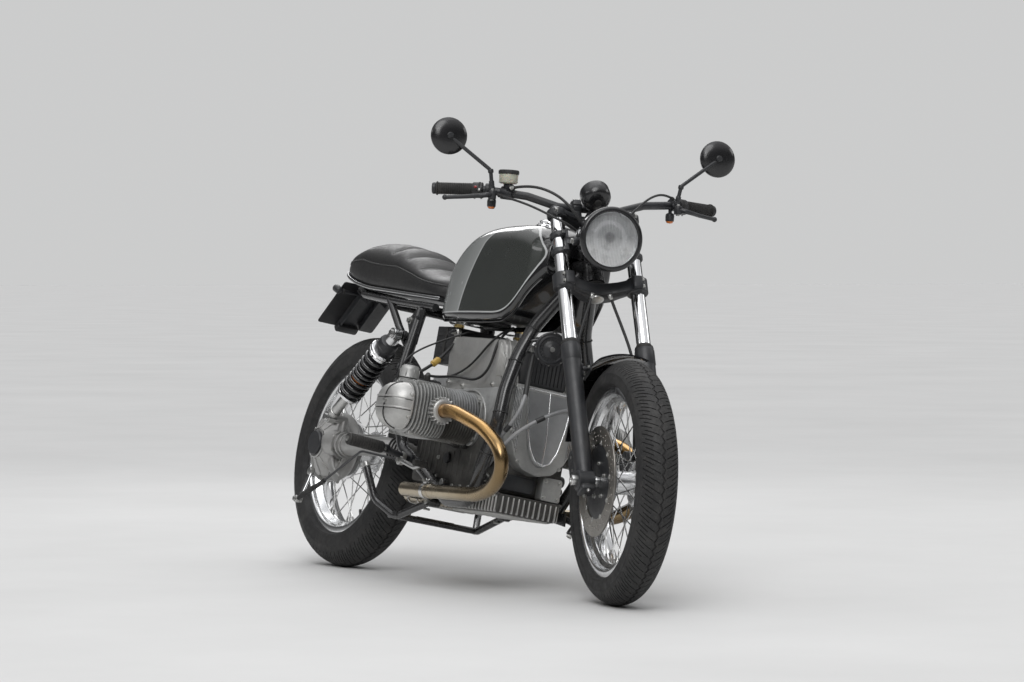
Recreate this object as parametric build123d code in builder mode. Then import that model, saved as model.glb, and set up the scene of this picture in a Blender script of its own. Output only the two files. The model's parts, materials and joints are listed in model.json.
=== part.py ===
from build123d import *
import math
import os

# A cafe racer motorcycle: flat twin, shaft drive, wire wheels, parked on its
# side stand with the steering turned a little to the right.
# Everything is drawn on the upright motorcycle: x forward from the rear axle,
# y to the rider's left, z up from the ground, in millimetres.  At the end the
# steered pieces turn about the steering axis, and the whole machine leans over.

# ---------------------------------------------------------------- dimensions
WHEELBASE = 1447.0
RAKE = 28.0                 # steering axis from the vertical
TRAIL = 120.0
LEAN = 11.6663              # to the left, onto the side stand
STEER = 15.3277             # to the right, as parked
FRONT_R, FRONT_W = 315.75, 105.5    # tyre radius and section width
REAR_R, REAR_W = 337.10, 123.5
LEG_HALF = 102.4            # fork leg centre lines, left and right
LEG_AHEAD = 42.4            # fork leg centre lines ahead of the steering axis
STANCHION_R = 19.25
SLIDER_R = 24.0
SLIDER_TOP = 398.0          # up the leg from the front axle
LOWER_YOKE = 590.0
UPPER_YOKE = 797.0
STEM_R = 13.0
RUN = 0.05                  # running clearance, radial
AXLE_R = 8.5
AXLE_BORE_R = 5.5
BAR_R = 11.0
BAR_BORE_R = 8.0
DISC_R = 142.5
TUBE_R = 16.0               # frame tube
HEADER_R = 19.0
CYL_Z = 438.0               # cylinder height
CYL_X_RIGHT, CYL_X_LEFT = 768.0, 806.0
TANK_HALF = 136.0
CENTRE_STAND = (672.0, 0.0, 205.0)
SIDE_STAND = (985.0, 150.0, 186.0)
SIDE_FOOT = (1018.0, 345.0)         # place of the foot on the leaning bike

os.makedirs("parts", exist_ok=True)

SIN_R, COS_R = math.sin(math.radians(RAKE)), math.cos(math.radians(RAKE))
SIN_L, COS_L = math.sin(math.radians(LEAN)), math.cos(math.radians(LEAN))
UP_LEG = Vector(-SIN_R, 0, COS_R)
FORWARD = Vector(COS_R, 0, SIN_R)
FRONT_AXLE = Vector(WHEELBASE, 0, FRONT_R)
HEAD = FRONT_AXLE - FORWARD * LEG_AHEAD     # on the steering axis, level with the axle
STEERING_AXIS = Axis(HEAD, UP_LEG)
# local x ahead of the steering axis, y to the left, z up the leg from the axle
FORK = Plane(origin=HEAD, x_dir=FORWARD, z_dir=UP_LEG)


def fork_at(ahead, left, up):
    return Plane(origin=FORK.from_local_coords((ahead, left, up)), x_dir=FORWARD, z_dir=UP_LEG)


def fork_point(ahead, left, up):
    return FORK.from_local_coords(Vector(ahead, left, up))


def wheel_plane(radius, x=0.0):
    # local x to the left along the axle, local y outwards along the radius
    return Plane(origin=(x, 0, radius), x_dir=(0, 1, 0), z_dir=(1, 0, 0))


def across(x, y, z):
    # a plane facing left, local x forward, local y up
    return Plane(origin=(x, y, z), x_dir=(1, 0, 0), z_dir=(0, -1, 0))


# ------------------------------------------------------------- the parked pose
def lowest(centre, axle, radius, width):
    # lowest point of a tyre with a round section, held at any angle
    core = radius - width / 2
    return centre.Z - core * math.sqrt(max(0.0, 1 - axle.Z ** 2)) - width / 2


TURN = FORK.location * Location((0, 0, 0), (0, 0, -STEER)) * FORK.location.inverse()
pitch = rise = 0.0
for _ in range(12):
    lean = Location((0, 0, 0), (-LEAN, pitch, 0))
    front = Plane(lean * TURN * Location((WHEELBASE, 0, FRONT_R)))
    rear = Plane(lean * Location((0, 0, REAR_R)))
    low_front = lowest(front.origin, front.y_dir, FRONT_R, FRONT_W)
    low_rear = lowest(rear.origin, rear.y_dir, REAR_R, REAR_W)
    pitch += math.degrees((low_front - low_rear) / WHEELBASE)
    rise = -low_rear
PARK = Location((0, 0, rise)) * Location((0, 0, 0), (-LEAN, pitch, 0))


def on_ground(x, y, z=0.0):
    # a point of the floor under the parked machine, on the upright drawing
    return (PARK.inverse() * Location((x, y, z))).position


def tube(points, radius, bends, inner=0.0, mode=Mode.ADD):
    """A round tube along straight runs joined by arcs, added to the open part."""
    with BuildLine(mode=Mode.PRIVATE) as route:
        if len(points) == 2:
            Line(*points)
        else:
            FilletPolyline(*points, radius=bends)
    start = route.line @ 0
    with BuildSketch(Plane(origin=start, z_dir=route.line % 0), mode=Mode.PRIVATE) as ring:
        Circle(radius)
        if inner:
            Circle(inner, mode=Mode.SUBTRACT)
    sweep(ring.sketch, path=route.line, mode=mode)


def easy_bends(points):
    """The largest arcs that a hose or cable's runs allow, one for each corner."""
    p = [Vector(*q) for q in points]
    radii = []
    for a, b, c in zip(p, p[1:], p[2:]):
        turn = math.radians((b - a).get_angle(c - b))
        radii.append(0.45 * min((b - a).length, (c - b).length) / math.tan(turn / 2))
    print("bend radii", [round(r) for r in radii])
    return radii


def rod(start, end, radius, mode=Mode.ADD):
    """A straight round bar between two points, added to the open part."""
    a, b = Vector(*start), Vector(*end)
    plane = Plane(origin=a, z_dir=(b - a))
    with BuildSketch(plane, mode=Mode.PRIVATE) as ring:
        Circle(radius)
    extrude(ring.sketch, amount=(b - a).length, mode=mode)


def turned(plane, profile):
    """A turned piece: the profile is (along the axle, radius), spun about the plane's x."""
    with BuildSketch(plane, mode=Mode.PRIVATE) as section:
        with BuildLine():
            Polyline(*profile, close=True)
        make_face()
    revolve(section.sketch, axis=Axis(plane.origin, plane.x_dir))


def mirrored(points):
    return [(x, -y, z) for x, y, z in points]


# =========================================================== wheels and tyres
# section of each tyre and rim: outside radius, section width, rim half width
# wheel: name, x of the axle, tyre radius, tyre width, rim half width
def tyre_section(x, radius, width, rim_half):
    core, half = radius - width / 2, width / 2
    shoulder_z = 250.3
    shoulder_y = math.sqrt(half ** 2 - (core - shoulder_z) ** 2)
    inner = half - 10.0
    seat_y = rim_half - 3.7
    toe_y = seat_y - 5.0
    inner_y, inner_z = inner * 0.985, core - inner * 0.1725
    with BuildSketch(wheel_plane(radius, x), mode=Mode.PRIVATE) as section:
        with BuildLine():
            ThreePointArc((shoulder_y, shoulder_z), (0, radius), (-shoulder_y, shoulder_z))
            Polyline((-shoulder_y, shoulder_z), (-seat_y - 4.4, 245.8), (-seat_y, 245.2),
                     (-seat_y, 229.4), (-toe_y, 229.4), (-toe_y + 5, 238), (-inner_y, inner_z))
            ThreePointArc((-inner_y, inner_z), (0, core + inner), (inner_y, inner_z))
            Polyline((inner_y, inner_z), (toe_y - 5, 238), (toe_y, 229.4), (seat_y, 229.4),
                     (seat_y, 245.2), (seat_y + 4.4, 245.8), (shoulder_y, shoulder_z))
        make_face()
    revolve(section.sketch, axis=Axis((x, 0, radius), (0, 1, 0)))


def rim_section(x, radius, half):
    turned(wheel_plane(radius, x), [
        (-half, 245), (-half + 3.5, 245), (-half + 3.5, 229.2), (-half + 18, 229.2), (-14, 214),
        (14, 214), (half - 18, 229.2), (half - 3.5, 229.2), (half - 3.5, 245), (half, 245),
        (half, 226), (half - 16, 223), (15, 208), (-15, 208), (-half + 16, 223), (-half, 226)])


# spoke: flange side, flange lateral, rim lateral, lead angle of the rim end
def lace(x, radius, flange_r, rim_r, table, count=10):
    for flange_y, rim_y, start, lead in table:
        for i in range(count):
            a = math.radians(start + 360.0 / count * i)
            b = a + math.radians(lead)
            rod((x + flange_r * math.cos(a), flange_y, radius + flange_r * math.sin(a)),
                (x + rim_r * math.cos(b), rim_y, radius + rim_r * math.sin(b)), 2.0)


with BuildPart() as front_tyre:
    tyre_section(WHEELBASE, FRONT_R, FRONT_W, 40.0)

with BuildPart() as front_rim:
    rim_section(WHEELBASE, FRONT_R, 40.0)

with BuildPart() as front_hub:
    turned(wheel_plane(FRONT_R, WHEELBASE), [
        (-60, AXLE_R + RUN), (-60, 27), (-44, 30), (-40, 58), (-34, 62), (-30, 58), (-27, 33),
        (27, 33), (30, 58), (34, 62), (40, 58), (44, 30), (60, 27), (60, AXLE_R + RUN)])
    lace(WHEELBASE, FRONT_R, 55.0, 209.2, [
        (-35, -9, 0, 36), (-35, -9, 18, -36), (35, 9, 9, 36), (35, 9, 27, -36)])

with BuildPart() as front_brake_discs:
    for side in (-1, 1):
        turned(wheel_plane(FRONT_R, WHEELBASE), [
            (side * 60, 14), (side * 60, 70), (side * 63, 104), (side * 65.5, 104), (side * 65.5, DISC_R),
            (side * 70.5, DISC_R), (side * 70.5, 98), (side * 67, 96), (side * 66, 70), (side * 64, 40), (side * 64, 14)])

with BuildPart() as rear_tyre:
    tyre_section(0.0, REAR_R, REAR_W, 44.0)

with BuildPart() as rear_rim:
    rim_section(0.0, REAR_R, 44.0)

with BuildPart() as rear_hub:
    turned(wheel_plane(REAR_R, 0.0), [
        (-52, 10 + RUN), (-52, 74), (-44, 88), (-36, 88), (-32, 60), (30, 42), (34, 66), (40, 66), (44, 34),
        (62, 27), (62, 10 + RUN)])
    lace(0.0, REAR_R, 62.0, 209.2, [(37, 9, 9, 36), (37, 9, 27, -36)])
    lace(0.0, REAR_R, 82.0, 209.2, [(-40, -9, 0, 30), (-40, -9, 18, -30)])

# ================================================================ front fork
with BuildPart() as fork_sliders:
    # the two lower legs, joined by the hollow wheel axle
    # each slider: bottom height, top height, radius, up the leg from the axle
    for bottom, top, radius in ((-30.0, 20.0, 21.0), (20.0, 350.0, SLIDER_R), (350.0, SLIDER_TOP, 26.5)):
        with BuildSketch(fork_at(0, 0, bottom)):
            with Locations((LEG_AHEAD, -LEG_HALF), (LEG_AHEAD, LEG_HALF)):
                Circle(radius)
        extrude(amount=top - bottom)
    for side in (-1, 1):
        with BuildSketch(across(WHEELBASE, side * LEG_HALF, FRONT_R)):
            Circle(27.0)
        extrude(amount=23.0, both=True)
        rod((WHEELBASE, side * 120, FRONT_R), (WHEELBASE, side * 138, FRONT_R), 13.5)
    rod((WHEELBASE, -128, FRONT_R), (WHEELBASE, 128, FRONT_R), AXLE_R)
    rod((WHEELBASE, -139, FRONT_R), (WHEELBASE, 139, FRONT_R), AXLE_BORE_R, mode=Mode.SUBTRACT)

with BuildPart() as fork_stanchions:
    with BuildSketch(fork_at(0, 0, SLIDER_TOP)):
        with Locations((LEG_AHEAD, -LEG_HALF), (LEG_AHEAD, LEG_HALF)):
            Circle(STANCHION_R)
    extrude(amount=UPPER_YOKE + 13 - SLIDER_TOP)

with BuildPart() as fork_yokes:
    # lower yoke, steering stem, upper yoke and the two handlebar clamps
    with BuildSketch(fork_at(0, 0, LOWER_YOKE - 22)):
        with Locations((LEG_AHEAD, -LEG_HALF), (LEG_AHEAD, LEG_HALF)):
            Circle(29.0)
        with BuildLine():
            Polyline((-22, -30), (-22, 30), (LEG_AHEAD + 12, LEG_HALF), (LEG_AHEAD + 12, -LEG_HALF), close=True)
        make_face()
    extrude(amount=38)
    with BuildSketch(fork_at(0, 0, LOWER_YOKE)):
        Circle(STEM_R)
    extrude(amount=UPPER_YOKE - LOWER_YOKE)
    with BuildSketch(fork_at(0, 0, UPPER_YOKE - 9)):
        with Locations((LEG_AHEAD, -LEG_HALF), (LEG_AHEAD, LEG_HALF)):
            Circle(26.0)
        with BuildLine():
            Polyline((-22, -30), (-22, 30), (LEG_AHEAD - 14, LEG_HALF), (LEG_AHEAD + 18, LEG_HALF),
                     (LEG_AHEAD + 18, -LEG_HALF), (LEG_AHEAD - 14, -LEG_HALF), close=True)
        make_face()
    extrude(amount=14)
    for side in (-1, 1):
        with BuildSketch(fork_at(12, side * 36, UPPER_YOKE)):
            Rectangle(34, 26)
        extrude(amount=58)
    with BuildSketch(fork_at(0, 0, LOWER_YOKE - 23)):
        with Locations((LEG_AHEAD, -LEG_HALF), (LEG_AHEAD, LEG_HALF)):
            Circle(STANCHION_R + 0.02)
    extrude(amount=UPPER_YOKE - LOWER_YOKE + 40, mode=Mode.SUBTRACT)
    rod((1030, -60, 1042), (1030, 60, 1042), BAR_R + 0.02, mode=Mode.SUBTRACT)

# ------------------------------------------------- handlebar, its clamp and grips
BAR = [(908, -392, 1075), (960, -275, 1078), (1003, -165, 1066), (1030, -85, 1042),
       (1030, 85, 1042), (1003, 165, 1066), (960, 275, 1078), (908, 392, 1075)]
BAR_BENDS = [60, 60, 45, 45, 60, 60]

with BuildPart() as handlebar:
    tube(BAR, BAR_R, BAR_BENDS, inner=BAR_BORE_R)

with BuildPart() as handlebar_grips:
    for outer, inner in ((BAR[0], BAR[1]), (BAR[7], BAR[6])):
        o, i = Vector(*outer), Vector(*inner)
        d = (i - o).normalized()
        rod(tuple(o), tuple(o + d * 122), 16.5)
        rod(tuple(o - d), tuple(o + d * 123), BAR_R + 0.02, mode=Mode.SUBTRACT)

with BuildPart() as hand_controls:
    # on each side: switch housing round the bar, lever, mirror boss and small indicator
    for side in (-1, 1):
        o, i = Vector(BAR[0][0], side * 392, BAR[0][2]), Vector(BAR[1][0], side * 275, BAR[1][2])
        d = (o - i).normalized()
        rod(tuple(i - d * 28), tuple(i + d * 4), 19.0)
        lug = Vector(1003, side * 264, 1063)
        rod(tuple(i - d * 12 + Vector(14, 0, -5)), tuple(lug + Vector(6, 0, -2)), 8.5)
        tube([tuple(lug), (1016, side * 292, 1057), (966, side * 378, 1047)], 6.0, 40)
        rod((995, side * 264, 1062), (997, side * 264, 1086), 8.0)
        rod((970, side * 254, 1066), (970, side * 254, 1034), 12.0)
    tube(BAR, BAR_R + 0.02, BAR_BENDS, mode=Mode.SUBTRACT)

with BuildPart() as brake_reservoir:
    rod((975, -227, 1073), (990, -203, 1070), 18.0)
    # cup: bottom height, top height, radius
    for bottom, top, radius in ((1080, 1098, 14), (1098, 1124, 26), (1124, 1133, 28)):
        with BuildSketch(Plane.XY.offset(bottom)):
            with Locations((985, -215)):
                Circle(radius)
        extrude(amount=top - bottom)
    tube(BAR, BAR_R + 0.02, BAR_BENDS, mode=Mode.SUBTRACT)

with BuildPart() as mirrors:
    # mirror: stalk foot, elbow, stalk end; the glass faces back
    for side in (-1, 1):
        tube([(997, side * 264, 1087.2), (1000, side * 271, 1128), (975, side * 383, 1212)], 5.0, 14)
        face = Vector(-0.966, 0, -0.05).normalized()
        centre = Vector(968, side * 383, 1213)
        with BuildSketch(Plane(origin=centre, z_dir=face)):
            Circle(50)
        extrude(amount=5)
        with BuildSketch(Plane(origin=centre, z_dir=-face)):
            Circle(50)
        extrude(amount=14, taper=42)

with BuildPart() as speedometer:
    pod = Vector(1092, 0, 1070)
    back = Vector(-0.80, 0, 0.60)
    with BuildSketch(Plane(origin=pod, z_dir=back)):
        Circle(40.5)
    extrude(amount=26)
    with BuildSketch(Plane(origin=pod, z_dir=-back)):
        Circle(40.5)
    extrude(amount=22, taper=30)
    rod(fork_point(40, 0, UPPER_YOKE + 5.1), fork_point(40, 0, 838), 7.0)

with BuildPart() as headlight_shell:
    lamp = Vector(1241, 0, 953)
    with BuildSketch(Plane(origin=lamp, z_dir=(1, 0, -0.02))):
        Circle(81.5)
    extrude(amount=-60)
    with BuildSketch(Plane(origin=lamp - Vector(60, 0, 0), z_dir=(-1, 0, 0.02))):
        Circle(81)
    extrude(amount=48, taper=38)
    with BuildSketch(Plane(origin=lamp + Vector(1, 0, 0), z_dir=(-1, 0, 0.02))):
        Circle(72)
    extrude(amount=18, mode=Mode.SUBTRACT)
    # on each side: two bands round the stanchion, an upright and an arm to the lamp
    for side in (-1, 1):
        for height in (677.0, 727.0):
            with BuildSketch(fork_at(0, 0, height - 6)):
                with Locations((LEG_AHEAD, side * LEG_HALF)):
                    Circle(STANCHION_R + 5)
                with Locations((LEG_AHEAD + 26, side * 92)):
                    Rectangle(10, 12)
                with Locations((LEG_AHEAD, side * LEG_HALF)):
                    Circle(STANCHION_R + 0.02, mode=Mode.SUBTRACT)
            extrude(amount=12)
        with BuildSketch(fork_at(LEG_AHEAD + 27, side * 90, 671)):
            Rectangle(11, 8)
        extrude(amount=62)
        rod(fork_point(LEG_AHEAD + 28, side * 90, 702), (1196, side * 88, 944), 6.0)
        rod((1196, side * 94, 944), (1196, side * 74, 944), 9.0)

with BuildPart() as headlight_lens:
    with BuildSketch(Plane(origin=lamp - Vector(6, 0, 0), z_dir=(1, 0, -0.02))):
        Circle(71)
    extrude(amount=-9)
    with BuildSketch(Plane(origin=lamp - Vector(6, 0, 0), z_dir=(1, 0, -0.02))):
        Circle(71)
    extrude(amount=9, taper=60)

with BuildPart() as front_mudguard:
    with BuildSketch(wheel_plane(FRONT_R, WHEELBASE), mode=Mode.PRIVATE) as guard_section:
        with BuildLine():
            ThreePointArc((-62, 322), (0, 334), (62, 322))
            Line((62, 322), (61, 319.6))
            ThreePointArc((61, 319.6), (0, 331.4), (-61, 319.6))
            Line((-61, 319.6), (-62, 322))
        make_face()
    guard_start = guard_section.sketch.rotate(Axis((WHEELBASE, 0, FRONT_R), (0, 1, 0)), -6)
    revolve(guard_start, axis=Axis((WHEELBASE, 0, FRONT_R), (0, -1, 0)), revolution_arc=66)
    for side in (-1, 1):
        rod(tuple(fork_point(LEG_AHEAD, side * 56, 330)), tuple(fork_point(LEG_AHEAD, side * 78, 330)), 7.0)

with BuildPart() as brake_calipers:
    for side in (-1, 1):
        with BuildSketch(fork_at(LEG_AHEAD - 92, side * 70, 55)):
            RectangleRounded(58, 56, 10)
        extrude(amount=80)
        with BuildSketch(fork_at(LEG_AHEAD - 42, side * 91, 69)):
            Rectangle(60, 12)
        extrude(amount=52)
        with BuildSketch(wheel_plane(FRONT_R, WHEELBASE), mode=Mode.PRIVATE) as slot:
            with Locations((side * 65.5, 75)):
                Rectangle(21, 150)
        revolve(slot.sketch, axis=Axis((WHEELBASE, 0, FRONT_R), (0, 1, 0)), mode=Mode.SUBTRACT)
        rod(fork_point(LEG_AHEAD, side * LEG_HALF, 0), fork_point(LEG_AHEAD, side * LEG_HALF, 300), SLIDER_R + 0.02,
            mode=Mode.SUBTRACT)

# brake hose from the lower yoke to each caliper, and the hose and cables off the bar
HOSE = [(40, 24, 560), (26, 46, 500), (18, 74, 420), (-4, 92, 330), (-40, 84, 230), (-58, 80, 138)]
CABLE_RUNS = {
    "brake_hose_upper": [(1006, -212, 1084), (1046, -176, 1094), (1084, -128, 1082), (1116, -84, 1048),
                         (1128, -50, 1002), (1118, -26, 958)],
    "throttle_cable": [(1004, -246, 1062), (1046, -206, 1050), (1090, -158, 1028), (1128, -122, 1004),
                       (1142, -80, 988), (1124, -44, 962)],
    "clutch_cable": [(998, 250, 1092), (1048, 208, 1100), (1092, 160, 1090), (1124, 112, 1056), (1136, 70, 1012),
                     (1122, 40, 966)],
}

with BuildPart() as control_cables:
    # brake hoses to the calipers, then the hose and cables from the bar
    for side in (-1, 1):
        hose = [tuple(fork_point(a, side * l, u)) for a, l, u in HOSE]
        tube(hose, 4.0, easy_bends(hose))
    for name, points in CABLE_RUNS.items():
        tube(points, 3.2, easy_bends(points))

# ==================================================================== frame
# right side tube of the cradle: from the steering head, round the engine, up to the seat
CRADLE = [(1079, -18, 858), (990, -80, 705), (984, -112, 620), (990, -136, 520), (1002, -147, 430),
          (958, -148, 310), (900, -132, 214), (762, -128, 214), (600, -124, 290), (455, -118, 345),
          (440, -128, 400), (405, -138, 560), (402, -106, 742)]
CRADLE_BENDS = [120, 200, 200, 120, 100, 60, 60, 60, 40, 80, 120]
# side stand hinge, square to the leg when it is down and when it is folded back
STAND_HEEL = on_ground(SIDE_FOOT[0], SIDE_FOOT[1] - 2, 16)
LEG_DOWN = (STAND_HEEL - Vector(*SIDE_STAND)).normalized()
LEG_FOLDED = Vector(-1, 0.12, -0.12).normalized()
HINGE = LEG_DOWN.cross(LEG_FOLDED).normalized()

with BuildPart() as frame_backbone:
    rod(fork_point(0, 0, LOWER_YOKE + 22), fork_point(0, 0, UPPER_YOKE - 13), 27.0)
    tube([(1078, 0, 885), (590, 0, 850), (548, 0, 744), (402, 0, 738)], 20.0, [40, 30])
    rod((402, -106, 738), (402, 106, 738), 13.0)
    rod(fork_point(0, 0, LOWER_YOKE + 10), fork_point(0, 0, UPPER_YOKE), STEM_R + RUN, mode=Mode.SUBTRACT)

with BuildPart() as frame_cradle_right:
    tube(CRADLE, TUBE_R, CRADLE_BENDS)
    rod((672, -117, 246), (672, -97.5, 209), 6.4)
    rod((672, -97, 205), (672, -111, 205), 13.0)
    rod((672, -97, 205), (672, -136, 205), 6.0)

with BuildPart() as frame_cradle_left:
    tube(mirrored(CRADLE), TUBE_R, CRADLE_BENDS)
    rod((672, 117, 246), (672, 98, 212), 6.5)
    rod((672, 97, 205), (672, 111, 205), 13.0)
    rod((672, 97, 205), (672, 136, 205), 6.0)
    hinge_foot = Vector(*SIDE_STAND) + HINGE * 13
    rod((912, 136, 226), tuple(hinge_foot + HINGE * 10), 9.0)
    rod(tuple(hinge_foot), tuple(hinge_foot + HINGE * 13), 13.0)
    rod(tuple(hinge_foot + HINGE * 4), tuple(hinge_foot - HINGE * 27), 6.0)

with BuildPart() as rear_subframe:
    for side in (-1, 1):
        tube([(474, side * 104, 748), (262, side * 102, 763), (30, side * 96, 784), (-76, side * 58, 804)], 11.0, 70)
        tube([(404, side * 130, 628), (300, side * 114, 690), (196, side * 101, 769)], 11.0, 60)
        rod((400, side * 124, 650), (386, side * 128, 660), 11.0)
        rod((386, side * 118, 660), (386, side * 178, 660), 8.0)
    rod((-70, -60, 803), (-70, 60, 803), 11.0)

# ==================================================================== engine
with BuildPart() as engine_block:
    # crankcase, gearbox, starter cover, front cover and oil pan, as one heavy block
    # outline forward and up, and the half width
    for half, outline in ((108, ((640, 250), (950, 250), (950, 480), (940, 540), (640, 520))),
                          (104, ((600, 520), (640, 515), (940, 535), (905, 600), (893, 668), (612, 672), (585, 620))),
                          (92, ((480, 256), (640, 250), (640, 520), (600, 522), (585, 560), (500, 560), (480, 420)))):
        with BuildSketch(Plane.XZ.offset(-half)):
            with BuildLine():
                Polyline(*outline, close=True)
            make_face()
        extrude(amount=2 * half)

    # front housing, its raised shield, the box over it and the wall under it
    for x, deep, outline in ((949, 45, ((110, 548), (112, 500), (108, 440), (96, 388), (80, 356), (50, 322), (0, 310))),
                             (993, 29, ((78, 545), (75, 529), (63, 449), (44, 377), (24, 345), (0, 332)))):
        with BuildSketch(Plane.YZ.offset(x)):
            with BuildLine():
                Polyline(*outline, *[(-a, b) for a, b in reversed(outline[:-1])], close=True)
            make_face()
        extrude(amount=deep)
    with BuildSketch(Plane.XY.offset(547)):
        with Locations((925, 0)):
            Rectangle(82, 124)
    extrude(amount=93)
    with BuildSketch(Plane.XY.offset(251)):
        with Locations((966, 64)):
            Rectangle(36, 64)
    extrude(amount=66)
    with BuildSketch(Plane.XY.offset(196)):
        with Locations((842, 0)):
            RectangleRounded(290, 200, 12)
    extrude(amount=56)

with BuildPart() as cylinders:
    # cylinder: side, x of its axis; widths stepped from the barrel to the head
    for side, x in ((-1, CYL_X_RIGHT), (1, CYL_X_LEFT)):
        for start, end, wide, tall in ((108, 214, 158, 148), (214, 322, 172, 156)):
            with BuildSketch(across(x, side * start, CYL_Z)):
                RectangleRounded(wide, tall, 46)
            extrude(amount=-side * (end - start))

with BuildPart() as rocker_covers:
    for side, x in ((-1, CYL_X_RIGHT), (1, CYL_X_LEFT)):
        with BuildSketch(across(x, side * 322, CYL_Z)):
            RectangleRounded(150, 130, 48)
        with BuildSketch(across(x, side * 356, CYL_Z)):
            RectangleRounded(128, 106, 42)
        loft()
        with BuildSketch(across(x, side * 356, CYL_Z)):
            RectangleRounded(128, 106, 42)
        extrude(amount=-side * 18, taper=40)

with BuildPart() as carburettors:
    for side, x in ((-1, CYL_X_RIGHT), (1, CYL_X_LEFT)):
        knee, elbow = Vector(x - 146, side * 240, 486), Vector(x - 222, side * 222, 516)
        inlet = Vector(x - 222, side * (92.6 if side < 0 else 104.4), 522)
        rise, run = (elbow - knee).normalized(), (inlet - elbow).normalized()
        rod((x - 132, side * 240, 446), (x - 132, side * 240, 520), 26.0)
        rod((x - 132, side * 240, 518), (x - 132, side * 240, 562), 30.0)
        rod((x - 87.1, side * 250, 466), (x - 120, side * 246, 470), 20.5)
        rod(tuple(knee - rise * 14), tuple(elbow + rise * 10), 20.0)
        rod(tuple(elbow - run * 10), tuple(inlet), 20.4)

HEADER = [(862, -250, 440), (930, -250, 443), (1100, -248, 404), (1194, -236, 352), (1198, -222, 296),
          (1132, -208, 248), (1040, -196, 230), (618, -188, 226), (618, -103.2, 226)]
HEADER_BENDS = [60, 90, 48, 42, 60, 60, 44]
HEADER_LEFT = [(x + (CYL_X_LEFT - CYL_X_RIGHT if n < 2 else 0), -y, z) for n, (x, y, z) in enumerate(HEADER)]

with BuildPart() as exhaust_header_right:
    tube(HEADER, HEADER_R, HEADER_BENDS)
    rod((CYL_X_RIGHT + 87.1, -250, 440), (CYL_X_RIGHT + 116, -250, 440), 38.0)

with BuildPart() as exhaust_header_left:
    tube(HEADER_LEFT, HEADER_R, HEADER_BENDS)
    rod((CYL_X_LEFT + 87.1, 250, 440), (CYL_X_LEFT + 116, 250, 440), 38.0)

with BuildPart() as silencer:
    with BuildSketch(Plane.XY.offset(200)):
        with Locations((550, 0)):
            RectangleRounded(184, 206, 20)
    extrude(amount=48)
    rod((462, 60, 224), (402, 66, 224), 21.0)

# ============================================================ rear suspension
with BuildPart() as swingarm:
    # arms either side of the wheel, pivot tube between the cradle tubes, wheel axle
    rod((418, -94, 335), (418, 94, 335), 26.0)
    tube([(410, -70, 335), (340, -112, 346), (96, -112, 341)], 31.0, 60)
    tube([(410, 70, 335), (340, 106, 338), (-20, 106, 337)], 22.0, 60)
    rod((85, 112, 345), (85, 120, 411), 10.0)
    rod((85, 112, 411), (85, 178, 411), 8.0)
    rod((0, -57.9, REAR_R), (0, 142, REAR_R), 10.0)
    rod((0, 68, REAR_R), (0, 100, REAR_R), 16.0)
    rod((0, 120, REAR_R), (0, 142, REAR_R), 16.0)
    rod((0, 20, REAR_R), (0, 143, REAR_R), 6.0, mode=Mode.SUBTRACT)

with BuildPart() as final_drive:
    turned(wheel_plane(REAR_R, 0.0), [
        (-58, 0), (-58, 92), (-70, 100), (-110, 96), (-132, 70), (-150, 40), (-162, 38), (-162, 0)])
    rod((95.9, -112, 341), (0, -112, 341), 44.0)
    rod((85, -120, 360), (85, -120, 411), 14.0)
    rod((85, -112, 411), (85, -178, 411), 8.0)

with BuildPart() as rear_shocks:
    # lower tube, damper rod, spring as its sleeve, eyes
    for side in (-1, 1):
        a, b = Vector(85, side * 165, 411), Vector(386, side * 165, 660)
        u = (b - a).normalized()
        rod(a + u * 10, a + u * 118, 15.0)
        rod(a + u * 118, a + u * 318, 38.0)
        rod(a + u * 318, b - u * 34, 29.0)
        rod(b - u * 34, b - u * 12, 18.0)
        rod(b - u * 24, b - u * 2, 13.0)
        for end in (a, b):
            rod((end.X, side * 152, end.Z), (end.X, side * 177, end.Z), 16.0)
            rod((end.X, side * 150, end.Z), (end.X, side * 180, end.Z), 8.02, mode=Mode.SUBTRACT)

# ======================================================== tank, seat, tail
# tank section: x, half width, bottom z, top z, corner radius
TANK = [(501, 90, 730, 780, 20), (508, 101, 721, 822, 30), (520, 107, 716, 858, 40), (545, 116, 712, 903, 46),
        (576, 123, 711, 934, 50), (614, 128, 710, 960, 52), (650, 131, 709, 976, 54), (720, 134, 709, 991, 58),
        (880, TANK_HALF, 712, 996, 60), (930, 134, 735, 993, 58), (975, 129, 788, 985, 56), (1022, 104, 846, 958, 40)]

with BuildPart() as fuel_tank:
    for x, half, low, high, corner in TANK:
        with BuildSketch(Plane.YZ.offset(x)):
            with Locations((0, (low + high) / 2)):
                RectangleRounded(2 * half, high - low, corner)
    loft(ruled=True)
    with BuildSketch(Plane.YZ.offset(500)):
        with Locations((0, 810)):
            Rectangle(64, 220)
    extrude(amount=560, mode=Mode.SUBTRACT)

with BuildPart() as fuel_cap:
    with BuildSketch(Plane.XY.offset(994)):
        with Locations((850, 0)):
            Circle(38)
    extrude(amount=18)

with BuildPart() as seat_base:
    with BuildSketch(Plane.XZ.offset(-118)):
        with BuildLine():
            Polyline((-120, 838), (30, 800), (262, 779), (486, 764), (486, 776), (262, 791), (30, 812), (-120, 850), close=True)
        make_face()
    extrude(amount=236)

with BuildPart() as seat_cushion:
    with BuildSketch(Plane.XZ.offset(-112)):
        with BuildLine():
            Polyline((-118, 852), (30, 814), (262, 793), (486, 778), (499, 782), (499, 845), (420, 856), (330, 884),
                     (262, 912), (200, 932), (120, 948), (30, 952), (-60, 936), (-122, 908), (-150, 880), close=True)
        make_face()
    extrude(amount=224)

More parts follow.
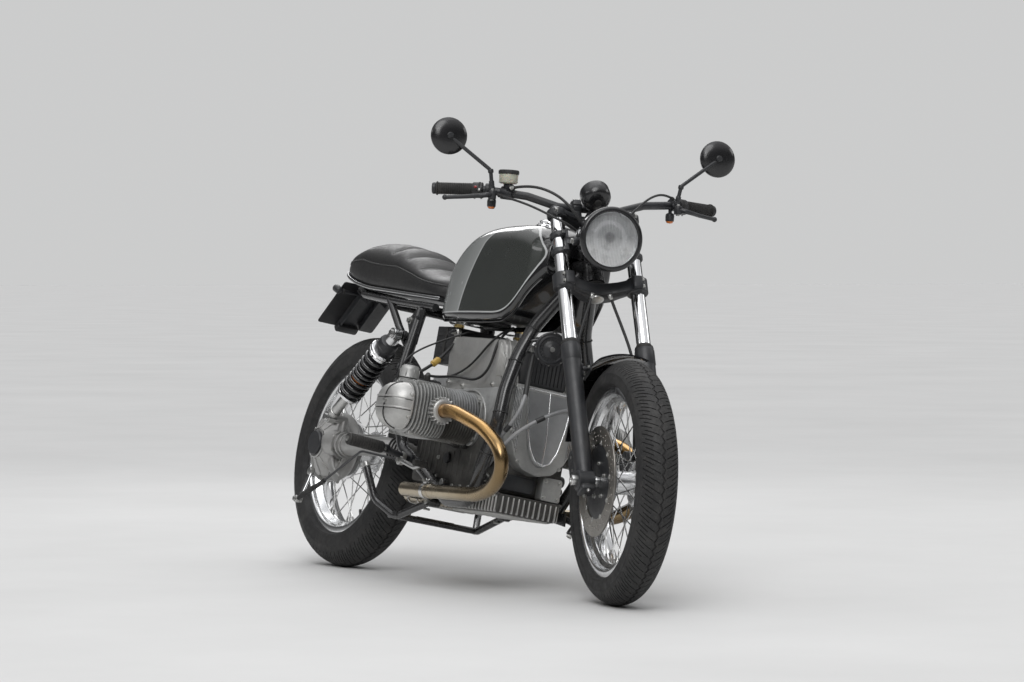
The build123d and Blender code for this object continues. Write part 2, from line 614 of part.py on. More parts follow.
with BuildPart() as number_plate:
    # blank plate on its bracket, which carries the tail lamp and two indicators
    with BuildSketch(Plane(origin=(-181, 0, 764), z_dir=Vector(-118, 0, 130).normalized())):
        RectangleRounded(186, 176, 6)
    extrude(amount=3)
    with BuildSketch(Plane.XZ.offset(-34)):
        with BuildLine():
            Polyline((-60, 790), (-122, 816), (-240, 708), (-170, 690), (-120, 740), (-60, 768), close=True)
        make_face()
    extrude(amount=68)
    rod((-124, -104, 796), (-124, 104, 796), 5.0)
    for side in (-1, 1):
        rod((-116, side * 104, 794), (-148, side * 104, 804), 9.0)

# ================================================= controls and small pieces
with BuildPart() as battery_box:
    with BuildSketch(Plane.XZ.offset(-86)):
        with BuildLine():
            Polyline((476, 590), (582, 590), (582, 700), (476, 700), close=True)
        make_face()
    extrude(amount=172)

with BuildPart() as foot_controls:
    # footrests, brake pedal with its rod on the right, gear lever on the left
    for side in (-1, 1):
        rod((560, side * 138.6, 311), (560, side * 240, 330), 9.0)
        rod((560, side * 236, 330), (560, side * 350, 335), 17.0)
        tube([(560, side * 176, 306), (650, side * 178, 288), (745, side * 202, 296)], 7.0, 40)
        rod((745, side * 196, 296), (745, side * 238, 297), 9.0)
        rod((560, side * 168, 306), (560, side * 184, 306), 14.0)
    tube([(560, -180, 306), (430, -232, 316), (170, -202, 218), (30, -196, 166)], 4.5, 40)
    rod((30, -188, 166), (30, -204, 166), 10.0)
    rod((30, -190, 166), (16, -160, 252), 7.0)

with BuildPart() as horn:
    rod((1040, -50, 650), (1062, -58, 648), 46.0)
    rod((1030, -46, 651), (1040, -50, 650), 26.0)
    rod((1034, -48, 668), (996, -94, 664), 5.0)

# ==================================================================== stands
with BuildPart() as centre_stand:
    # each leg: hinge eye, heel, and the foot curving up behind it, folded
    for side in (-1, 1):
        tube([(672, side * 122, 205), (505, side * 131, 152), (440, side * 168, 190), (395, side * 194, 290)],
             10.0, [40, 50])
        rod((672, side * 111.5, 205), (672, side * 132, 205), 14.0)
        rod((672, side * 105, 205), (672, side * 140, 205), 6.05, mode=Mode.SUBTRACT)
    rod((507, -131, 155), (507, 131, 155), 9.0)

with BuildPart() as side_stand:
    pivot = Vector(*SIDE_STAND)
    rod(pivot, STAND_HEEL, 10.5)
    rod(pivot + HINGE * 12.5, pivot - HINGE * 12.5, 13.0)
    rod(pivot + HINGE * 14, pivot - HINGE * 14, 6.05, mode=Mode.SUBTRACT)
    with BuildSketch(Plane(origin=on_ground(*SIDE_FOOT), x_dir=(1, 0, 0), z_dir=on_ground(0, 0, 1) - on_ground(0, 0, 0))):
        RectangleRounded(62, 44, 14)
    extrude(amount=8)
    rod(on_ground(SIDE_FOOT[0], SIDE_FOOT[1] - 4, 8), STAND_HEEL, 12.0)

# ============================================================ placing and files
# piece, and whether it turns with the steering
PIECES = [
    ("front_tyre", front_tyre, True), ("front_rim", front_rim, True),
    ("front_hub_and_spokes", front_hub, True), ("front_brake_discs", front_brake_discs, True),
    ("fork_sliders", fork_sliders, True), ("fork_stanchions", fork_stanchions, True),
    ("fork_yokes", fork_yokes, True), ("handlebar", handlebar, True),
    ("handlebar_grips", handlebar_grips, True), ("hand_controls", hand_controls, True),
    ("brake_fluid_reservoir", brake_reservoir, True), ("mirrors", mirrors, True),
    ("speedometer", speedometer, True), ("headlight_shell", headlight_shell, True),
    ("headlight_lens", headlight_lens, True), ("front_mudguard", front_mudguard, True),
    ("brake_calipers", brake_calipers, True), ("control_cables", control_cables, True),
    ("rear_tyre", rear_tyre, False), ("rear_rim", rear_rim, False), ("rear_hub_and_spokes", rear_hub, False),
    ("frame_backbone", frame_backbone, False), ("frame_cradle_right", frame_cradle_right, False),
    ("frame_cradle_left", frame_cradle_left, False), ("rear_subframe", rear_subframe, False),
    ("engine_block", engine_block, False), ("cylinders", cylinders, False), ("rocker_covers", rocker_covers, False),
    ("carburettors", carburettors, False), ("exhaust_header_right", exhaust_header_right, False),
    ("exhaust_header_left", exhaust_header_left, False), ("silencer", silencer, False),
    ("swingarm", swingarm, False), ("final_drive", final_drive, False), ("rear_shocks", rear_shocks, False),
    ("fuel_tank", fuel_tank, False), ("fuel_cap", fuel_cap, False), ("seat_base", seat_base, False),
    ("seat_cushion", seat_cushion, False), ("number_plate", number_plate, False),
    ("battery_box", battery_box, False), ("foot_controls", foot_controls, False), ("horn", horn, False),
    ("centre_stand", centre_stand, False), ("side_stand", side_stand, False),
]

for node, piece, turns in PIECES:
    piece.part = (PARK * TURN if turns else PARK) * piece.part
boxes = [piece.part.bounding_box() for node, piece, turns in PIECES]
low = Vector(min(b.min.X for b in boxes), min(b.min.Y for b in boxes), min(b.min.Z for b in boxes))
high = Vector(max(b.max.X for b in boxes), max(b.max.Y for b in boxes), max(b.max.Z for b in boxes))
# origin on the floor under the middle of the parked machine
SHIFT = Location((-(low.X + high.X) / 2, -(low.Y + high.Y) / 2, -low.Z))
print("side stand hinge", HINGE, "folds", LEG_DOWN.get_angle(LEG_FOLDED))
print(f"pitch {pitch:.5f} rise {rise:.5f} lowest {low.Z:.4f}")
print(f"shift {SHIFT.position.X:.4f} {SHIFT.position.Y:.4f} size", high - low)

for node, piece, turns in PIECES:
    piece.part = SHIFT * piece.part
    piece.part.label = node
    export_step(piece.part, f"parts/{node}.step")
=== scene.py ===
import json
import math
import random

import bpy
import bmesh
import numpy as np
from mathutils import Matrix, Vector


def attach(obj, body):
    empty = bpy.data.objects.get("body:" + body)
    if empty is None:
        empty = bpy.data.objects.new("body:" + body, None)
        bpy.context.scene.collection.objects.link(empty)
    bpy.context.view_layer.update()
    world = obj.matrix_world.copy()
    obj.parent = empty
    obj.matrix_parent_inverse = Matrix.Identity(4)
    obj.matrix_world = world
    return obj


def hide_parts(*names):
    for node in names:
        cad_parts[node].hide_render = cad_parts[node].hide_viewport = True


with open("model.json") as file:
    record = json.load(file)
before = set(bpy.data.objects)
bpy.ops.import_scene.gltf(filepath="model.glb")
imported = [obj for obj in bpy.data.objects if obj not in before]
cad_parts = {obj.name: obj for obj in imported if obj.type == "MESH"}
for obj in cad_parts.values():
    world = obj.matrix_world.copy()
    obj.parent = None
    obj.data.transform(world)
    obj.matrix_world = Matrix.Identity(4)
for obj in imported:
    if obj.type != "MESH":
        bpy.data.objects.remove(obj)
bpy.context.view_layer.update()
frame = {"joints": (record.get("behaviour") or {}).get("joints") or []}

RNG = random.Random(7)

# ------------------------------------------------------------------ the drawing
# Every piece is drawn on the upright motorcycle: x forward from the rear axle,
# y to the rider's left, z up from the ground, in millimetres, steering straight.
WHEELBASE, FRONT_R, FRONT_W = 1447.0, 315.75, 105.5
REAR_R, REAR_W = 337.10, 123.5
RAKE = math.radians(28.0)
SIN_R, COS_R = math.sin(RAKE), math.cos(RAKE)
UP = np.array((-SIN_R, 0.0, COS_R))
FWD = np.array((COS_R, 0.0, SIN_R))
SIDE = np.array((0.0, 1.0, 0.0))
FRONT_AXLE = np.array((WHEELBASE, 0.0, FRONT_R))
LEG_HALF, LEG_AHEAD = 102.4, 42.4
HEAD = FRONT_AXLE - FWD * LEG_AHEAD
RISE = 1.27636

joint = {j["name"]: j for j in frame["joints"]}
BASE = np.column_stack((FWD, SIDE, UP))


def turn_from(axle, steering):
    a, s = np.array(joint[axle]["axis"], float), np.array(joint[steering]["axis"], float)
    a, s = a / np.linalg.norm(a), s / np.linalg.norm(s)
    return np.column_stack((np.cross(a, s), a, s)) @ BASE.T


R_CHASSIS = turn_from("rear_wheel", "steering")
R_FORK = turn_from("front_wheel", "steering")
T_CHASSIS = np.array(joint["rear_wheel"]["pos_m"]) * 1000 - R_CHASSIS @ np.array((0, 0, REAR_R))
T_FORK = np.array(joint["steering"]["pos_m"]) * 1000 - R_FORK @ HEAD


def place(points, fork=False):
    p = np.atleast_2d(np.array(points, float))
    rot, move = (R_FORK, T_FORK) if fork else (R_CHASSIS, T_CHASSIS)
    return (p @ rot.T + move) / 1000.0


def fork(ahead, left, up):
    return HEAD + FWD * ahead + SIDE * left + UP * up


def vec(*p):
    return np.array(p if len(p) > 1 else p[0], float)


def unit(v):
    v = np.array(v, float)
    return v / np.linalg.norm(v)


def basis(axis, ref=None):
    a = unit(axis)
    r = np.array(ref if ref is not None else ((0, 0, 1) if abs(a[2]) < 0.9 else (1, 0, 0)), float)
    u = unit(r - a * (r @ a))
    return a, u, np.cross(a, u)


# ------------------------------------------------------------------ shapes
# a shape is (vertices, faces); these helpers build them from short tables
def skin(rings, closed=True, start=True, end=True):
    """A surface through rings of the same number of points."""
    n = len(rings[0])
    v = np.vstack(rings)
    f = []
    for r in range(len(rings) - 1):
        a, b = r * n, (r + 1) * n
        for i in range(n if closed else n - 1):
            j = (i + 1) % n
            f.append((a + i, a + j, b + j, b + i))
    if start:
        f.append(tuple(range(n - 1, -1, -1)))
    if end:
        f.append(tuple(range(len(v) - n, len(v))))
    return v, f


def loop_rings(rings, closed=True):
    """Rings joined end to end, as round a wheel."""
    n = len(rings[0])
    v = np.vstack(rings)
    f = []
    for r in range(len(rings)):
        a, b = r * n, ((r + 1) % len(rings)) * n
        for i in range(n if closed else n - 1):
            j = (i + 1) % n
            f.append((a + i, a + j, b + j, b + i))
    return v, f


def lathe(profile, origin, axis, n=48, ref=None, arc=None):
    """Profile points are (along the axis, radius)."""
    a, u, w = basis(axis, ref)
    origin = vec(origin)
    full = arc is None
    turns = [2 * math.pi * i / n for i in range(n)] if full else [math.radians(arc[0] + (arc[1] - arc[0]) * i / n) for i in range(n + 1)]
    v, f, ids = [], [], []
    for along, radius in profile:
        if radius < 1e-6:
            ids.append([len(v)] * len(turns))
            v.append(origin + a * along)
        else:
            ids.append(list(range(len(v), len(v) + len(turns))))
            for t in turns:
                v.append(origin + a * along + radius * (math.cos(t) * u + math.sin(t) * w))
    for p, q in zip(ids, ids[1:]):
        for i in range(len(turns) if full else len(turns) - 1):
            j = (i + 1) % len(turns)
            face = []
            for k in (p[i], q[i], q[j], p[j]):
                if k not in face:
                    face.append(k)
            if len(face) > 2:
                f.append(tuple(face))
    return np.array(v), f


def arc_points(a, b, c, radius, step=7.0):
    """Points of the arc that rounds corner b between runs ab and bc."""
    a, b, c = vec(a), vec(b), vec(c)
    d0, d1 = unit(b - a), unit(c - b)
    turn = math.acos(max(-1, min(1, d0 @ d1)))
    if turn < 1e-3 or radius <= 0:
        return [b]
    cut = radius * math.tan(turn / 2)
    cut = min(cut, 0.49 * np.linalg.norm(b - a), 0.49 * np.linalg.norm(c - b)) if cut > 0 else cut
    radius = cut / math.tan(turn / 2)
    s = b - d0 * cut
    normal = unit(d1 - d0 * (d0 @ d1))
    centre = s + normal * radius
    n = max(2, int(math.degrees(turn) / step) + 1)
    out = []
    for i in range(n + 1):
        t = turn * i / n
        out.append(centre - normal * radius * math.cos(t) + d0 * radius * math.sin(t))
    return out


def route(points, bends, step=7.0, run=0.0):
    """Straight runs joined by arcs."""
    pts = [vec(p) for p in points]
    if not hasattr(bends, "__len__"):
        bends = [bends] * (len(pts) - 2)
    out = [pts[0]]
    for i in range(1, len(pts) - 1):
        out += arc_points(pts[i - 1], pts[i], pts[i + 1], bends[i - 1], step)
    out.append(pts[-1])
    clean = [out[0]]
    for p in out[1:]:
        if np.linalg.norm(p - clean[-1]) > 0.3:
            clean.append(p)
    if run:
        dense = [clean[0]]
        for a, b in zip(clean, clean[1:]):
            n = max(1, int(np.linalg.norm(b - a) / run))
            dense += [a + (b - a) * (k + 1) / n for k in range(n)]
        clean = dense
    return clean


def spline(points, samples=12, degree=3):
    """A clamped B-spline through the control points' hull."""
    p = [vec(q) for q in points]
    k = min(degree, len(p) - 1)
    n = len(p)
    knots = [0] * k + list(range(n - k + 1)) + [n - k] * k
    out = []
    total = (n - k) * samples
    for s in range(total + 1):
        t = (n - k) * s / total
        t = min(t, n - k - 1e-9)
        span = k + int(t)
        d = [p[span - k + j] for j in range(k + 1)]
        for r in range(1, k + 1):
            for j in range(k, r - 1, -1):
                lo, hi = knots[span - k + j], knots[span + 1 + j - r]
                w = 0 if hi == lo else (t - lo) / (hi - lo)
                d[j] = (1 - w) * d[j - 1] + w * d[j]
        out.append(d[k])
    return out


def sweep(path, section, scale=None, closed_section=True, caps=True, ref=None, twist=None):
    """A section of (across, up) points carried along a path without twisting."""
    path = [vec(p) for p in path]
    if not hasattr(scale, "__len__"):
        path = [p for k, p in enumerate(path) if k == 0 or np.linalg.norm(p - path[k - 1]) > 0.02]
    tang = []
    for i in range(len(path)):
        a = path[max(0, i - 1)]
        b = path[min(len(path) - 1, i + 1)]
        tang.append(unit(b - a))
    _, u, _ = basis(tang[0], ref)
    rings = []
    for i, p in enumerate(path):
        t = tang[i]
        u = unit(u - t * (u @ t))
        w = np.cross(t, u)
        s = 1.0 if scale is None else (scale[i] if hasattr(scale, "__len__") else scale(i / (len(path) - 1)))
        sec = section(i / (len(path) - 1)) if callable(section) else section
        rings.append(np.array([p + u * x * s + w * y * s for x, y in sec]))
    return skin(rings, closed_section, caps, caps)


def circle(radius, n=16):
    return [(radius * math.cos(2 * math.pi * i / n), radius * math.sin(2 * math.pi * i / n)) for i in range(n)]


def tube(points, radius, bends=0, n=16, step=7.0, caps=True, scale=None, run=0.0):
    path = route(points, bends, step, run) if len(points) > 2 else ([vec(p) for p in points] if not run else route([points[0], (vec(points[0]) + vec(points[1])) / 2 + 1e-3, points[1]], 0, step, run))
    return sweep(path, circle(radius, n), scale, caps=caps)


def rod(a, b, radius, n=24, end=None, soft=0.0):
    """A round bar with softened ends."""
    a, b = vec(a), vec(b)
    length = np.linalg.norm(b - a)
    end = radius if end is None else end
    s = min(soft, length / 3, radius * 0.8, end * 0.8)
    if s <= 0:
        prof = [(0, 0), (0, radius), (length, end), (length, 0)]
    else:
        prof = [(0, 0), (0, radius - s), (s * 0.3, radius - s * 0.3), (s, radius), (length - s, end), (length - s * 0.3, end - s * 0.3),
                (length, end - s), (length, 0)]
    return lathe(prof, a, b - a, n)


def rounded(w, h, r, n=5):
    """A rounded rectangle's outline, counter-clockwise."""
    r = min(r, w / 2 - 1e-3, h / 2 - 1e-3)
    out = []
    for cx, cy, start in ((w / 2 - r, h / 2 - r, 0), (-w / 2 + r, h / 2 - r, 90), (-w / 2 + r, -h / 2 + r, 180), (w / 2 - r, -h / 2 + r, 270)):
        for i in range(n + 1):
            t = math.radians(start + 90 * i / n)
            out.append((cx + r * math.cos(t), cy + r * math.sin(t)))
    return out


def plate(outline, origin, u, w, thick, soft=0.0):
    """A flat outline in axes u, w, given a thickness along u x w."""
    origin, u, w = vec(origin), unit(u), unit(w)
    n = np.cross(u, w)
    pts = np.array(outline, float)

    def ring(off, shrink):
        p = pts
        if shrink:
            c = inset(pts, shrink)
            p = c
        return np.array([origin + u * x + w * y + n * off for x, y in p])
    if soft > 0:
        s = min(soft, thick / 2.5)
        rings = [ring(0, s), ring(s * 0.3, s * 0.3), ring(s, 0), ring(thick - s, 0), ring(thick - s * 0.3, s * 0.3), ring(thick, s)]
    else:
        rings = [ring(0, 0), ring(thick, 0)]
    return skin(rings)


def inset(pts, d):
    """The outline moved inwards by d, for a counter-clockwise outline."""
    n = len(pts)
    area = sum(pts[i][0] * pts[(i + 1) % n][1] - pts[(i + 1) % n][0] * pts[i][1] for i in range(n))
    s = 1 if area > 0 else -1
    out = []
    for i in range(n):
        a, b, c = pts[i - 1], pts[i], pts[(i + 1) % n]
        d0 = (b - a) / max(1e-9, np.linalg.norm(b - a))
        d1 = (c - b) / max(1e-9, np.linalg.norm(c - b))
        n0 = np.array((-d0[1], d0[0])) * s
        n1 = np.array((-d1[1], d1[0])) * s
        m = n0 + n1
        k = np.linalg.norm(m)
        m = m / k if k > 1e-6 else n0
        out.append(b + m * d / max(0.35, m @ n0))
    return np.array(out)


def block(centre, size, u=(1, 0, 0), w=(0, 1, 0), soft=1.5):
    """A box with softened edges, centred."""
    u, w = unit(u), unit(w)
    n = np.cross(u, w)
    o = vec(centre) - n * size[2] / 2
    r = min(soft * 1.6, min(size[0], size[1]) / 2.2)
    return plate(rounded(size[0], size[1], r, 3), o, u, w, size[2], soft)


def hexagon(origin, axis, across, high, dome=0.0):
    a, u, w = basis(axis)
    origin = vec(origin)
    r = across / math.sqrt(3)
    pts = [(r * math.cos(math.pi / 3 * i), r * math.sin(math.pi / 3 * i)) for i in range(6)]
    rings = []
    for off, s in ((0, 1.0), (high * 0.82, 1.0), (high, 0.88)):
        rings.append(np.array([origin + a * off + (u * x + w * y) * s for x, y in pts]))
    return skin(rings)


def bolt(origin, axis, r=5.0, high=5.0, washer=True, socket=False):
    """A bolt's head: hexagon on a washer, or a socket cap."""
    origin = vec(origin)
    a = unit(axis)
    parts = []
    base = 0.0
    if washer:
        parts.append(lathe([(0, 0), (0, r * 1.28), (0.8, r * 1.28), (1.2, r * 1.2), (1.2, 0)], origin, a, 20))
        base = 1.2
    if socket:
        parts.append(lathe([(base, r * 0.96), (base + high * 0.9, r * 0.96), (base + high, r * 0.84), (base + high, r * 0.5),
                            (base + high * 0.45, r * 0.45), (base + high * 0.45, 0)], origin, a, 20))
    else:
        parts.append(hexagon(origin + a * base, a, r * 1.75, high))
    return join(parts)


def join(shapes):
    v, f, o = [], [], 0
    for sv, sf in shapes:
        v.append(np.array(sv, float))
        f += [tuple(i + o for i in face) for face in sf]
        o += len(sv)
    return np.vstack(v), f


def mirror_y(shape):
    v, f = shape
    v = np.array(v, float).copy()
    v[:, 1] *= -1
    return v, [tuple(reversed(face)) for face in f]


def moved(shape, by):
    return shape[0] + vec(by), shape[1]


def spun(shape, origin, axis, angle):
    v, f = shape
    a = unit(axis)
    o = vec(origin)
    k = np.array([[0, -a[2], a[1]], [a[2], 0, -a[0]], [-a[1], a[0], 0]])
    t = math.radians(angle)
    m = np.eye(3) + math.sin(t) * k + (1 - math.cos(t)) * k @ k
    return (v - o) @ m.T + o, f


# ------------------------------------------------------------------ pieces
TRIS = {}


class Piece:
    """One named piece of the visual model, made of shapes with their materials."""

    def __init__(self, name, body, slot, turns=False):
        self.name, self.body, self.slot, self.turns = name, body, slot, turns
        self.v, self.f, self.m, self.s, self.mats, self.count = [], [], [], [], [], 0
        self.fields = {}

    def add(self, shape, material, smooth=True, both=False, field=None):
        shapes = [shape, mirror_y(shape)] if both else [shape]
        for sv, sf in shapes:
            if material not in self.mats:
                self.mats.append(material)
            k = self.mats.index(material)
            self.v.append(np.array(sv, float))
            self.f += [tuple(i + self.count for i in face) for face in sf]
            self.m += [k] * len(sf)
            self.s += [smooth] * len(sf)
            if field is not None:
                for key, values in field.items():
                    self.fields.setdefault(key, []).append((self.count, np.array(values, float)))
            self.count += len(sv)
        return self

    def done(self, *replaces, bevel=0.0, angle=32.0, subdivide=0, segments=2, weld=False):
        raw = np.vstack(self.v)
        co = place(raw, self.turns)
        me = bpy.data.meshes.new(self.name)
        me.from_pydata(co.tolist(), [], self.f)
        for m in self.mats:
            me.materials.append(m)
        me.polygons.foreach_set("material_index", self.m)
        me.polygons.foreach_set("use_smooth", self.s)
        for key in self.fields:
            attribute = me.attributes.new(key, "FLOAT", "POINT")
            values = np.zeros(len(raw), np.float32)
            for start, part in self.fields[key]:
                values[start:start + len(part)] = part
            attribute.data.foreach_set("value", values)
        for k, key in enumerate(("bike_x", "bike_y", "bike_z")):
            attribute = me.attributes.new(key, "FLOAT", "POINT")
            attribute.data.foreach_set("value", (raw[:, k] / 1000.0).astype(np.float32))
        me.validate(clean_customdata=False)
        bm = bmesh.new()
        bm.from_mesh(me)
        if weld:
            bmesh.ops.remove_doubles(bm, verts=bm.verts, dist=1e-5)
        bmesh.ops.recalc_face_normals(bm, faces=bm.faces)
        bm.to_mesh(me)
        bm.free()
        if not subdivide:
            me.set_sharp_from_angle(angle=math.radians(angle))
        ob = bpy.data.objects.new(self.name, me)
        bpy.context.scene.collection.objects.link(ob)
        if bevel:
            mod = ob.modifiers.new("edges", "BEVEL")
            mod.width = bevel / 1000.0
            mod.segments = segments
            mod.limit_method = "ANGLE"
            mod.angle_limit = math.radians(angle)
            mod.harden_normals = True
            mod.use_clamp_overlap = True
        if subdivide:
            mod = ob.modifiers.new("smooth", "SUBSURF")
            mod.levels = mod.render_levels = subdivide
        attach(ob, self.body)
        if replaces:
            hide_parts(*replaces)
        TRIS[self.name] = sum(len(face) - 2 for face in self.f)
        return ob


# ------------------------------------------------------------------ materials
class Nodes:
    """A material's node tree, with short names for the nodes it needs."""

    def __init__(self, name):
        self.mat = bpy.data.materials.new(name)
        self.mat.use_nodes = True
        self.t = self.mat.node_tree
        self.t.nodes.clear()
        self.out = self.t.nodes.new("ShaderNodeOutputMaterial")
        self.bsdf = self.t.nodes.new("ShaderNodeBsdfPrincipled")
        self.t.links.new(self.bsdf.outputs[0], self.out.inputs[0])
        self.coord = self.t.nodes.new("ShaderNodeTexCoord").outputs["Object"]

    def link(self, a, b):
        self.t.links.new(a, b)

    def set(self, **values):
        names = {"base": "Base Color", "rough": "Roughness", "metal": "Metallic", "coat": "Coat Weight", "coat_rough": "Coat Roughness",
                 "spec": "Specular IOR Level", "trans": "Transmission Weight", "ior": "IOR", "sheen": "Sheen Weight", "sheen_rough": "Sheen Roughness",
                 "alpha": "Alpha", "subsurface": "Subsurface Weight"}
        for key, value in values.items():
            sock = self.bsdf.inputs[names[key]]
            sock.default_value = (*value, 1.0) if key == "base" else value
        return self

    def attribute(self, name):
        n = self.t.nodes.new("ShaderNodeAttribute")
        n.attribute_name = name
        return n.outputs["Fac"]

    def bike(self):
        n = self.t.nodes.new("ShaderNodeCombineXYZ")
        for k, key in enumerate(("bike_x", "bike_y", "bike_z")):
            self.link(self.attribute(key), n.inputs[k])
        return n.outputs[0]

    def noise(self, scale, detail=4.0, rough=0.55, coord=None, distort=0.0, stretch=None):
        n = self.t.nodes.new("ShaderNodeTexNoise")
        n.inputs["Scale"].default_value = scale
        n.inputs["Detail"].default_value = detail
        n.inputs["Roughness"].default_value = rough
        n.inputs["Distortion"].default_value = distort
        c = coord or self.coord
        if stretch:
            m = self.t.nodes.new("ShaderNodeMapping")
            m.inputs["Scale"].default_value = stretch
            self.link(c, m.inputs[0])
            c = m.outputs[0]
        self.link(c, n.inputs["Vector"])
        return n.outputs["Fac"]

    def voronoi(self, scale, feature="F1", coord=None, random_=1.0, smooth=0.0):
        n = self.t.nodes.new("ShaderNodeTexVoronoi")
        n.feature = feature
        n.inputs["Scale"].default_value = scale
        n.inputs["Randomness"].default_value = random_
        if feature == "SMOOTH_F1":
            n.inputs["Smoothness"].default_value = smooth or 0.5
        self.link(coord or self.coord, n.inputs["Vector"])
        return n.outputs["Distance"]

    def range(self, value, a, b, lo=0.0, hi=1.0, kind="LINEAR"):
        n = self.t.nodes.new("ShaderNodeMapRange")
        n.interpolation_type = kind
        n.inputs["From Min"].default_value = a
        n.inputs["From Max"].default_value = b
        n.inputs["To Min"].default_value = lo
        n.inputs["To Max"].default_value = hi
        self.link(value, n.inputs["Value"])
        return n.outputs["Result"]

    def math(self, op, a, b=None, c=None):
        n = self.t.nodes.new("ShaderNodeMath")
        n.operation = op
        for k, x in enumerate((a, b, c)):
            if x is None:
                continue
            if isinstance(x, (int, float)):
                n.inputs[k].default_value = x
            else:
                self.link(x, n.inputs[k])
        return n.outputs[0]

    def mix(self, fac, a, b):
        n = self.t.nodes.new("ShaderNodeMix")
        n.data_type = "RGBA"
        for sock, x in ((n.inputs["Factor"], fac), (n.inputs["A"], a), (n.inputs["B"], b)):
            if sock.name == "Factor":
                pass
        socks = [s for s in n.inputs if s.type == "RGBA"]
        facs = [s for s in n.inputs if s.type == "VALUE"]
        if isinstance(fac, (int, float)):
            facs[0].default_value = fac
        else:
            self.link(fac, facs[0])
        for sock, x in zip(socks, (a, b)):
            if isinstance(x, (tuple, list)):
                sock.default_value = (*x, 1.0) if len(x) == 3 else x
            else:
                self.link(x, sock)
        return [s for s in n.outputs if s.type == "RGBA"][0]

    def bump(self, height, distance, strength=1.0, under=None):
        n = self.t.nodes.new("ShaderNodeBump")
        n.inputs["Distance"].default_value = distance
        n.inputs["Strength"].default_value = strength
        self.link(height, n.inputs["Height"])
        if under is not None:
            self.link(under, n.inputs["Normal"])
        return n.outputs["Normal"]

    def finish(self, colour=None, rough=None, normal=None, metal=None):
        if colour is not None:
            self.link(colour, self.bsdf.inputs["Base Color"])
        if rough is not None:
            self.link(rough, self.bsdf.inputs["Roughness"])
        if normal is not None:
            self.link(normal, self.bsdf.inputs["Normal"])
        if metal is not None:
            self.link(metal, self.bsdf.inputs["Metallic"])
        return self.mat


def surface(name, dark, light, rough, metal=0.0, patch=6.0, grain=0.0, grain_scale=900.0, coat=0.0, coat_rough=0.04, spec=0.5,
            dust=0.0, dust_colour=(0.32, 0.30, 0.27), waves=0.0, cells=0.0, cell_scale=500.0, speck=0.0):
    """Colour and roughness that vary over the surface, with grain, slight waviness and settled dust."""
    n = Nodes(name)
    n.set(metal=metal, coat=coat, coat_rough=coat_rough, spec=spec)
    big = n.noise(patch, 5.0, 0.6)
    fine = n.noise(patch * 14, 3.0, 0.6)
    both = n.math("MULTIPLY_ADD", fine, 0.35, n.math("MULTIPLY", big, 0.75))
    colour = n.mix(n.range(both, 0.32, 0.76), dark, light)
    if speck:
        spots = n.range(n.noise(patch * 60, 2.0, 0.5), 0.62, 0.74)
        colour = n.mix(n.math("MULTIPLY", spots, speck), colour, tuple(min(1.0, c * 1.8 + 0.02) for c in light))
    if dust:
        cloud = n.range(n.noise(patch * 2.3, 6.0, 0.7), 0.45, 0.8, 0.0, dust)
        colour = n.mix(cloud, colour, dust_colour)
    rough_map = n.range(n.noise(patch * 5, 6.0, 0.65), 0.3, 0.72, rough[0], rough[1])
    normal = None
    if waves:
        normal = n.bump(n.noise(patch * 3, 2.0, 0.5), 0.0006, waves, normal)
    if cells:
        normal = n.bump(n.voronoi(cell_scale, "SMOOTH_F1"), 0.0004, cells, normal)
    if grain:
        normal = n.bump(n.noise(grain_scale, 3.0, 0.6), 0.0004, grain, normal)
    return n.finish(colour, rough_map, normal)


M = {}
M["alloy"] = surface("polished_aluminium", (0.66, 0.67, 0.68), (0.80, 0.80, 0.80), (0.12, 0.26), 1.0, 9.0, 0.05, 700, waves=0.05)
M["stainless"] = surface("stainless_steel", (0.58, 0.58, 0.58), (0.72, 0.72, 0.71), (0.16, 0.30), 1.0, 12.0, 0.04, 900)
M["chrome"] = surface("chrome", (0.78, 0.79, 0.80), (0.88, 0.88, 0.89), (0.03, 0.09), 1.0, 7.0, 0.0, waves=0.02)
M["cast"] = surface("cast_aluminium", (0.30, 0.305, 0.30), (0.45, 0.45, 0.44), (0.42, 0.60), 0.75, 8.0, 0.45, 1300, cells=0.20, cell_scale=900,
                    dust=0.18, dust_colour=(0.30, 0.29, 0.27))
M["cast_pale"] = surface("cast_aluminium_pale", (0.40, 0.40, 0.39), (0.56, 0.555, 0.54), (0.36, 0.52), 0.7, 8.0, 0.35, 1400, cells=0.15, cell_scale=900,
                         dust=0.12)
M["barrel"] = surface("barrel_iron", (0.26, 0.265, 0.27), (0.42, 0.42, 0.42), (0.45, 0.62), 0.6, 10.0, 0.4, 1200, dust=0.2)
M["frame"] = surface("frame_enamel", (0.010, 0.010, 0.011), (0.020, 0.020, 0.021), (0.20, 0.34), 0.0, 6.0, 0.04, 500, coat=0.5, coat_rough=0.10, waves=0.08,
                     dust=0.05)
M["satin"] = surface("satin_black", (0.013, 0.014, 0.016), (0.028, 0.029, 0.032), (0.34, 0.50), 0.0, 7.0, 0.18, 1500, waves=0.03, dust=0.05)
M["plastic"] = surface("moulded_plastic", (0.014, 0.014, 0.015), (0.027, 0.027, 0.028), (0.40, 0.56), 0.0, 8.0, 0.30, 1700, cells=0.12, cell_scale=1400)
M["gloss"] = surface("gloss_black", (0.006, 0.006, 0.007), (0.010, 0.010, 0.011), (0.05, 0.11), 0.0, 6.0, 0.0, coat=1.0, coat_rough=0.03, waves=0.02)
M["rubber"] = surface("moulded_rubber", (0.018, 0.018, 0.018), (0.034, 0.033, 0.032), (0.60, 0.78), 0.0, 9.0, 0.30, 1200, spec=0.35, dust=0.10)
M["hose"] = surface("rubber_hose", (0.010, 0.010, 0.010), (0.020, 0.020, 0.021), (0.42, 0.58), 0.0, 15.0, 0.15, 1500)
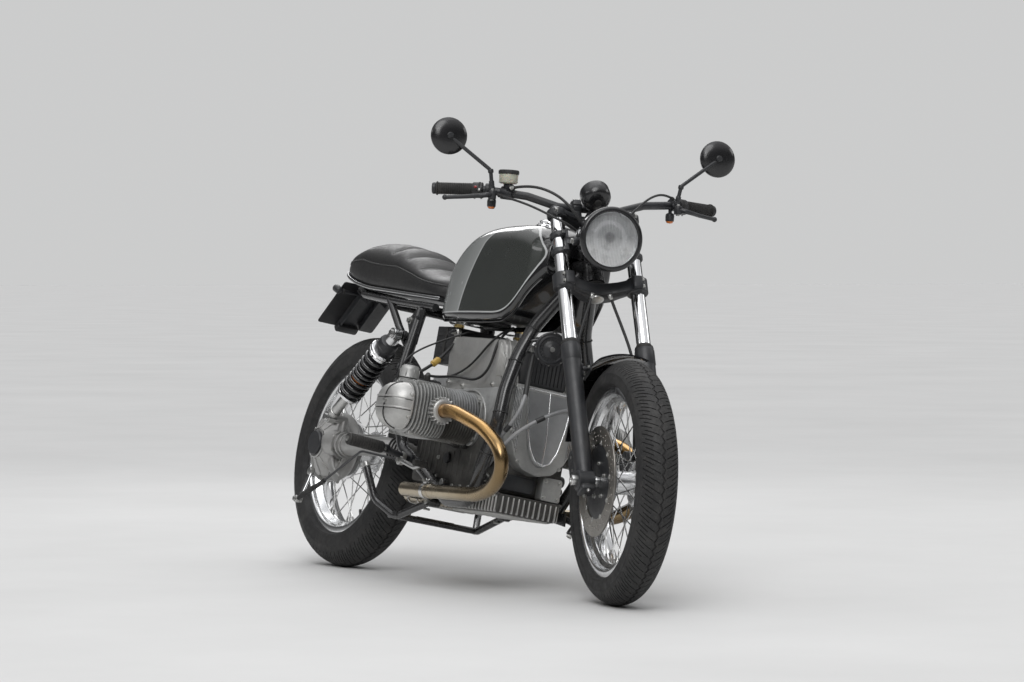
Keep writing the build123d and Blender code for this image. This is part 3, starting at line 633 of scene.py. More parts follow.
M["zinc"] = surface("zinc_plate", (0.40, 0.40, 0.39), (0.56, 0.56, 0.54), (0.24, 0.42), 1.0, 30.0, 0.12, 1600)
M["steel"] = surface("bare_steel", (0.42, 0.42, 0.41), (0.58, 0.58, 0.57), (0.24, 0.40), 1.0, 20.0, 0.10, 1500)
M["brass"] = surface("brass", (0.55, 0.40, 0.16), (0.70, 0.52, 0.22), (0.22, 0.36), 1.0, 20.0, 0.10, 1500)
M["orange"] = surface("amber_lens", (0.55, 0.13, 0.01), (0.75, 0.20, 0.015), (0.10, 0.20), 0.0, 25.0, 0.0, coat=0.8)
M["red"] = surface("red_lens", (0.20, 0.006, 0.006), (0.30, 0.010, 0.010), (0.08, 0.18), 0.0, 25.0, 0.0, coat=0.8)
M["band"] = surface("orange_band", (0.50, 0.16, 0.04), (0.66, 0.24, 0.07), (0.35, 0.50), 0.0, 25.0, 0.1, 1200)
M["yellow"] = surface("fuel_filter_paper", (0.42, 0.27, 0.05), (0.58, 0.38, 0.09), (0.35, 0.50), 0.0, 30.0, 0.2, 900)
M["disc"] = surface("brake_disc", (0.26, 0.245, 0.225), (0.42, 0.40, 0.37), (0.26, 0.40), 1.0, 14.0, 0.12, 1500)
M["grey_hose"] = surface("grey_breather_hose", (0.20, 0.205, 0.21), (0.32, 0.32, 0.325), (0.45, 0.60), 0.1, 20.0, 0.25, 1200)
M["mirror"] = surface("mirror_glass", (0.80, 0.81, 0.82), (0.84, 0.85, 0.86), (0.01, 0.03), 1.0, 4.0, 0.0)
M["white"] = surface("dial_white", (0.60, 0.60, 0.58), (0.70, 0.70, 0.68), (0.4, 0.5), 0.0, 10.0, 0.0)
M["reflector"] = surface("reflector_bowl", (0.74, 0.75, 0.76), (0.86, 0.86, 0.87), (0.06, 0.14), 1.0, 6.0, 0.0)


def tyre_material():
    n = Nodes("tyre_rubber").set(spec=0.32)
    cloud = n.noise(7.0, 6.0, 0.65)
    colour = n.mix(n.range(cloud, 0.35, 0.72), (0.016, 0.016, 0.0165), (0.036, 0.0355, 0.035))
    # lighter speckle only on the raised tread faces, with the grooves left dark: partly painted highlight, partly
    # scuffing
    tread_top = n.attribute("tread")
    speck = n.range(n.noise(260.0, 4.0, 0.7), 0.5, 0.68, 0.0, 0.55)
    colour = n.mix(n.math("MULTIPLY", speck, tread_top), colour, (0.075, 0.073, 0.070))
    dirt = n.range(n.noise(22.0, 5.0, 0.7), 0.52, 0.8, 0.0, 0.22)
    colour = n.mix(dirt, colour, (0.12, 0.11, 0.10))
    rough = n.range(n.noise(60.0, 5.0, 0.6), 0.3, 0.7, 0.55, 0.80)
    normal = n.bump(n.noise(1500.0, 3.0, 0.6), 0.0003, 0.35)
    return n.finish(colour, rough, normal)


def leather_material():
    n = Nodes("black_leather").set(spec=0.5, coat=0.12, coat_rough=0.35)
    tone = n.noise(9.0, 5.0, 0.6)
    colour = n.mix(n.range(tone, 0.3, 0.75), (0.010, 0.010, 0.0105), (0.022, 0.0215, 0.021))
    # painted highlight: the upward-facing top of the seat is made lighter than its sides
    ridge = n.attribute("crown")
    colour = n.mix(n.math("MULTIPLY", ridge, 0.35), colour, (0.040, 0.039, 0.038))
    cell = n.voronoi(620.0, "SMOOTH_F1")
    crease = n.voronoi(260.0, "DISTANCE_TO_EDGE")
    rough = n.range(n.noise(90.0, 5.0, 0.6), 0.3, 0.7, 0.34, 0.52)
    normal = n.bump(cell, 0.0005, 0.45)
    normal = n.bump(n.range(crease, 0.0, 0.12), 0.0003, 0.25, normal)
    normal = n.bump(n.noise(30.0, 4.0, 0.6), 0.002, 0.25, normal)
    return n.finish(colour, rough, normal)


def header_material():
    """Stainless pipe with heat colour: bronze near the port, paler towards the silencer."""
    n = Nodes("header_pipe").set(metal=1.0)
    along = n.attribute("along")
    waver = n.math("ADD", along, n.range(n.noise(7.0, 4.0, 0.6), 0.3, 0.7, -0.04, 0.04))
    ramp = n.t.nodes.new("ShaderNodeValToRGB")
    stops = ((0.00, (0.34, 0.19, 0.08)), (0.08, (0.60, 0.36, 0.13)), (0.24, (0.56, 0.34, 0.13)), (0.38, (0.24, 0.165, 0.085)),
             (0.52, (0.32, 0.245, 0.145)), (0.72, (0.48, 0.41, 0.30)), (1.00, (0.44, 0.39, 0.31)))
    ramp.color_ramp.elements.remove(ramp.color_ramp.elements[0])
    for k, (at, c) in enumerate(stops):
        e = ramp.color_ramp.elements[0] if k == 0 else ramp.color_ramp.elements.new(at)
        e.position = at
        e.color = (*c, 1.0)
    n.link(waver, ramp.inputs[0])
    stain = n.range(n.noise(16.0, 6.0, 0.65), 0.5, 0.78, 0.0, 0.22)
    colour = n.mix(stain, ramp.outputs[0], (0.22, 0.175, 0.12))
    rough = n.range(n.noise(24.0, 4.0, 0.55), 0.3, 0.7, 0.20, 0.30)
    return n.finish(colour, rough, n.bump(n.noise(800.0, 3.0, 0.6), 0.0003, 0.12))


def clear_material():
    n = Nodes("headlight_glass").set(trans=1.0, ior=1.50, base=(0.97, 0.98, 0.98), spec=0.5)
    rough = n.range(n.noise(40.0, 3.0, 0.5), 0.3, 0.7, 0.0, 0.03)
    return n.finish(None, rough, n.bump(n.noise(60.0, 2.0, 0.5), 0.0004, 0.15))


def cup_material():
    n = Nodes("reservoir_cup").set(trans=0.35, ior=1.45, subsurface=0.15)
    colour = n.mix(n.range(n.noise(30.0, 4.0, 0.6), 0.35, 0.7), (0.62, 0.59, 0.48), (0.74, 0.72, 0.63))
    return n.finish(colour, n.range(n.noise(90.0, 4.0, 0.6), 0.3, 0.7, 0.22, 0.36), n.bump(n.noise(500.0, 2.0, 0.5), 0.0003, 0.1))


def plate_material():
    n = Nodes("blank_plate").set(coat=0.3, coat_rough=0.2)
    colour = n.mix(n.range(n.noise(11.0, 6.0, 0.65), 0.3, 0.75), (0.055, 0.062, 0.058), (0.105, 0.112, 0.104))
    return n.finish(colour, n.range(n.noise(35.0, 5.0, 0.6), 0.3, 0.7, 0.26, 0.44), n.bump(n.noise(600.0, 3.0, 0.6), 0.0003, 0.15))


def case_material(name, pale_low, pale_high, shade_grime_low, shade_grime_high, rough):
    """Castings pale on top and darker lower down: the darkening by height is painted shade, mixed with oil and road
    dirt.
    """
    n = Nodes(name).set(metal=0.55)
    clean = n.mix(n.range(n.noise(8.0, 5.0, 0.6), 0.32, 0.74), pale_low, pale_high)
    shade_and_grime = n.mix(n.range(n.noise(16.0, 6.0, 0.7), 0.35, 0.72), shade_grime_low, shade_grime_high)
    # painted shade: below about half a metre the colour turns dark, standing in for the shade under the cylinders, with
    # some grime in it
    height = n.math("ADD", n.attribute("bike_z"), n.range(n.noise(11.0, 6.0, 0.7), 0.3, 0.7, -0.035, 0.035))
    colour = n.mix(n.range(height, 0.405, 0.500), shade_and_grime, clean)
    spots = n.range(n.noise(55.0, 6.0, 0.7), 0.50, 0.72, 0.0, 0.30)
    colour = n.mix(spots, colour, (0.10, 0.095, 0.085))
    normal = n.bump(n.voronoi(900.0, "SMOOTH_F1"), 0.0004, 0.20)
    normal = n.bump(n.noise(1300.0, 3.0, 0.6), 0.0004, 0.40, normal)
    return n.finish(colour, n.range(n.noise(40.0, 6.0, 0.65), 0.3, 0.72, rough[0], rough[1]), normal)


# the dark low colours given here are painted shade mixed with grime, on the crankcase and on the barrel fins
M["case"] = case_material("crankcase", (0.36, 0.365, 0.365), (0.50, 0.505, 0.50), (0.050, 0.049, 0.046), (0.13, 0.127, 0.12), (0.42, 0.58))
M["barrel"] = case_material("barrel_fins", (0.30, 0.305, 0.31), (0.46, 0.465, 0.47), (0.085, 0.082, 0.074), (0.20, 0.195, 0.18), (0.40, 0.56))
M["shield"] = surface("front_shield", (0.30, 0.305, 0.31), (0.40, 0.405, 0.41), (0.34, 0.48), 0.8, 6.0, 0.35, 1400, cells=0.15, cell_scale=900, dust=0.10)
M["arm_pale"] = surface("housing_silver", (0.28, 0.28, 0.275), (0.42, 0.415, 0.405), (0.34, 0.50), 0.55, 7.0, 0.25, 1300, dust=0.25, dust_colour=(0.16, 0.15, 0.135))
# dark casting whose darkness is painted shade, for the cores between the cylinder fins and the swingarm pivot; the dust
# in it is real
M["painted_shade_cast"] = surface("painted_shade_cast", (0.06, 0.06, 0.058), (0.13, 0.128, 0.12), (0.42, 0.60), 0.4, 9.0, 0.35, 1200, dust=0.15)
M["spring"] = surface("spring_gloss_black", (0.006, 0.006, 0.007), (0.014, 0.014, 0.015), (0.10, 0.18), 0.0, 12.0, 0.05, 900, coat=0.9, coat_rough=0.05)
M["shell"] = surface("painted_shell", (0.007, 0.007, 0.008), (0.013, 0.013, 0.014), (0.20, 0.30), 0.0, 7.0, 0.05, 900, coat=0.35, coat_rough=0.16, waves=0.02)


def flute_material():
    """Pressed lamp glass coloured with painted reflection: the bright bowl painted in brighter low down, grey higher
    up, with painted shade lines, a dark middle and a bright ring.
    """
    n = Nodes("fluted_glass_painted_reflection").set(metal=0.10, coat=0.8, coat_rough=0.05)
    # painted reflection: the bright bowl painted in as near-white glass low down, grey higher up
    low = n.range(n.math("ADD", n.attribute("bike_z"), n.range(n.noise(22.0, 3.0, 0.6), 0.3, 0.7, -0.010, 0.010)), 0.925, 0.965)
    colour = n.mix(low, (0.93, 0.93, 0.93), (0.56, 0.565, 0.575))
    # painted reflection: darker grey patches over the glass
    colour = n.mix(n.range(n.noise(34.0, 5.0, 0.7), 0.52, 0.74, 0.0, 0.5), colour, (0.24, 0.24, 0.245))
    # painted shade lines running up the flutes
    lines = n.math("SINE", n.math("MULTIPLY", n.attribute("bike_y"), 1500.0))
    colour = n.mix(n.range(lines, 0.1, 0.9, 0.0, 0.38), colour, (0.26, 0.262, 0.27))
    # painted shade: a dark patch in the middle where the bulb sits
    across = n.math("SUBTRACT", n.attribute("bike_y"), -0.006)
    above = n.math("SUBTRACT", n.attribute("bike_z"), 0.957)
    middle = n.math("SQRT", n.math("ADD", n.math("MULTIPLY", across, across), n.math("MULTIPLY", above, above)))
    colour = n.mix(n.range(middle, 0.010, 0.017, 0.55, 0.0), colour, (0.16, 0.16, 0.165))
    # painted highlight: a bright ring 40 mm out from the middle
    colour = n.mix(n.range(n.math("ABSOLUTE", n.math("SUBTRACT", middle, 0.040)), 0.003, 0.008, 0.45, 0.0), colour, (0.86, 0.865, 0.875))
    return n.finish(colour, n.range(n.noise(50.0, 4.0, 0.6), 0.3, 0.7, 0.16, 0.30), n.bump(n.noise(260.0, 2.0, 0.5), 0.0005, 0.25))


M["flute"] = flute_material()
M["tyre"] = tyre_material()
M["leather"] = leather_material()
M["header"] = header_material()
M["glass"] = clear_material()
M["cup"] = cup_material()
M["plate"] = plate_material()


# ------------------------------------------------------------------ camera, lights and floor
# the camera was solved on the upright drawing's floor, before the model was centred
rear = np.array(joint["rear_wheel"]["pos_m"])
PITCH = -0.12029
LEAN = 11.6663
lean_m = Matrix.Rotation(math.radians(-LEAN), 3, "X") @ Matrix.Rotation(math.radians(PITCH), 3, "Y")
world_rear = np.array(lean_m @ Vector((0, 0, REAR_R))) + np.array((0, 0, RISE))
SHIFT = Vector((rear[0] - world_rear[0] / 1000, rear[1] - world_rear[1] / 1000, 0))
CAM_AT = Vector((9.40826, -4.97409, 0.86867)) + SHIFT
CAM_TO = Vector((0.975755, 0.0, 0.672231)) + SHIFT
look = (CAM_TO - CAM_AT).normalized()
cam_data = bpy.data.cameras.new("camera")
cam = bpy.data.objects.new("camera", cam_data)
bpy.context.scene.collection.objects.link(cam)
quat = look.to_track_quat("-Z", "Y")
cam.rotation_mode = "QUATERNION"
cam.rotation_quaternion = quat @ Matrix.Rotation(math.radians(0.055), 3, "Z").to_quaternion()
cam.location = CAM_AT
cam_data.lens = 128.84
cam_data.sensor_width = 36.0
cam_data.clip_start, cam_data.clip_end = 0.1, 200.0
bpy.context.scene.camera = cam


def area_light(name, at, to, size, power, colour=(1.0, 1.0, 1.0)):
    data = bpy.data.lights.new(name, "AREA")
    data.shape = "RECTANGLE"
    data.size, data.size_y = size
    data.energy = power
    data.color = colour
    ob = bpy.data.objects.new(name, data)
    ob.location = Vector(at)
    ob.rotation_mode = "QUATERNION"
    ob.rotation_quaternion = (Vector(to) - Vector(at)).to_track_quat("-Z", "Y")
    bpy.context.scene.collection.objects.link(ob)
    ob.visible_camera = False
    return ob


area_light("overhead", (0.2, -0.4, 4.4), (0.0, 0.0, 0.5), (3.6, 2.2), 16)
area_light("key_front", (4.4, -3.0, 3.6), (0.1, 0.0, 0.6), (1.8, 1.8), 34)
area_light("side_right", (-0.6, -4.6, 3.4), (0.0, 0.0, 0.5), (3.2, 0.8), 16)
area_light("rear_rim", (-4.2, 1.6, 3.2), (0.0, 0.0, 0.6), (1.8, 1.4), 24)
area_light("fill_left", (1.2, 4.8, 3.2), (0.0, 0.0, 0.6), (3.2, 1.2), 20)
for sun_name, sun_from, sun_power in (("soft_sky_front", (3.4, -2.6, 5.0), 1.25), ("soft_sky_rear", (-3.0, 1.8, 5.0), 0.45)):
    sun_data = bpy.data.lights.new(sun_name, "SUN")
    sun_data.energy = sun_power
    sun_data.angle = math.radians(42)
    sun = bpy.data.objects.new(sun_name, sun_data)
    sun.rotation_mode = "QUATERNION"
    sun.rotation_quaternion = (-Vector(sun_from)).to_track_quat("-Z", "Y")
    bpy.context.scene.collection.objects.link(sun)

scene_world = bpy.data.worlds.new("studio")
bpy.context.scene.world = scene_world
scene_world.use_nodes = True
wt = scene_world.node_tree
wt.nodes.clear()
w_out = wt.nodes.new("ShaderNodeOutputWorld")
w_bg = wt.nodes.new("ShaderNodeBackground")
w_ramp = wt.nodes.new("ShaderNodeValToRGB")
w_sep = wt.nodes.new("ShaderNodeSeparateXYZ")
w_coord = wt.nodes.new("ShaderNodeTexCoord")
w_map = wt.nodes.new("ShaderNodeMapRange")
w_map.inputs["From Min"].default_value = -1.0
w_map.inputs["From Max"].default_value = 1.0
wt.links.new(w_coord.outputs["Generated"], w_sep.inputs[0])
wt.links.new(w_sep.outputs["Z"], w_map.inputs["Value"])
wt.links.new(w_map.outputs[0], w_ramp.inputs[0])
wt.links.new(w_ramp.outputs[0], w_bg.inputs[0])
# what the camera sees past the floor is one flat tone that carries the floor on
w_back = wt.nodes.new("ShaderNodeBackground")
w_back.inputs["Color"].default_value = (0.602, 0.605, 0.605, 1)
w_path = wt.nodes.new("ShaderNodeLightPath")
w_mix = wt.nodes.new("ShaderNodeMixShader")
wt.links.new(w_path.outputs["Is Camera Ray"], w_mix.inputs[0])
wt.links.new(w_bg.outputs[0], w_mix.inputs[1])
wt.links.new(w_back.outputs[0], w_mix.inputs[2])
wt.links.new(w_mix.outputs[0], w_out.inputs[0])
elements = w_ramp.color_ramp.elements
elements[0].position, elements[0].color = 0.0, (0.30, 0.30, 0.30, 1)
elements[1].position, elements[1].color = 1.0, (0.86, 0.87, 0.90, 1)
for at, c in ((0.48, 0.30), (0.50, 0.34), (0.535, 0.22), (0.58, 0.075), (0.70, 0.10), (0.80, 0.52), (0.90, 0.80)):
    e = elements.new(at)
    e.color = (c, c, c * 1.01, 1)
w_bg.inputs["Strength"].default_value = 1.0
bpy.context.scene.view_settings.view_transform = "Standard"
bpy.context.scene.view_settings.look = "None"


def floor_material():
    n = Nodes("studio_floor").set(spec=0.12)
    colour = n.mix(n.range(n.noise(0.8, 5.0, 0.6), 0.3, 0.7), (0.60, 0.60, 0.595), (0.65, 0.65, 0.645))
    return n.finish(colour, n.range(n.noise(5.0, 5.0, 0.6), 0.3, 0.7, 0.72, 0.86), n.bump(n.noise(120.0, 4.0, 0.6), 0.0005, 0.10))


floor_mesh = bpy.data.meshes.new("floor")
floor_mesh.from_pydata([(-150.0, -150.0, 0.0), (150.0, -150.0, 0.0), (150.0, 150.0, 0.0), (-150.0, 150.0, 0.0)], [], [(0, 1, 2, 3)])
floor_mesh.materials.append(floor_material())
floor = bpy.data.objects.new("floor", floor_mesh)
bpy.context.scene.collection.objects.link(floor)


# ------------------------------------------------------------------ wheels
def cut_plate(loops, origin, u, w, thick, soft=0.4):
    """A flat plate with holes: the first loop is the outline, the rest are holes. Thickness is centred on the origin."""
    data = bpy.data.curves.new("cut", "CURVE")
    data.dimensions = "2D"
    data.fill_mode = "BOTH"
    data.extrude = max(0.01, thick / 2 - soft)
    data.bevel_depth = soft
    data.bevel_resolution = 1
    for loop in loops:
        s = data.splines.new("POLY")
        s.points.add(len(loop) - 1)
        for p, q in zip(s.points, loop):
            p.co = (q[0], q[1], 0, 1)
        s.use_cyclic_u = True
    ob = bpy.data.objects.new("cut", data)
    bpy.context.scene.collection.objects.link(ob)
    bpy.context.view_layer.update()
    me = bpy.data.meshes.new_from_object(ob)
    co = np.array([v.co[:] for v in me.vertices])
    f = [tuple(p.vertices) for p in me.polygons]
    bpy.data.objects.remove(ob)
    bpy.data.curves.remove(data)
    bpy.data.meshes.remove(me)
    u, w = unit(u), unit(w)
    n = np.cross(u, w)
    return vec(origin) + co[:, :1] * u + co[:, 1:2] * w + co[:, 2:3] * n, f


def hole(x, y, r, n=12):
    return [(x + r * math.cos(2 * math.pi * i / n), y + r * math.sin(2 * math.pi * i / n)) for i in range(n)]


def tyre(name, body, x, radius, width, rim_half, pitches, turns, along):
    core, half = radius - width / 2, width / 2
    k = width / 105.5
    seat = rim_half - 3.7
    pitch = 2 * math.pi * radius / pitches
    columns = [0.0, 0.5, 2.5, 3.0, 7.5, 12.5, 13.0, 15.0, 15.5, 20.5]
    columns = [c * pitch / 25.0 for c in columns]
    nc = len(columns)

    # rows across the tyre on one side: distance from the middle, and what it is
    rows = [(2.0, "floor"), (2.7, "land"), (7.5, "land"), (8.2, "a"), (17, "a"), (25, "a"), (25.7, "ab"), (33, "ab"), (40, "ab"),
            (46, "ab"), (46.8, "b"), (52, "b"), (56, "b"), (56.8, "land"), (60, "land")]
    grid, tread = [], []
    total = pitches * nc
    for i in range(total):
        c = i % nc
        u0 = (i // nc) * pitch + columns[c]
        phase = (u0 / pitch * 2) % 2.0
        zig = 3.4 * k * (1 - 2 * abs(phase - 1))
        ring, mark = [], []

        def at(v, depth, off=0.0, raised=0.0):
            phi = v / half
            rr = half - depth + raised
            shear = 0.55 * max(0.0, min(abs(v), 60 * k) - 2.7) * along
            th = (u0 + shear + off) / radius
            y, r = rr * math.sin(phi), core + rr * math.cos(phi)
            ring.append((x + r * math.cos(th), y, radius + r * math.sin(th)))

        side_rows = {}
        for side in (-1, 1):
            long_groove = c in (1, 2) if side < 0 else c in (6, 7)
            short_groove = c in (6, 7) if side < 0 else c in (1, 2)
            side_rows[side] = []
            for v, kind in rows:
                d = 0.0
                if kind == "floor":
                    d = 3.0
                elif (kind in ("a", "ab") and long_groove) or (kind in ("ab", "b") and short_groove):
                    d = 2.8
                vv = side * v * k + (zig if v < 3 else zig * 0.35 if v < 8 else 0.0)
                side_rows[side].append((vv, d))
        # bead to bead: lower left side up over the crown to the right side
        wall = [(66, 0.0, 0.7), (67, 0.0, 0.0), (76, 0.0, 0.0), (84, 0.0, 0.0), (88, 0.0, 0.6), (90, 0.0, 0.9), (92, 0.0, 0.5), (94.5, 0.0, 0.0)]
        edge = math.acos((250.3 - core) / half) * half
        wall = [(v / 95.7 * edge, d, raised) for v, d, raised in wall]
        low = [(seat - 4, 231.0), (seat + 0.2, 233.0), (seat + 1.2, 243.0), (seat + 4.4, 246.0), (seat + 6.0, 247.6)]
        th0 = (u0 + 0.55 * 57.3 * k * along) / radius
        for y, r in low:
            ring.append((x + r * math.cos(th0), -y, radius + r * math.sin(th0)))
            mark.append(0.0)
        for v, d, raised in reversed(wall):
            at(-v, d, 0, raised)
            mark.append(0.0)
        for vv, d in reversed(side_rows[-1]):
            at(vv, d)
            mark.append(0.0 if d else 1.0)
        for vv, d in side_rows[1]:
            at(vv, d)
            mark.append(0.0 if d else 1.0)
        for v, d, raised in wall:
            at(v, d, 0, raised)
            mark.append(0.0)
        for y, r in reversed(low):
            ring.append((x + r * math.cos(th0), y, radius + r * math.sin(th0)))
            mark.append(0.0)
        grid.append(np.array(ring))
        tread += mark
    p = Piece(name + "_detail", body, "tyre", turns)
    p.add(loop_rings(grid, closed=False), M["tyre"], field={"tread": tread})
    p.done(name, angle=38)


def rim_profile(half):
    side = [(-half, 243.6), (-half + 0.5, 245.0), (-half + 1.8, 245.6), (-half + 3.2, 245.0), (-half + 3.6, 243.4), (-half + 3.7, 231.6),
            (-half + 5.2, 229.6), (-half + 17, 229.0), (-15.5, 215.0), (-12, 213.8)]
    under = [(half, 232.0), (half - 0.3, 229.0), (half - 1.6, 226.8), (half - 4.5, 225.2), (half - 12, 223.6), (half - 17, 222.0), (17.5, 210.2),
             (14, 208.4), (7, 207.6)]
    top = side + [(-y, r) for y, r in reversed(side)]
    bottom = under + [(-y, r) for y, r in reversed(under)]
    return top + bottom


def ring_lathe(section, x, radius, n=144):
    rings = []
    for i in range(n):
        t = 2 * math.pi * i / n
        rings.append(np.array([(x + r * math.cos(t), y, radius + r * math.sin(t)) for y, r in section]))
    return loop_rings(rings)


def rim(name, body, x, radius, half, turns):
    p = Piece(name + "_detail", body, "rim", turns)
    p.add(ring_lathe(rim_profile(half), x, radius), M["alloy"])
    a = math.radians(-72)
    inward = vec(math.cos(a), 0, math.sin(a))
    o = vec(x, 0, radius) + inward * 209.0
    p.add(rod(o, o - inward * 24, 3.6, 12, soft=0.6), M["rubber"])
    p.add(rod(o - inward * 24, o - inward * 33, 4.2, 12, soft=0.8), M["plastic"])
    p.add(hexagon(o - inward * 1.0, -inward, 11, 4.0), M["zinc"])
    p.done(name, angle=35)


def spokes(piece, x, radius, flange_r, rim_r, table, count=10):
    for flange_y, rim_y, start, lead in table:
        for i in range(count):
            a = math.radians(start + 360.0 / count * i)
            b = a + math.radians(lead)
            f0 = vec(x + flange_r * math.cos(a), flange_y, radius + flange_r * math.sin(a))
            r0 = vec(x + rim_r * math.cos(b), rim_y, radius + rim_r * math.sin(b))
            d = unit(r0 - f0)
            side = 1 if flange_y > 0 else -1
            piece.add(tube([f0 - vec(0, side * 3.5, 0) * (1 if lead > 0 else -1), f0, f0 + d * 8, r0 + d * 1.0], 1.75, 2.4, n=8, step=22), M["stainless"])
            piece.add(lathe([(0, 0), (0.0, 2.8), (1.4, 3.2), (2.0, 2.4), (2.6, 0)], f0 - vec(0, side * 3.5, 0) * (1 if lead > 0 else -1),
                            -vec(0, side, 0) * (1 if lead > 0 else -1), 10), M["stainless"])
            piece.add(lathe([(-15, 0), (-15, 2.3), (-14, 2.9), (-5, 3.1), (-3, 4.0), (0.5, 4.3), (1.5, 0)], r0, d, 8), M["steel"])


def front_wheel_pieces():
    x, radius = WHEELBASE, FRONT_R
    tyre("front_tyre", "front_wheel", x, radius, FRONT_W, 40.0, 80, True, 1)
    rim("front_rim", "front_wheel", x, radius, 40.0, True)
    p = Piece("front_hub_detail", "front_wheel", "spokes", True)
    p.add(lathe([(-60, 9), (-60, 25.5), (-58.5, 27), (-45.5, 29.5), (-43.6, 33), (-41, 55), (-39.5, 58.8), (-37, 61.4), (-33.5, 61.8), (-31, 59),
                 (-29.4, 54), (-28, 36), (-24, 32.4), (-8, 30.6), (8, 30.6), (24, 32.4), (28, 36), (29.4, 54), (31, 59), (33.5, 61.8), (37, 61.4),
                 (39.5, 58.8), (41, 55), (43.6, 33), (45.5, 29.5), (58.5, 27), (60, 25.5), (60, 9)], (x, 0, radius), (0, 1, 0), 72), M["alloy"])
    spokes(p, x, radius, 55.0, 209.2, [(-35, -9, 0, 36), (-35, -9, 18, -36), (35, 9, 9, 36), (35, 9, 27, -36)])
    p.done("front_hub_and_spokes", angle=30)
    d = Piece("front_discs_detail", "front_wheel", "disc", True)
    for side in (-1, 1):
        holes = []
        for i in range(36):
            a = math.radians(10 * i)
            for rr, off in ((107.0, 0.0), (118.5, 3.3), (130.0, 6.6)):
                if (i + int(rr)) % 1 == 0 and i % 2 == 0 or rr == 118.5 and i % 2 == 1:
                    t = a + math.radians(off)
                    holes.append(hole(rr * math.cos(t), rr * math.sin(t), 3.3, 10))
        loops = [hole(0, 0, DISC_OUT, 96), hole(0, 0, 98.0, 72)] + holes
        d.add(cut_plate(loops, (x, side * 68.0, radius), (1, 0, 0), (0, 0, 1), 4.6, 0.4), M["disc"], smooth=False)
        d.add(lathe([(60, 15), (60, 66), (61, 70), (63.2, 97), (64.5, 103.4), (65.8, 104.0), (66.0, 99.5), (67.0, 95.5), (66.6, 72), (64.8, 40), (64.2, 15)]
                    if side > 0 else
                    [(-60, 15), (-60, 66), (-61, 70), (-63.2, 97), (-64.5, 103.4), (-65.8, 104.0), (-66.0, 99.5), (-67.0, 95.5), (-66.6, 72), (-64.8, 40), (-64.2, 15)],
                    (x, 0, radius), (0, 1, 0), 72), M["satin"])
        for i in range(10):
            t = math.radians(36 * i + 8)
            o = vec(x + 99.5 * math.cos(t), side * 64.0, radius + 99.5 * math.sin(t))
            d.add(lathe([(0, 0), (0, 6.6), (6.6, 6.6), (7.4, 5.8), (7.4, 2.6), (6.2, 2.4), (6.2, 0)], o, (0, side, 0), 18), M["zinc"])
        for i in range(5):
            t = math.radians(72 * i + 20)
            o = vec(x + 46 * math.cos(t), side * 64.4, radius + 46 * math.sin(t))
            d.add(bolt(o, (0, side, 0), 5.0, 5.0, socket=True), M["zinc"])
    d.done("front_brake_discs", angle=30)


def rear_wheel_pieces():
    tyre("rear_tyre", "rear_wheel", 0.0, REAR_R, REAR_W, 44.0, 84, False, 1)
    rim("rear_rim", "rear_wheel", 0.0, REAR_R, 44.0, False)
    p = Piece("rear_hub_detail", "rear_wheel", "spokes", False)
    p.add(lathe([(-52, 10.2), (-52, 73), (-51, 74), (-46, 84), (-43.5, 87.6), (-37, 87.6), (-35, 84), (-32.6, 61), (-28, 55), (10, 46), (29, 43), (32.5, 62),
                 (34.5, 65.6), (39.5, 65.6), (41.5, 62), (43.6, 36), (46, 33.5), (60, 27.4), (62, 26), (62, 10.2)], (0, 0, REAR_R), (0, 1, 0), 72),
          M["alloy"])
    for i in range(5):
        t = math.radians(72 * i)
        p.add(bolt((48 * math.cos(t) * 0.6, 46.0, REAR_R + 48 * math.sin(t) * 0.6), (0, 1, 0), 5.5, 5.0), M["zinc"])
    spokes(p, 0.0, REAR_R, 62.0, 209.2, [(37, 9, 9, 36), (37, 9, 27, -36)])
    spokes(p, 0.0, REAR_R, 82.0, 209.2, [(-40, -9, 0, 30), (-40, -9, 18, -30)])
    p.done("rear_hub_and_spokes", angle=30)


DISC_OUT = 142.1
front_wheel_pieces()
rear_wheel_pieces()


# ------------------------------------------------------------------ front fork, bar and lamp
LOWER_YOKE, UPPER_YOKE = 590.0, 797.0


def leg(side, up, ahead=LEG_AHEAD):
    return fork(ahead, side * LEG_HALF, up)


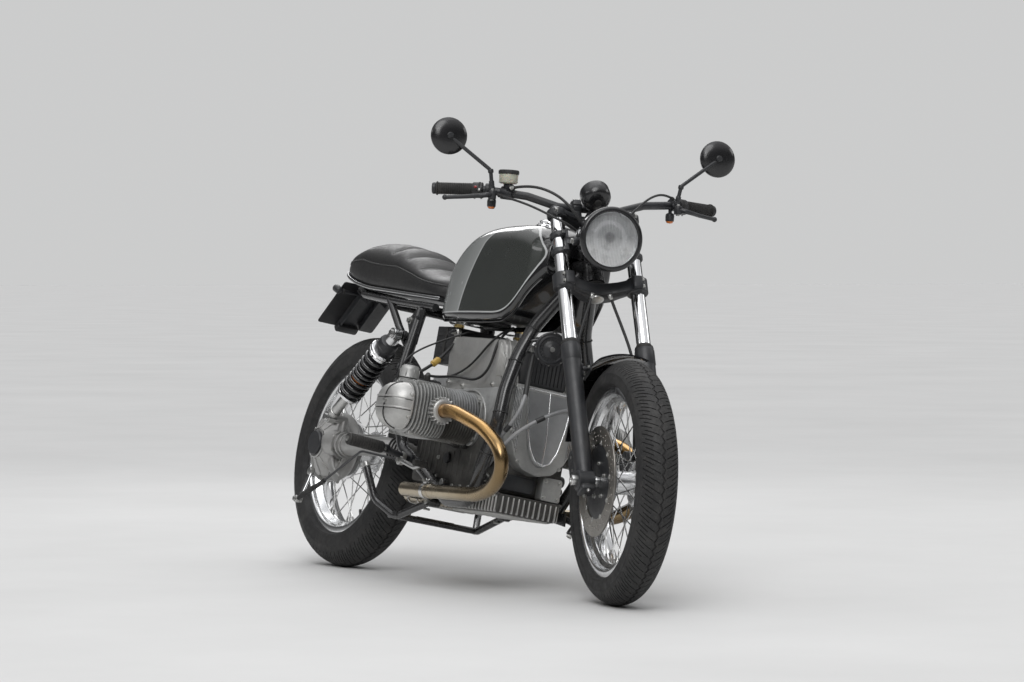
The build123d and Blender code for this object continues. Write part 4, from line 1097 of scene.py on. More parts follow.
def fork_pieces():
    p = Piece("fork_sliders_detail", "steering", "black_alloy", True)
    for side in (-1, 1):
        p.add(lathe([(-34, 0), (-34, 9), (-33, 13), (-30, 17.5), (-24, 20.5), (-10, 21.3), (22, 21.3), (30, 22.0), (44, 23.6), (60, 24.0), (305, 24.0),
                     (318, 24.6), (346, 24.8), (350, 25.4), (352, 26.5), (390, 26.5), (393, 26.2), (395, 25.2), (398, 24.8), (398, 19)],
                    leg(side, 0), UP, 64), M["satin"])
        p.add(lathe([(392, 19.6), (398.2, 25.0), (400, 25.4), (402, 24.2), (404, 24.4), (406, 22.4), (410, 20.4), (411, 19.5)], leg(side, 0), UP, 48), M["rubber"])
        # axle clamp, its split and its two pinch screws
        c = vec(WHEELBASE, side * LEG_HALF, FRONT_R)
        p.add(lathe([(-23, 9), (-23, 21), (-21.6, 25.0), (-19.5, 26.8), (19.5, 26.8), (21.6, 25.0), (23, 21), (23, 9)], c, SIDE, 48), M["satin"])
        p.add(block(fork(LEG_AHEAD + 4, side * LEG_HALF, -28), (46, 38, 16), FWD, SIDE, 3), M["satin"])
        p.add(block(fork(LEG_AHEAD + 4, side * LEG_HALF, -23.2), (47, 39, 1.6), FWD, SIDE, 0.3), M["rubber"])
        for a in (-12, 20):
            p.add(bolt(fork(LEG_AHEAD + a, side * LEG_HALF, -36), -UP, 4.6, 4.2, socket=True), M["zinc"])
        # bosses: mudguard, caliper, drain screw, fork oil plug
        for up in (316, 338):
            p.add(rod(fork(LEG_AHEAD, side * 82, up), fork(LEG_AHEAD, side * 74.5, up), 7.5, 20, soft=1), M["satin"])
        p.add(bolt(fork(LEG_AHEAD - 24, side * LEG_HALF, 26), -FWD, 4.2, 3.6), M["zinc"])
        p.add(rod(c + vec(0, side * 22, 0), c + vec(0, side * 36, 0), 13.5, 32, soft=1.2), M["steel"])
        p.add(lathe([(35.5, 14), (37, 13.8), (37.4, 12), (37.4, 6.4), (30, 6.0), (30, 0)] if side > 0 else
                    [(-35.5, 14), (-37, 13.8), (-37.4, 12), (-37.4, 6.4), (-30, 6.0), (-30, 0)], c, SIDE, 32), M["alloy"])
        p.add(rod((WHEELBASE, side * 79.6, FRONT_R), (WHEELBASE, side * 60.5, FRONT_R), 14.5, 32, soft=1.5), M["alloy"])
    p.add(rod((WHEELBASE, -79, FRONT_R), (WHEELBASE, 79, FRONT_R), 8.4, 24), M["steel"])
    p.done("fork_sliders", angle=35)

    p = Piece("fork_stanchions_detail", "steering", "chrome", True)
    for side in (-1, 1):
        p.add(lathe([(396, 0), (396, 19.2), (808, 19.2), (809.5, 18.4), (810, 16), (810, 0)], leg(side, 0), UP, 64), M["chrome"])
        p.add(lathe([(809, 0), (809, 16.4), (810, 17.4), (815, 17.4), (816.5, 16.0), (816.8, 8.4), (812, 8.0), (812, 0)], leg(side, 0), UP, 40), M["satin"])
        p.add(hexagon(leg(side, 811.5), UP, 14, 3.0), M["zinc"])
    p.done("fork_stanchions", angle=35)

    p = Piece("fork_yokes_detail", "steering", "black_alloy", True)
    # lower yoke: a waisted casting between two split collars
    half = [(-24, 0), (-24, 26), (-16, 44), (6, 64), (20, 78), (LEG_AHEAD + 2, 104), (LEG_AHEAD + 15, 98), (LEG_AHEAD + 17, 80), (LEG_AHEAD - 2, 52), (30, 24), (27, 0)]
    outline = [(a, b) for a, b in half] + [(a, -b) for a, b in reversed(half[1:-1])]
    outline = list(reversed(outline))
    p.add(plate(outline, fork(0, 0, LOWER_YOKE - 21), FWD, SIDE, 34, 3.5), M["satin"])
    p.add(plate(inset(np.array(outline), 9).tolist(), fork(0, 0, LOWER_YOKE - 23.0), FWD, SIDE, 40, 2.0), M["satin"])
    for side in (-1, 1):
        p.add(lathe([(LOWER_YOKE - 24, 19.4), (LOWER_YOKE - 24, 27.0), (LOWER_YOKE - 22, 29), (LOWER_YOKE + 16, 29), (LOWER_YOKE + 18, 27.2), (LOWER_YOKE + 18, 19.4)],
                    leg(side, 0), UP, 56), M["satin"])
        p.add(block(fork(LEG_AHEAD + 27, side * (LEG_HALF - 8), LOWER_YOKE - 3), (20, 26, 36), FWD, SIDE, 3), M["satin"])
        for up in (-13, 8):
            o = fork(LEG_AHEAD + 29, side * (LEG_HALF + 5.5), LOWER_YOKE + up)
            p.add(bolt(o, SIDE * side, 4.6, 5.0, socket=True), M["zinc"])
    # stem, its bearings' dust cups and the top nut
    p.add(rod(fork(0, 0, LOWER_YOKE - 26), fork(0, 0, LOWER_YOKE - 18), 21, 40, soft=2), M["zinc"])
    p.add(rod(fork(0, 0, LOWER_YOKE), fork(0, 0, UPPER_YOKE), 12.9, 32), M["steel"])
    p.add(rod(fork(0, 0, LOWER_YOKE + 14), fork(0, 0, LOWER_YOKE + 21), 27, 40, soft=2), M["rubber"])
    p.add(rod(fork(0, 0, UPPER_YOKE - 12.6), fork(0, 0, UPPER_YOKE - 8), 22, 40, soft=1), M["rubber"])
    top = [(-24, 0), (-24, 26), (-12, 48), (10, 76), (LEG_AHEAD - 20, 104), (LEG_AHEAD - 6, 124), (LEG_AHEAD + 10, 126), (LEG_AHEAD + 22, 112), (LEG_AHEAD + 20, 84),
           (LEG_AHEAD + 6, 60), (36, 30), (34, 0)]
    outline = list(reversed([(a, b) for a, b in top] + [(a, -b) for a, b in reversed(top[1:-1])]))
    p.add(plate(outline, fork(0, 0, UPPER_YOKE - 9), FWD, SIDE, 14, 2.6), M["satin"])
    for side in (-1, 1):
        p.add(lathe([(UPPER_YOKE - 12, 19.4), (UPPER_YOKE - 12, 25), (UPPER_YOKE - 10, 26.4), (UPPER_YOKE + 6, 26.4), (UPPER_YOKE + 8, 25), (UPPER_YOKE + 8, 19.4)],
                    leg(side, 0), UP, 56), M["satin"])
        p.add(bolt(fork(LEG_AHEAD + 26, side * (LEG_HALF + 6), UPPER_YOKE - 2), SIDE * side, 5.4, 5.5), M["zinc"])
        # bar clamp: post, cap and four screws
        p.add(block(fork(12, side * 36, UPPER_YOKE + 24), (33, 25, 46), FWD, SIDE, 4), M["satin"])
        bar_up = (vec(1030, side * 36, 1042) - HEAD) @ UP
        bar_ahead = (vec(1030, side * 36, 1042) - HEAD) @ FWD
        p.add(rod(fork(bar_ahead, side * 23.5, bar_up), fork(bar_ahead, side * 48.5, bar_up), 20.5, 40, soft=2.5), M["satin"])
        p.add(block(fork(bar_ahead, side * 36, bar_up), (46, 25.2, 1.4), FWD, SIDE, 0.3), M["rubber"])
        for a in (-13.5, 13.5):
            p.add(block(fork(bar_ahead + a, side * 36, bar_up + 4), (14, 24, 26), FWD, SIDE, 3), M["satin"])
            for s in (-7, 7):
                p.add(bolt(fork(bar_ahead + a, side * 36 + s, bar_up + 16.6), UP, 3.6, 4.0, washer=False, socket=True), M["zinc"])
    p.add(lathe([(4, 0), (4, 15), (5, 16), (7, 16), (7.4, 14.6), (15, 14.2), (17, 12.4), (17.6, 0)], fork(0, 0, UPPER_YOKE), UP, 6), M["zinc"], smooth=False)
    p.add(rod(fork(0, 0, UPPER_YOKE + 4.6), fork(0, 0, UPPER_YOKE + 7), 19, 40, soft=0.8), M["zinc"])
    p.done("fork_yokes", angle=35, bevel=0.0)


BAR = [(908, -392, 1075), (960, -275, 1078), (1003, -165, 1066), (1030, -85, 1042),
       (1030, 85, 1042), (1003, 165, 1066), (960, 275, 1078), (908, 392, 1075)]


def bar_pieces():
    p = Piece("handlebar_detail", "steering", "black_alloy", True)
    p.add(tube(BAR, 11.0, [60, 60, 45, 45, 60, 60], n=32, step=4), M["satin"])
    for side in (-1, 1):
        o, i = vec(908, side * 392, 1075), vec(960, side * 275, 1078)
        d = unit(o - i)
        p.add(lathe([(-2, 0), (-2, 8.2), (0, 11), (0.8, 14.4), (3, 15.6), (9, 15.6), (11.4, 13.4), (12, 0)], o, d, 36), M["satin"])
        p.add(rod(o + d * 11, o + d * 12.6, 4.4, 6), M["zinc"])
    p.done("handlebar", angle=30)

    p = Piece("handlebar_grips_detail", "steering", "rubber", True)
    for side in (-1, 1):
        o, i = vec(908, side * 392, 1075), vec(960, side * 275, 1078)
        d = unit(i - o)
        prof = [(0.0, 11.1), (0.0, 17.6), (0.8, 18.6), (3.4, 18.6), (4.2, 17.4), (5.0, 15.2)]
        n = 20
        for k in range(n):
            a = 6.0 + k * 5.0
            prof += [(a, 14.9), (a + 0.5, 16.3), (a + 2.9, 16.5), (a + 3.4, 14.9)]
        prof += [(107, 15.0), (109, 16.4), (113, 18.2), (116, 19.8), (118.5, 20.0), (120.5, 18.6), (121.5, 11.1)]
        p.add(lathe(prof, o, d, 40), M["rubber"])
    p.done("handlebar_grips", angle=40)

    p = Piece("hand_controls_detail", "steering", "black_plastic", True)
    for side in (-1, 1):
        o, i = vec(908, side * 392, 1075), vec(960, side * 275, 1078)
        d = unit(o - i)
        # switch housing round the bar, in two halves
        p.add(lathe([(2, 11.2), (2, 17.4), (3, 18.8), (12, 19.2), (27, 19.2), (29, 18.2), (29.6, 16), (29.6, 11.2)], i, d, 40), M["plastic"])
        _, u, w = basis(d, (0, 0, 1))
        p.add(block(i + d * 14 - u * 12 + w * 2, (30, 24, 22), d, w, 4), M["plastic"])
        p.add(block(i + d * 14 + w * -16, (24, 12, 10), d, u, 2.5), M["plastic"])
        p.add(block(i + d * 20 + w * -20.5 + u * 5, (9, 6, 5), d, u, 1.5), M["red"] if side < 0 else M["plastic"])
        p.add(block(i + d * 10 + w * -20.5 - u * 3, (7, 7, 5), d, u, 1.5), M["zinc"] if side < 0 else M["orange"])
        for k in (6, 24):
            p.add(rod(i + d * k - u * 24, i + d * k - u * 26, 2.6, 12), M["zinc"])
        # lever perch, clamp and its screws
        perch = i - d * 14
        p.add(rod(perch - d * 9, perch + d * 9, 17.0, 36, soft=2), M["satin"])
        for k in (-1, 1):
            p.add(bolt(perch - vec(15, 0, 0) + vec(0, 0, k * 6), (-1, 0, 0), 2.8, 3.2, washer=False, socket=True), M["zinc"])
        lug = vec(1003, side * 264, 1063)
        p.add(tube([perch + vec(12, 0, -4), lug + vec(4, 0, -1)], 8.6, n=20), M["satin"])
        p.add(rod(lug + vec(2, 0, 11), lug + vec(2, 0, -13), 11.0, 32, soft=2), M["satin"])
        p.add(bolt(lug + vec(2, 0, 10.5), (0, 0, 1), 4.4, 3.6), M["zinc"])
        p.add(hexagon(lug + vec(2, 0, -12.5), (0, 0, -1), 9, 4), M["zinc"])
        # lever: a flat blade that narrows, with a ball end
        path = route([lug, vec(1018, side * 290, 1058), vec(992, side * 332, 1053), vec(967, side * 385, 1048)], [26, 60], 5, 7)

        def blade(t):
            wide = 9.0 - 3.4 * t + (2.0 * math.sin(min(1, t * 3) * math.pi) if t < 0.33 else 0)
            high = 7.0 - 1.6 * t
            return [(wide * math.cos(a) * (1.0 if abs(math.cos(a)) < 0.9 else 0.96), high * math.sin(a)) for a in [2 * math.pi * k / 16 for k in range(16)]]
        p.add(sweep(path, blade, ref=(1, 0, 0)), M["satin"])
        tip = path[-1]
        back = unit(tip - path[-3])
        p.add(lathe([(-8 + 0.0, 0)] + [(-7.4 * math.cos(math.pi * k / 12), 7.4 * math.sin(math.pi * k / 12)) for k in range(1, 12)] + [(7.4, 0)], tip - back * 1.0, back, 24), M["satin"])
        # mirror boss and its lock nut
        p.add(rod((995, side * 264, 1060), (997, side * 264, 1084), 8.4, 24, soft=1), M["satin"])
        p.add(hexagon((997, side * 264, 1083), (0, 0, 1), 14, 4.5), M["satin"])
        # bar indicator: a short round lamp under the bar with an amber lens forwards
        p.add(rod((970, side * 254, 1066), (970, side * 254, 1048), 5.0, 20), M["satin"])
        p.add(lathe([(-11.4, 9.6), (-9.6, 11.6), (4, 12.2), (9, 11.2), (12, 8), (12.6, 0)], (970, side * 254, 1043), (0, 0, 1), 36), M["satin"])
        p.add(lathe([(10.4, 10.2), (13.0, 9.8), (15.4, 7.6), (16.4, 4.0), (16.6, 0)], (970, side * 254, 1043), (0, 0, -1), 36), M["orange"])
    p.done("hand_controls", angle=35)

    p = Piece("brake_reservoir_detail", "steering", "black_plastic", True)
    c = vec(985, -215, 0)
    p.add(rod((972, -229, 1073), (991, -201, 1070), 17.6, 36, soft=2), M["satin"])
    p.add(tube([(986, -215, 1076), (1004, -214, 1086), (1010, -212, 1084)], 9.0, 8, n=20), M["satin"])
    p.add(rod((985, -215, 1076), (985, -215, 1100), 12.5, 32, soft=2), M["satin"])
    p.add(lathe([(1096, 0), (1096, 20), (1097.5, 23.6), (1100, 25), (1122, 25.6), (1123, 25.2), (1123, 0)], c, (0, 0, 1), 48), M["cup"])
    p.add(lathe([(1099, 25.2), (1099.6, 26.2), (1101, 26.2), (1101.6, 25.2)], c, (0, 0, 1), 48), M["cup"])
    ribs = []
    for k in range(36):
        t = 2 * math.pi * k / 36
        ribs.append(block((985 + 27.0 * math.cos(t), -215 + 27.0 * math.sin(t), 1127), (2.0, 2.2, 7.5), (math.cos(t), math.sin(t), 0), (-math.sin(t), math.cos(t), 0), 0.4))
    p.add(join(ribs), M["plastic"])
    p.add(lathe([(1121.5, 25), (1121.6, 27.0), (1122.4, 27.6), (1131.5, 27.4), (1133, 26), (1133.2, 20), (1132.2, 19), (1132.2, 0)], c, (0, 0, 1), 56), M["plastic"])
    for s in (-1, 1):
        p.add(rod((985 + s * 13, -215, 1132), (985 + s * 13, -215, 1133.4), 3.2, 14), M["zinc"])
    p.add(bolt((1012, -213, 1084), (0.9, 0.1, 0.3), 5, 4.5), M["zinc"])
    p.done("brake_fluid_reservoir", angle=35)

    p = Piece("mirrors_detail", "steering", "chrome", True)
    for side in (-1, 1):
        path = route([(997, side * 264, 1086), (1000, side * 271, 1128), (975, side * 383, 1212)], 14, 5)
        p.add(sweep(path, circle(5.2, 20)), M["satin"])
        p.add(rod((997, side * 264, 1087), (998, side * 266.4, 1100), 7.2, 24, soft=1), M["satin"])
        p.add(rod((1000, side * 269.5, 1120), (999.6, side * 271.6, 1131), 7.6, 24, soft=2.5), M["satin"])
        face = unit((-0.966, 0, -0.05))
        c = vec(968, side * 383, 1213)
        p.add(lathe([(0.2, 0), (0.2, 45.5), (2.2, 46.6)], c + face * 3.4, face, 72), M["mirror"])
        p.add(lathe([(4.0, 46.4), (5.2, 47.4), (5.0, 49.2), (3.2, 50.2), (-1.0, 50.2), (-4.2, 47.4), (-8.6, 40), (-11.8, 28), (-13.4, 14), (-13.8, 0)], c, face, 72),
              M["shell"])
        p.add(lathe([(-10, 0), (-10, 9.5), (-15.4, 8.6), (-17.4, 6.4), (-17.8, 0)], c, face, 28), M["satin"])
    p.done("mirrors", angle=35)


def clock_pieces():
    pod, back = vec(1092, 0, 1070), unit((-0.80, 0, 0.60))
    p = Piece("speedometer_detail", "steering", "black_plastic", True)
    p.add(lathe([(25.4, 35.6), (26.0, 37.6), (25.2, 39.9), (22.5, 40.5), (16, 40.2), (4, 40.4), (-6, 38.9), (-14, 34.8), (-19.6, 27.6), (-22.0, 18), (-22.6, 0)],
                pod, back, 72), M["shell"])
    p.add(lathe([(20.4, 35.4), (25.2, 36.0), (26.2, 37.4), (25.6, 39.2)], pod, back, 72), M["chrome"])
    p.add(lathe([(18.0, 0), (18.0, 36.0)], pod, back, 64), M["plastic"])
    a, u, w = basis(back, (0, 0, 1))
    for k in range(41):
        t = math.radians(-135 + 270 * k / 40)
        major = k % 5 == 0
        r0, r1 = (26.5 if major else 29.5), 33.0
        d = u * math.cos(t) + w * math.sin(t)
        e = np.cross(a, d)
        p.add(block(pod + a * 18.5 + d * (r0 + r1) / 2, (r1 - r0, 1.5 if major else 0.7, 0.6), d, e, 0.1), M["white"], smooth=False)
    t = math.radians(-135)
    d = u * math.cos(t) + w * math.sin(t)
    p.add(block(pod + a * 20.0 + d * 9, (34, 1.8, 0.8), d, np.cross(a, d), 0.2), M["red"])
    p.add(rod(pod + a * 18, pod + a * 21.4, 5.2, 28, soft=1), M["plastic"])
    p.add(lathe([(23.6, 0), (23.6, 18), (23.2, 36.2)], pod, back, 64), M["glass"])
    p.add(tube([fork(40, 0, UPPER_YOKE + 5), fork(40, 0, 838)], 7.0, n=20), M["satin"])
    p.add(block(fork(40, 0, UPPER_YOKE + 7), (26, 34, 5), FWD, SIDE, 1), M["satin"])
    p.add(rod(pod - back * 21.0, pod - back * 28.0, 9, 24, soft=2), M["rubber"])
    p.done("speedometer", angle=35)

    lamp, ahead = vec(1241, 0, 953), unit((1, 0, -0.02))
    p = Piece("headlight_detail", "steering", "black_alloy", True)
    bowl = [(0.0, 79.4), (-2, 81.0), (-8, 81.5), (-40, 81.3), (-58, 80.6), (-70, 76.6), (-84, 67), (-96, 54), (-104, 40), (-108, 24), (-109, 0)]
    p.add(lathe(bowl, lamp, ahead, 96), M["gloss"])
    # rim: black ring with a bright inner lip
    p.add(lathe([(-9, 81.3), (-8.6, 84.6), (-6.4, 86.2), (-1, 86.4), (3.6, 85.0), (6.2, 81.8), (7.4, 77.4), (7.0, 74.2), (5.4, 72.6), (2.0, 71.6)], lamp, ahead, 96), M["shell"])
    p.add(lathe([(4.6, 72.2), (4.8, 71.4), (3.6, 70.6), (0.0, 70.2), (-12, 70.0)], lamp, ahead, 96), M["chrome"])
    p.add(bolt(lamp + vec(0, 0, -82.5) - ahead * 3, (0, 0, -1), 3.0, 3.0, washer=False), M["zinc"])
    for side in (-1, 1):
        for height in (677.0, 727.0):
            p.add(lathe([(height - 6.4, 19.3), (height - 6.4, 23.6), (height - 5, 24.6), (height + 5, 24.6), (height + 6.4, 23.6), (height + 6.4, 19.3)], leg(side, 0), UP, 48), M["satin"])
            p.add(block(fork(LEG_AHEAD + 25, side * 93, height), (13, 13, 12), FWD, SIDE, 2), M["satin"])
            p.add(bolt(fork(LEG_AHEAD + 27, side * 98, height), SIDE * side, 3.2, 3.4, washer=False, socket=True), M["zinc"])
        p.add(block(fork(LEG_AHEAD + 27, side * 90, 702), (11, 7, 62), FWD, SIDE, 1.6), M["satin"])
        ear_a, ear_b = fork(LEG_AHEAD + 28, side * 90, 702), vec(1196, side * 88, 944)
        p.add(sweep([ear_a, (ear_a + ear_b) / 2 + vec(0, 0, 0.01), ear_b], [(x, y) for x, y in rounded(16, 6, 2.4, 3)], ref=(0, 0, 1)), M["satin"])
        p.add(rod((1196, side * 92, 944), (1196, side * 80, 944), 11.5, 32, soft=1.5), M["satin"])
        p.add(bolt((1196, side * 91.6, 944), (0, side, 0), 6.4, 5.0), M["zinc"])
    p.done("headlight_shell", angle=35)

    p = Piece("headlight_lens_detail", "steering", "lens", True)
    # fluted glass: upright ribs on the back, a plain dome in front
    n, m = 96, 22
    rings = []
    for j in range(m + 1):
        r = 69.8 * j / m
        ring = []
        for i in range(n):
            t = 2 * math.pi * i / n
            y, z = r * math.cos(t), r * math.sin(t)
            dome = 4.0 + 9.0 * (1 - (r / 69.8) ** 2)
            ring.append(lamp + ahead * (dome - 5.0) + vec(0, y, z))
        rings.append(np.array(ring))
    v, f = skin(rings[1:], start=False, end=False)
    f.append(tuple(range(n)))
    p.add((v, f), M["glass"])
    back_rings = []
    for j in range(1, 31):
        r = 70.4 * j / 30
        ring = []
        for i in range(288):
            t = 2 * math.pi * i / 288
            y, z = r * math.cos(t), r * math.sin(t)
            flute = 0.7 * abs(math.sin(y / 2.4)) + 0.4 * abs(math.sin(z / 11.0)) if z > -30 else 0.9 * abs(math.sin(y / 4.2))
            ring.append(lamp + ahead * (-2.0 + 6.5 * (1 - (r / 70.4) ** 2) - flute) + vec(0, y, z))
        back_rings.append(np.array(ring))
    v, f = skin(back_rings, start=False, end=False)
    f.append(tuple(range(288)))
    # the back face carries the fluted glass with its painted reflection of the bowl
    p.add((v, f), M["flute"])
    p.done(angle=50)
    q = Piece("headlight_reflector", "steering", "chrome", True)
    q.add(lathe([(-8, 71.2)] + [(-8 - 44 * (1 - (r / 71.0) ** 2), r) for r in (66, 58, 50, 42, 34, 26, 18, 12)], lamp, ahead, 96), M["reflector"])
    q.add(lathe([(-54, 0), (-54, 11), (-52, 13), (-48, 13), (-44, 9), (-26, 8.4), (-20, 7), (-17, 4), (-16, 0)], lamp, ahead, 36), M["reflector"])
    for k in range(3):
        t = math.radians(90 + 120 * k)
        q.add(tube([lamp - ahead * 46 + vec(0, 12 * math.cos(t), 12 * math.sin(t)), lamp - ahead * 26 + vec(0, 9 * math.cos(t), 9 * math.sin(t))], 1.2, n=8), M["chrome"])
    q.done(angle=35)
    # lens node is stood for by the glass
    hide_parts("headlight_lens")


def guard_and_brakes():
    p = Piece("front_mudguard_detail", "steering", "black_alloy", True)
    rings = []
    for i in range(49):
        ang = math.radians(96.0 + 66.0 * i / 48)
        section = []
        for k in range(25):
            s = -1 + 2 * k / 24
            y = 62.0 * math.sin(s * 1.02) / math.sin(1.02)
            r = 334.0 - 12.0 * (y / 62.0) ** 2
            section.append((y, r))
        under = [(y * 0.985, r - 2.4) for y, r in reversed(section)]
        lip = 1.6 if i in (0, 48) else 0.0
        rings.append(np.array([(WHEELBASE + (r + (lip if k < 25 else -lip) * 0.5) * math.cos(ang), y, FRONT_R + (r + (lip if k < 25 else -lip) * 0.5) * math.sin(ang))
                               for k, (y, r) in enumerate(section + under)]))
    p.add(skin(rings), M["gloss"])
    for side in (-1, 1):
        edge = []
        for i in range(33):
            ang = math.radians(96.0 + 66.0 * i / 32)
            edge.append(vec(WHEELBASE + 321.4 * math.cos(ang), side * 61.6, FRONT_R + 321.4 * math.sin(ang)))
        p.add(sweep(edge, circle(1.9, 10)), M["gloss"])
        p.add(rod(fork(LEG_AHEAD, side * 58, 330), fork(LEG_AHEAD, side * 77, 330), 7.0, 24, soft=1), M["satin"])
        p.add(block(fork(LEG_AHEAD, side * 62.4, 326), (60, 34, 2.4), FWD, UP, 0.8), M["satin"])
        for a in (-18, 18):
            p.add(bolt(fork(LEG_AHEAD + a, side * 63.6, 326), SIDE * side, 3.8, 3.2), M["zinc"])
    p.done("front_mudguard", angle=35)

    p = Piece("brake_calipers_detail", "steering", "black_alloy", True)
    for side in (-1, 1):
        outer = rounded(58, 78, 16, 5)
        # two halves either side of the disc
        for off, thick in ((-28.0, 22.0), (7.0, 22.0)):
            start = fork(LEG_AHEAD - 92, 0, 95) + SIDE * ((70 + off) if side > 0 else -(70 + off + thick))
            p.add(plate(outer, start, FWD, -UP, thick, 4.0), M["satin"])
        p.add(block(fork(LEG_AHEAD - 112, side * 68, 95), (20, 54, 46), FWD, SIDE, 4), M["satin"])
        # carrier arm to the slider
        p.add(block(fork(LEG_AHEAD - 44, side * 91, 95), (58, 11, 46), FWD, SIDE, 3), M["satin"])
        for up in (80, 112):
            p.add(bolt(fork(LEG_AHEAD - 34, side * 97, up), SIDE * side, 5.4, 6.0), M["zinc"])
        for up, ah in ((76, -92), (114, -92)):
            p.add(rod(fork(LEG_AHEAD + ah, side * 97.5, up), fork(LEG_AHEAD + ah, side * 99.5, up), 11.5, 32, soft=1), M["satin"])
            p.add(rod(fork(LEG_AHEAD + ah, side * 99, up), fork(LEG_AHEAD + ah, side * 100, up), 4.0, 16), M["zinc"])
        p.add(bolt(fork(LEG_AHEAD - 92, side * 82, 134), UP, 5.6, 6.0), M["zinc"])
        p.add(rod(fork(LEG_AHEAD - 70, side * 84, 134), fork(LEG_AHEAD - 70, side * 84, 144), 3.0, 16, soft=1), M["rubber"])
    p.done("brake_calipers", angle=35)


HOSE = [(40, 24, 560), (26, 46, 500), (18, 74, 420), (-4, 92, 330), (-40, 84, 230), (-58, 80, 138)]
CABLES = {
    "brake_hose_upper": [(1006, -212, 1084), (1046, -176, 1094), (1084, -128, 1082), (1116, -84, 1048),
                         (1128, -50, 1002), (1118, -26, 958)],
    "throttle_cable": [(1004, -246, 1062), (1046, -206, 1050), (1090, -158, 1028), (1128, -122, 1004),
                       (1142, -80, 988), (1124, -44, 962)],
    "clutch_cable": [(998, 250, 1092), (1048, 208, 1100), (1092, 160, 1090), (1124, 112, 1056), (1136, 70, 1012),
                     (1122, 40, 966)],
}


def cable_pieces():
    p = Piece("control_cables_detail", "steering", "black_plastic", True)
    for side in (-1, 1):
        path = spline([fork(a, side * l, u) for a, l, u in HOSE], 14)
        p.add(sweep(path, circle(4.0, 16)), M["hose"])
        for end, other in ((path[0], path[2]), (path[-1], path[-3])):
            d = unit(other - end)
            p.add(lathe([(-1, 0), (-1, 5.0), (0, 5.6), (9, 5.6), (10, 5.0), (13, 4.6), (14, 4.0)], end, d, 20), M["zinc"])
        mid = path[len(path) // 2]
        d = unit(path[len(path) // 2 + 1] - mid)
        p.add(lathe([(-5, 4), (-4.6, 5.2), (4.6, 5.2), (5, 4)], mid, d, 20), M["rubber"])
    for name, points in CABLES.items():
        path = spline(points, 14)
        r = 3.8 if "hose" in name else 3.2
        p.add(sweep(path, circle(r, 16)), M["hose"])
        for end, other in ((path[0], path[2]), (path[-1], path[-3])):
            d = unit(other - end)
            p.add(lathe([(-1, 0), (-1, 4.4), (0, 5.0), (10, 5.0), (11, 4.2), (15, 3.9), (16, 3.3)], end, d, 20), M["rubber"])
    p.done("control_cables", angle=35)


fork_pieces()
bar_pieces()
clock_pieces()
guard_and_brakes()
cable_pieces()


# ------------------------------------------------------------------ tank, seat and tail
def smooth_table(xs, ys):
    """A curve through the table that doesn't overshoot."""
    xs, ys = np.array(xs, float), np.array(ys, float)
    h = np.diff(xs)
    d = np.diff(ys) / h
    m = np.zeros(len(xs))
    m[0], m[-1] = d[0], d[-1]
    for i in range(1, len(xs) - 1):
        if d[i - 1] * d[i] > 0:
            w1, w2 = 2 * h[i] + h[i - 1], h[i] + 2 * h[i - 1]
            m[i] = (w1 + w2) / (w1 / d[i - 1] + w2 / d[i])

    def at(x):
        x = min(max(x, xs[0]), xs[-1])
        i = min(int(np.searchsorted(xs, x, "right")) - 1, len(xs) - 2)
        t = (x - xs[i]) / h[i]
        return ((1 + 2 * t) * (1 - t) ** 2 * ys[i] + t * (1 - t) ** 2 * h[i] * m[i] + t * t * (3 - 2 * t) * ys[i + 1] + t * t * (t - 1) * h[i] * m[i + 1])
    return at


# tank stations: x, half width, underside, top
TANK = [(501, 92, 728, 782), (508, 101, 721, 822), (520, 107, 716, 858), (545, 116, 712, 903), (576, 123, 711, 934), (614, 128, 710, 960), (650, 131, 709, 976),
        (720, 134, 709, 990), (800, 135.5, 709, 995), (880, 136, 712, 996), (930, 134, 733, 993), (975, 129, 788, 984.5), (1003, 117, 824, 972), (1021, 104, 847, 957)]


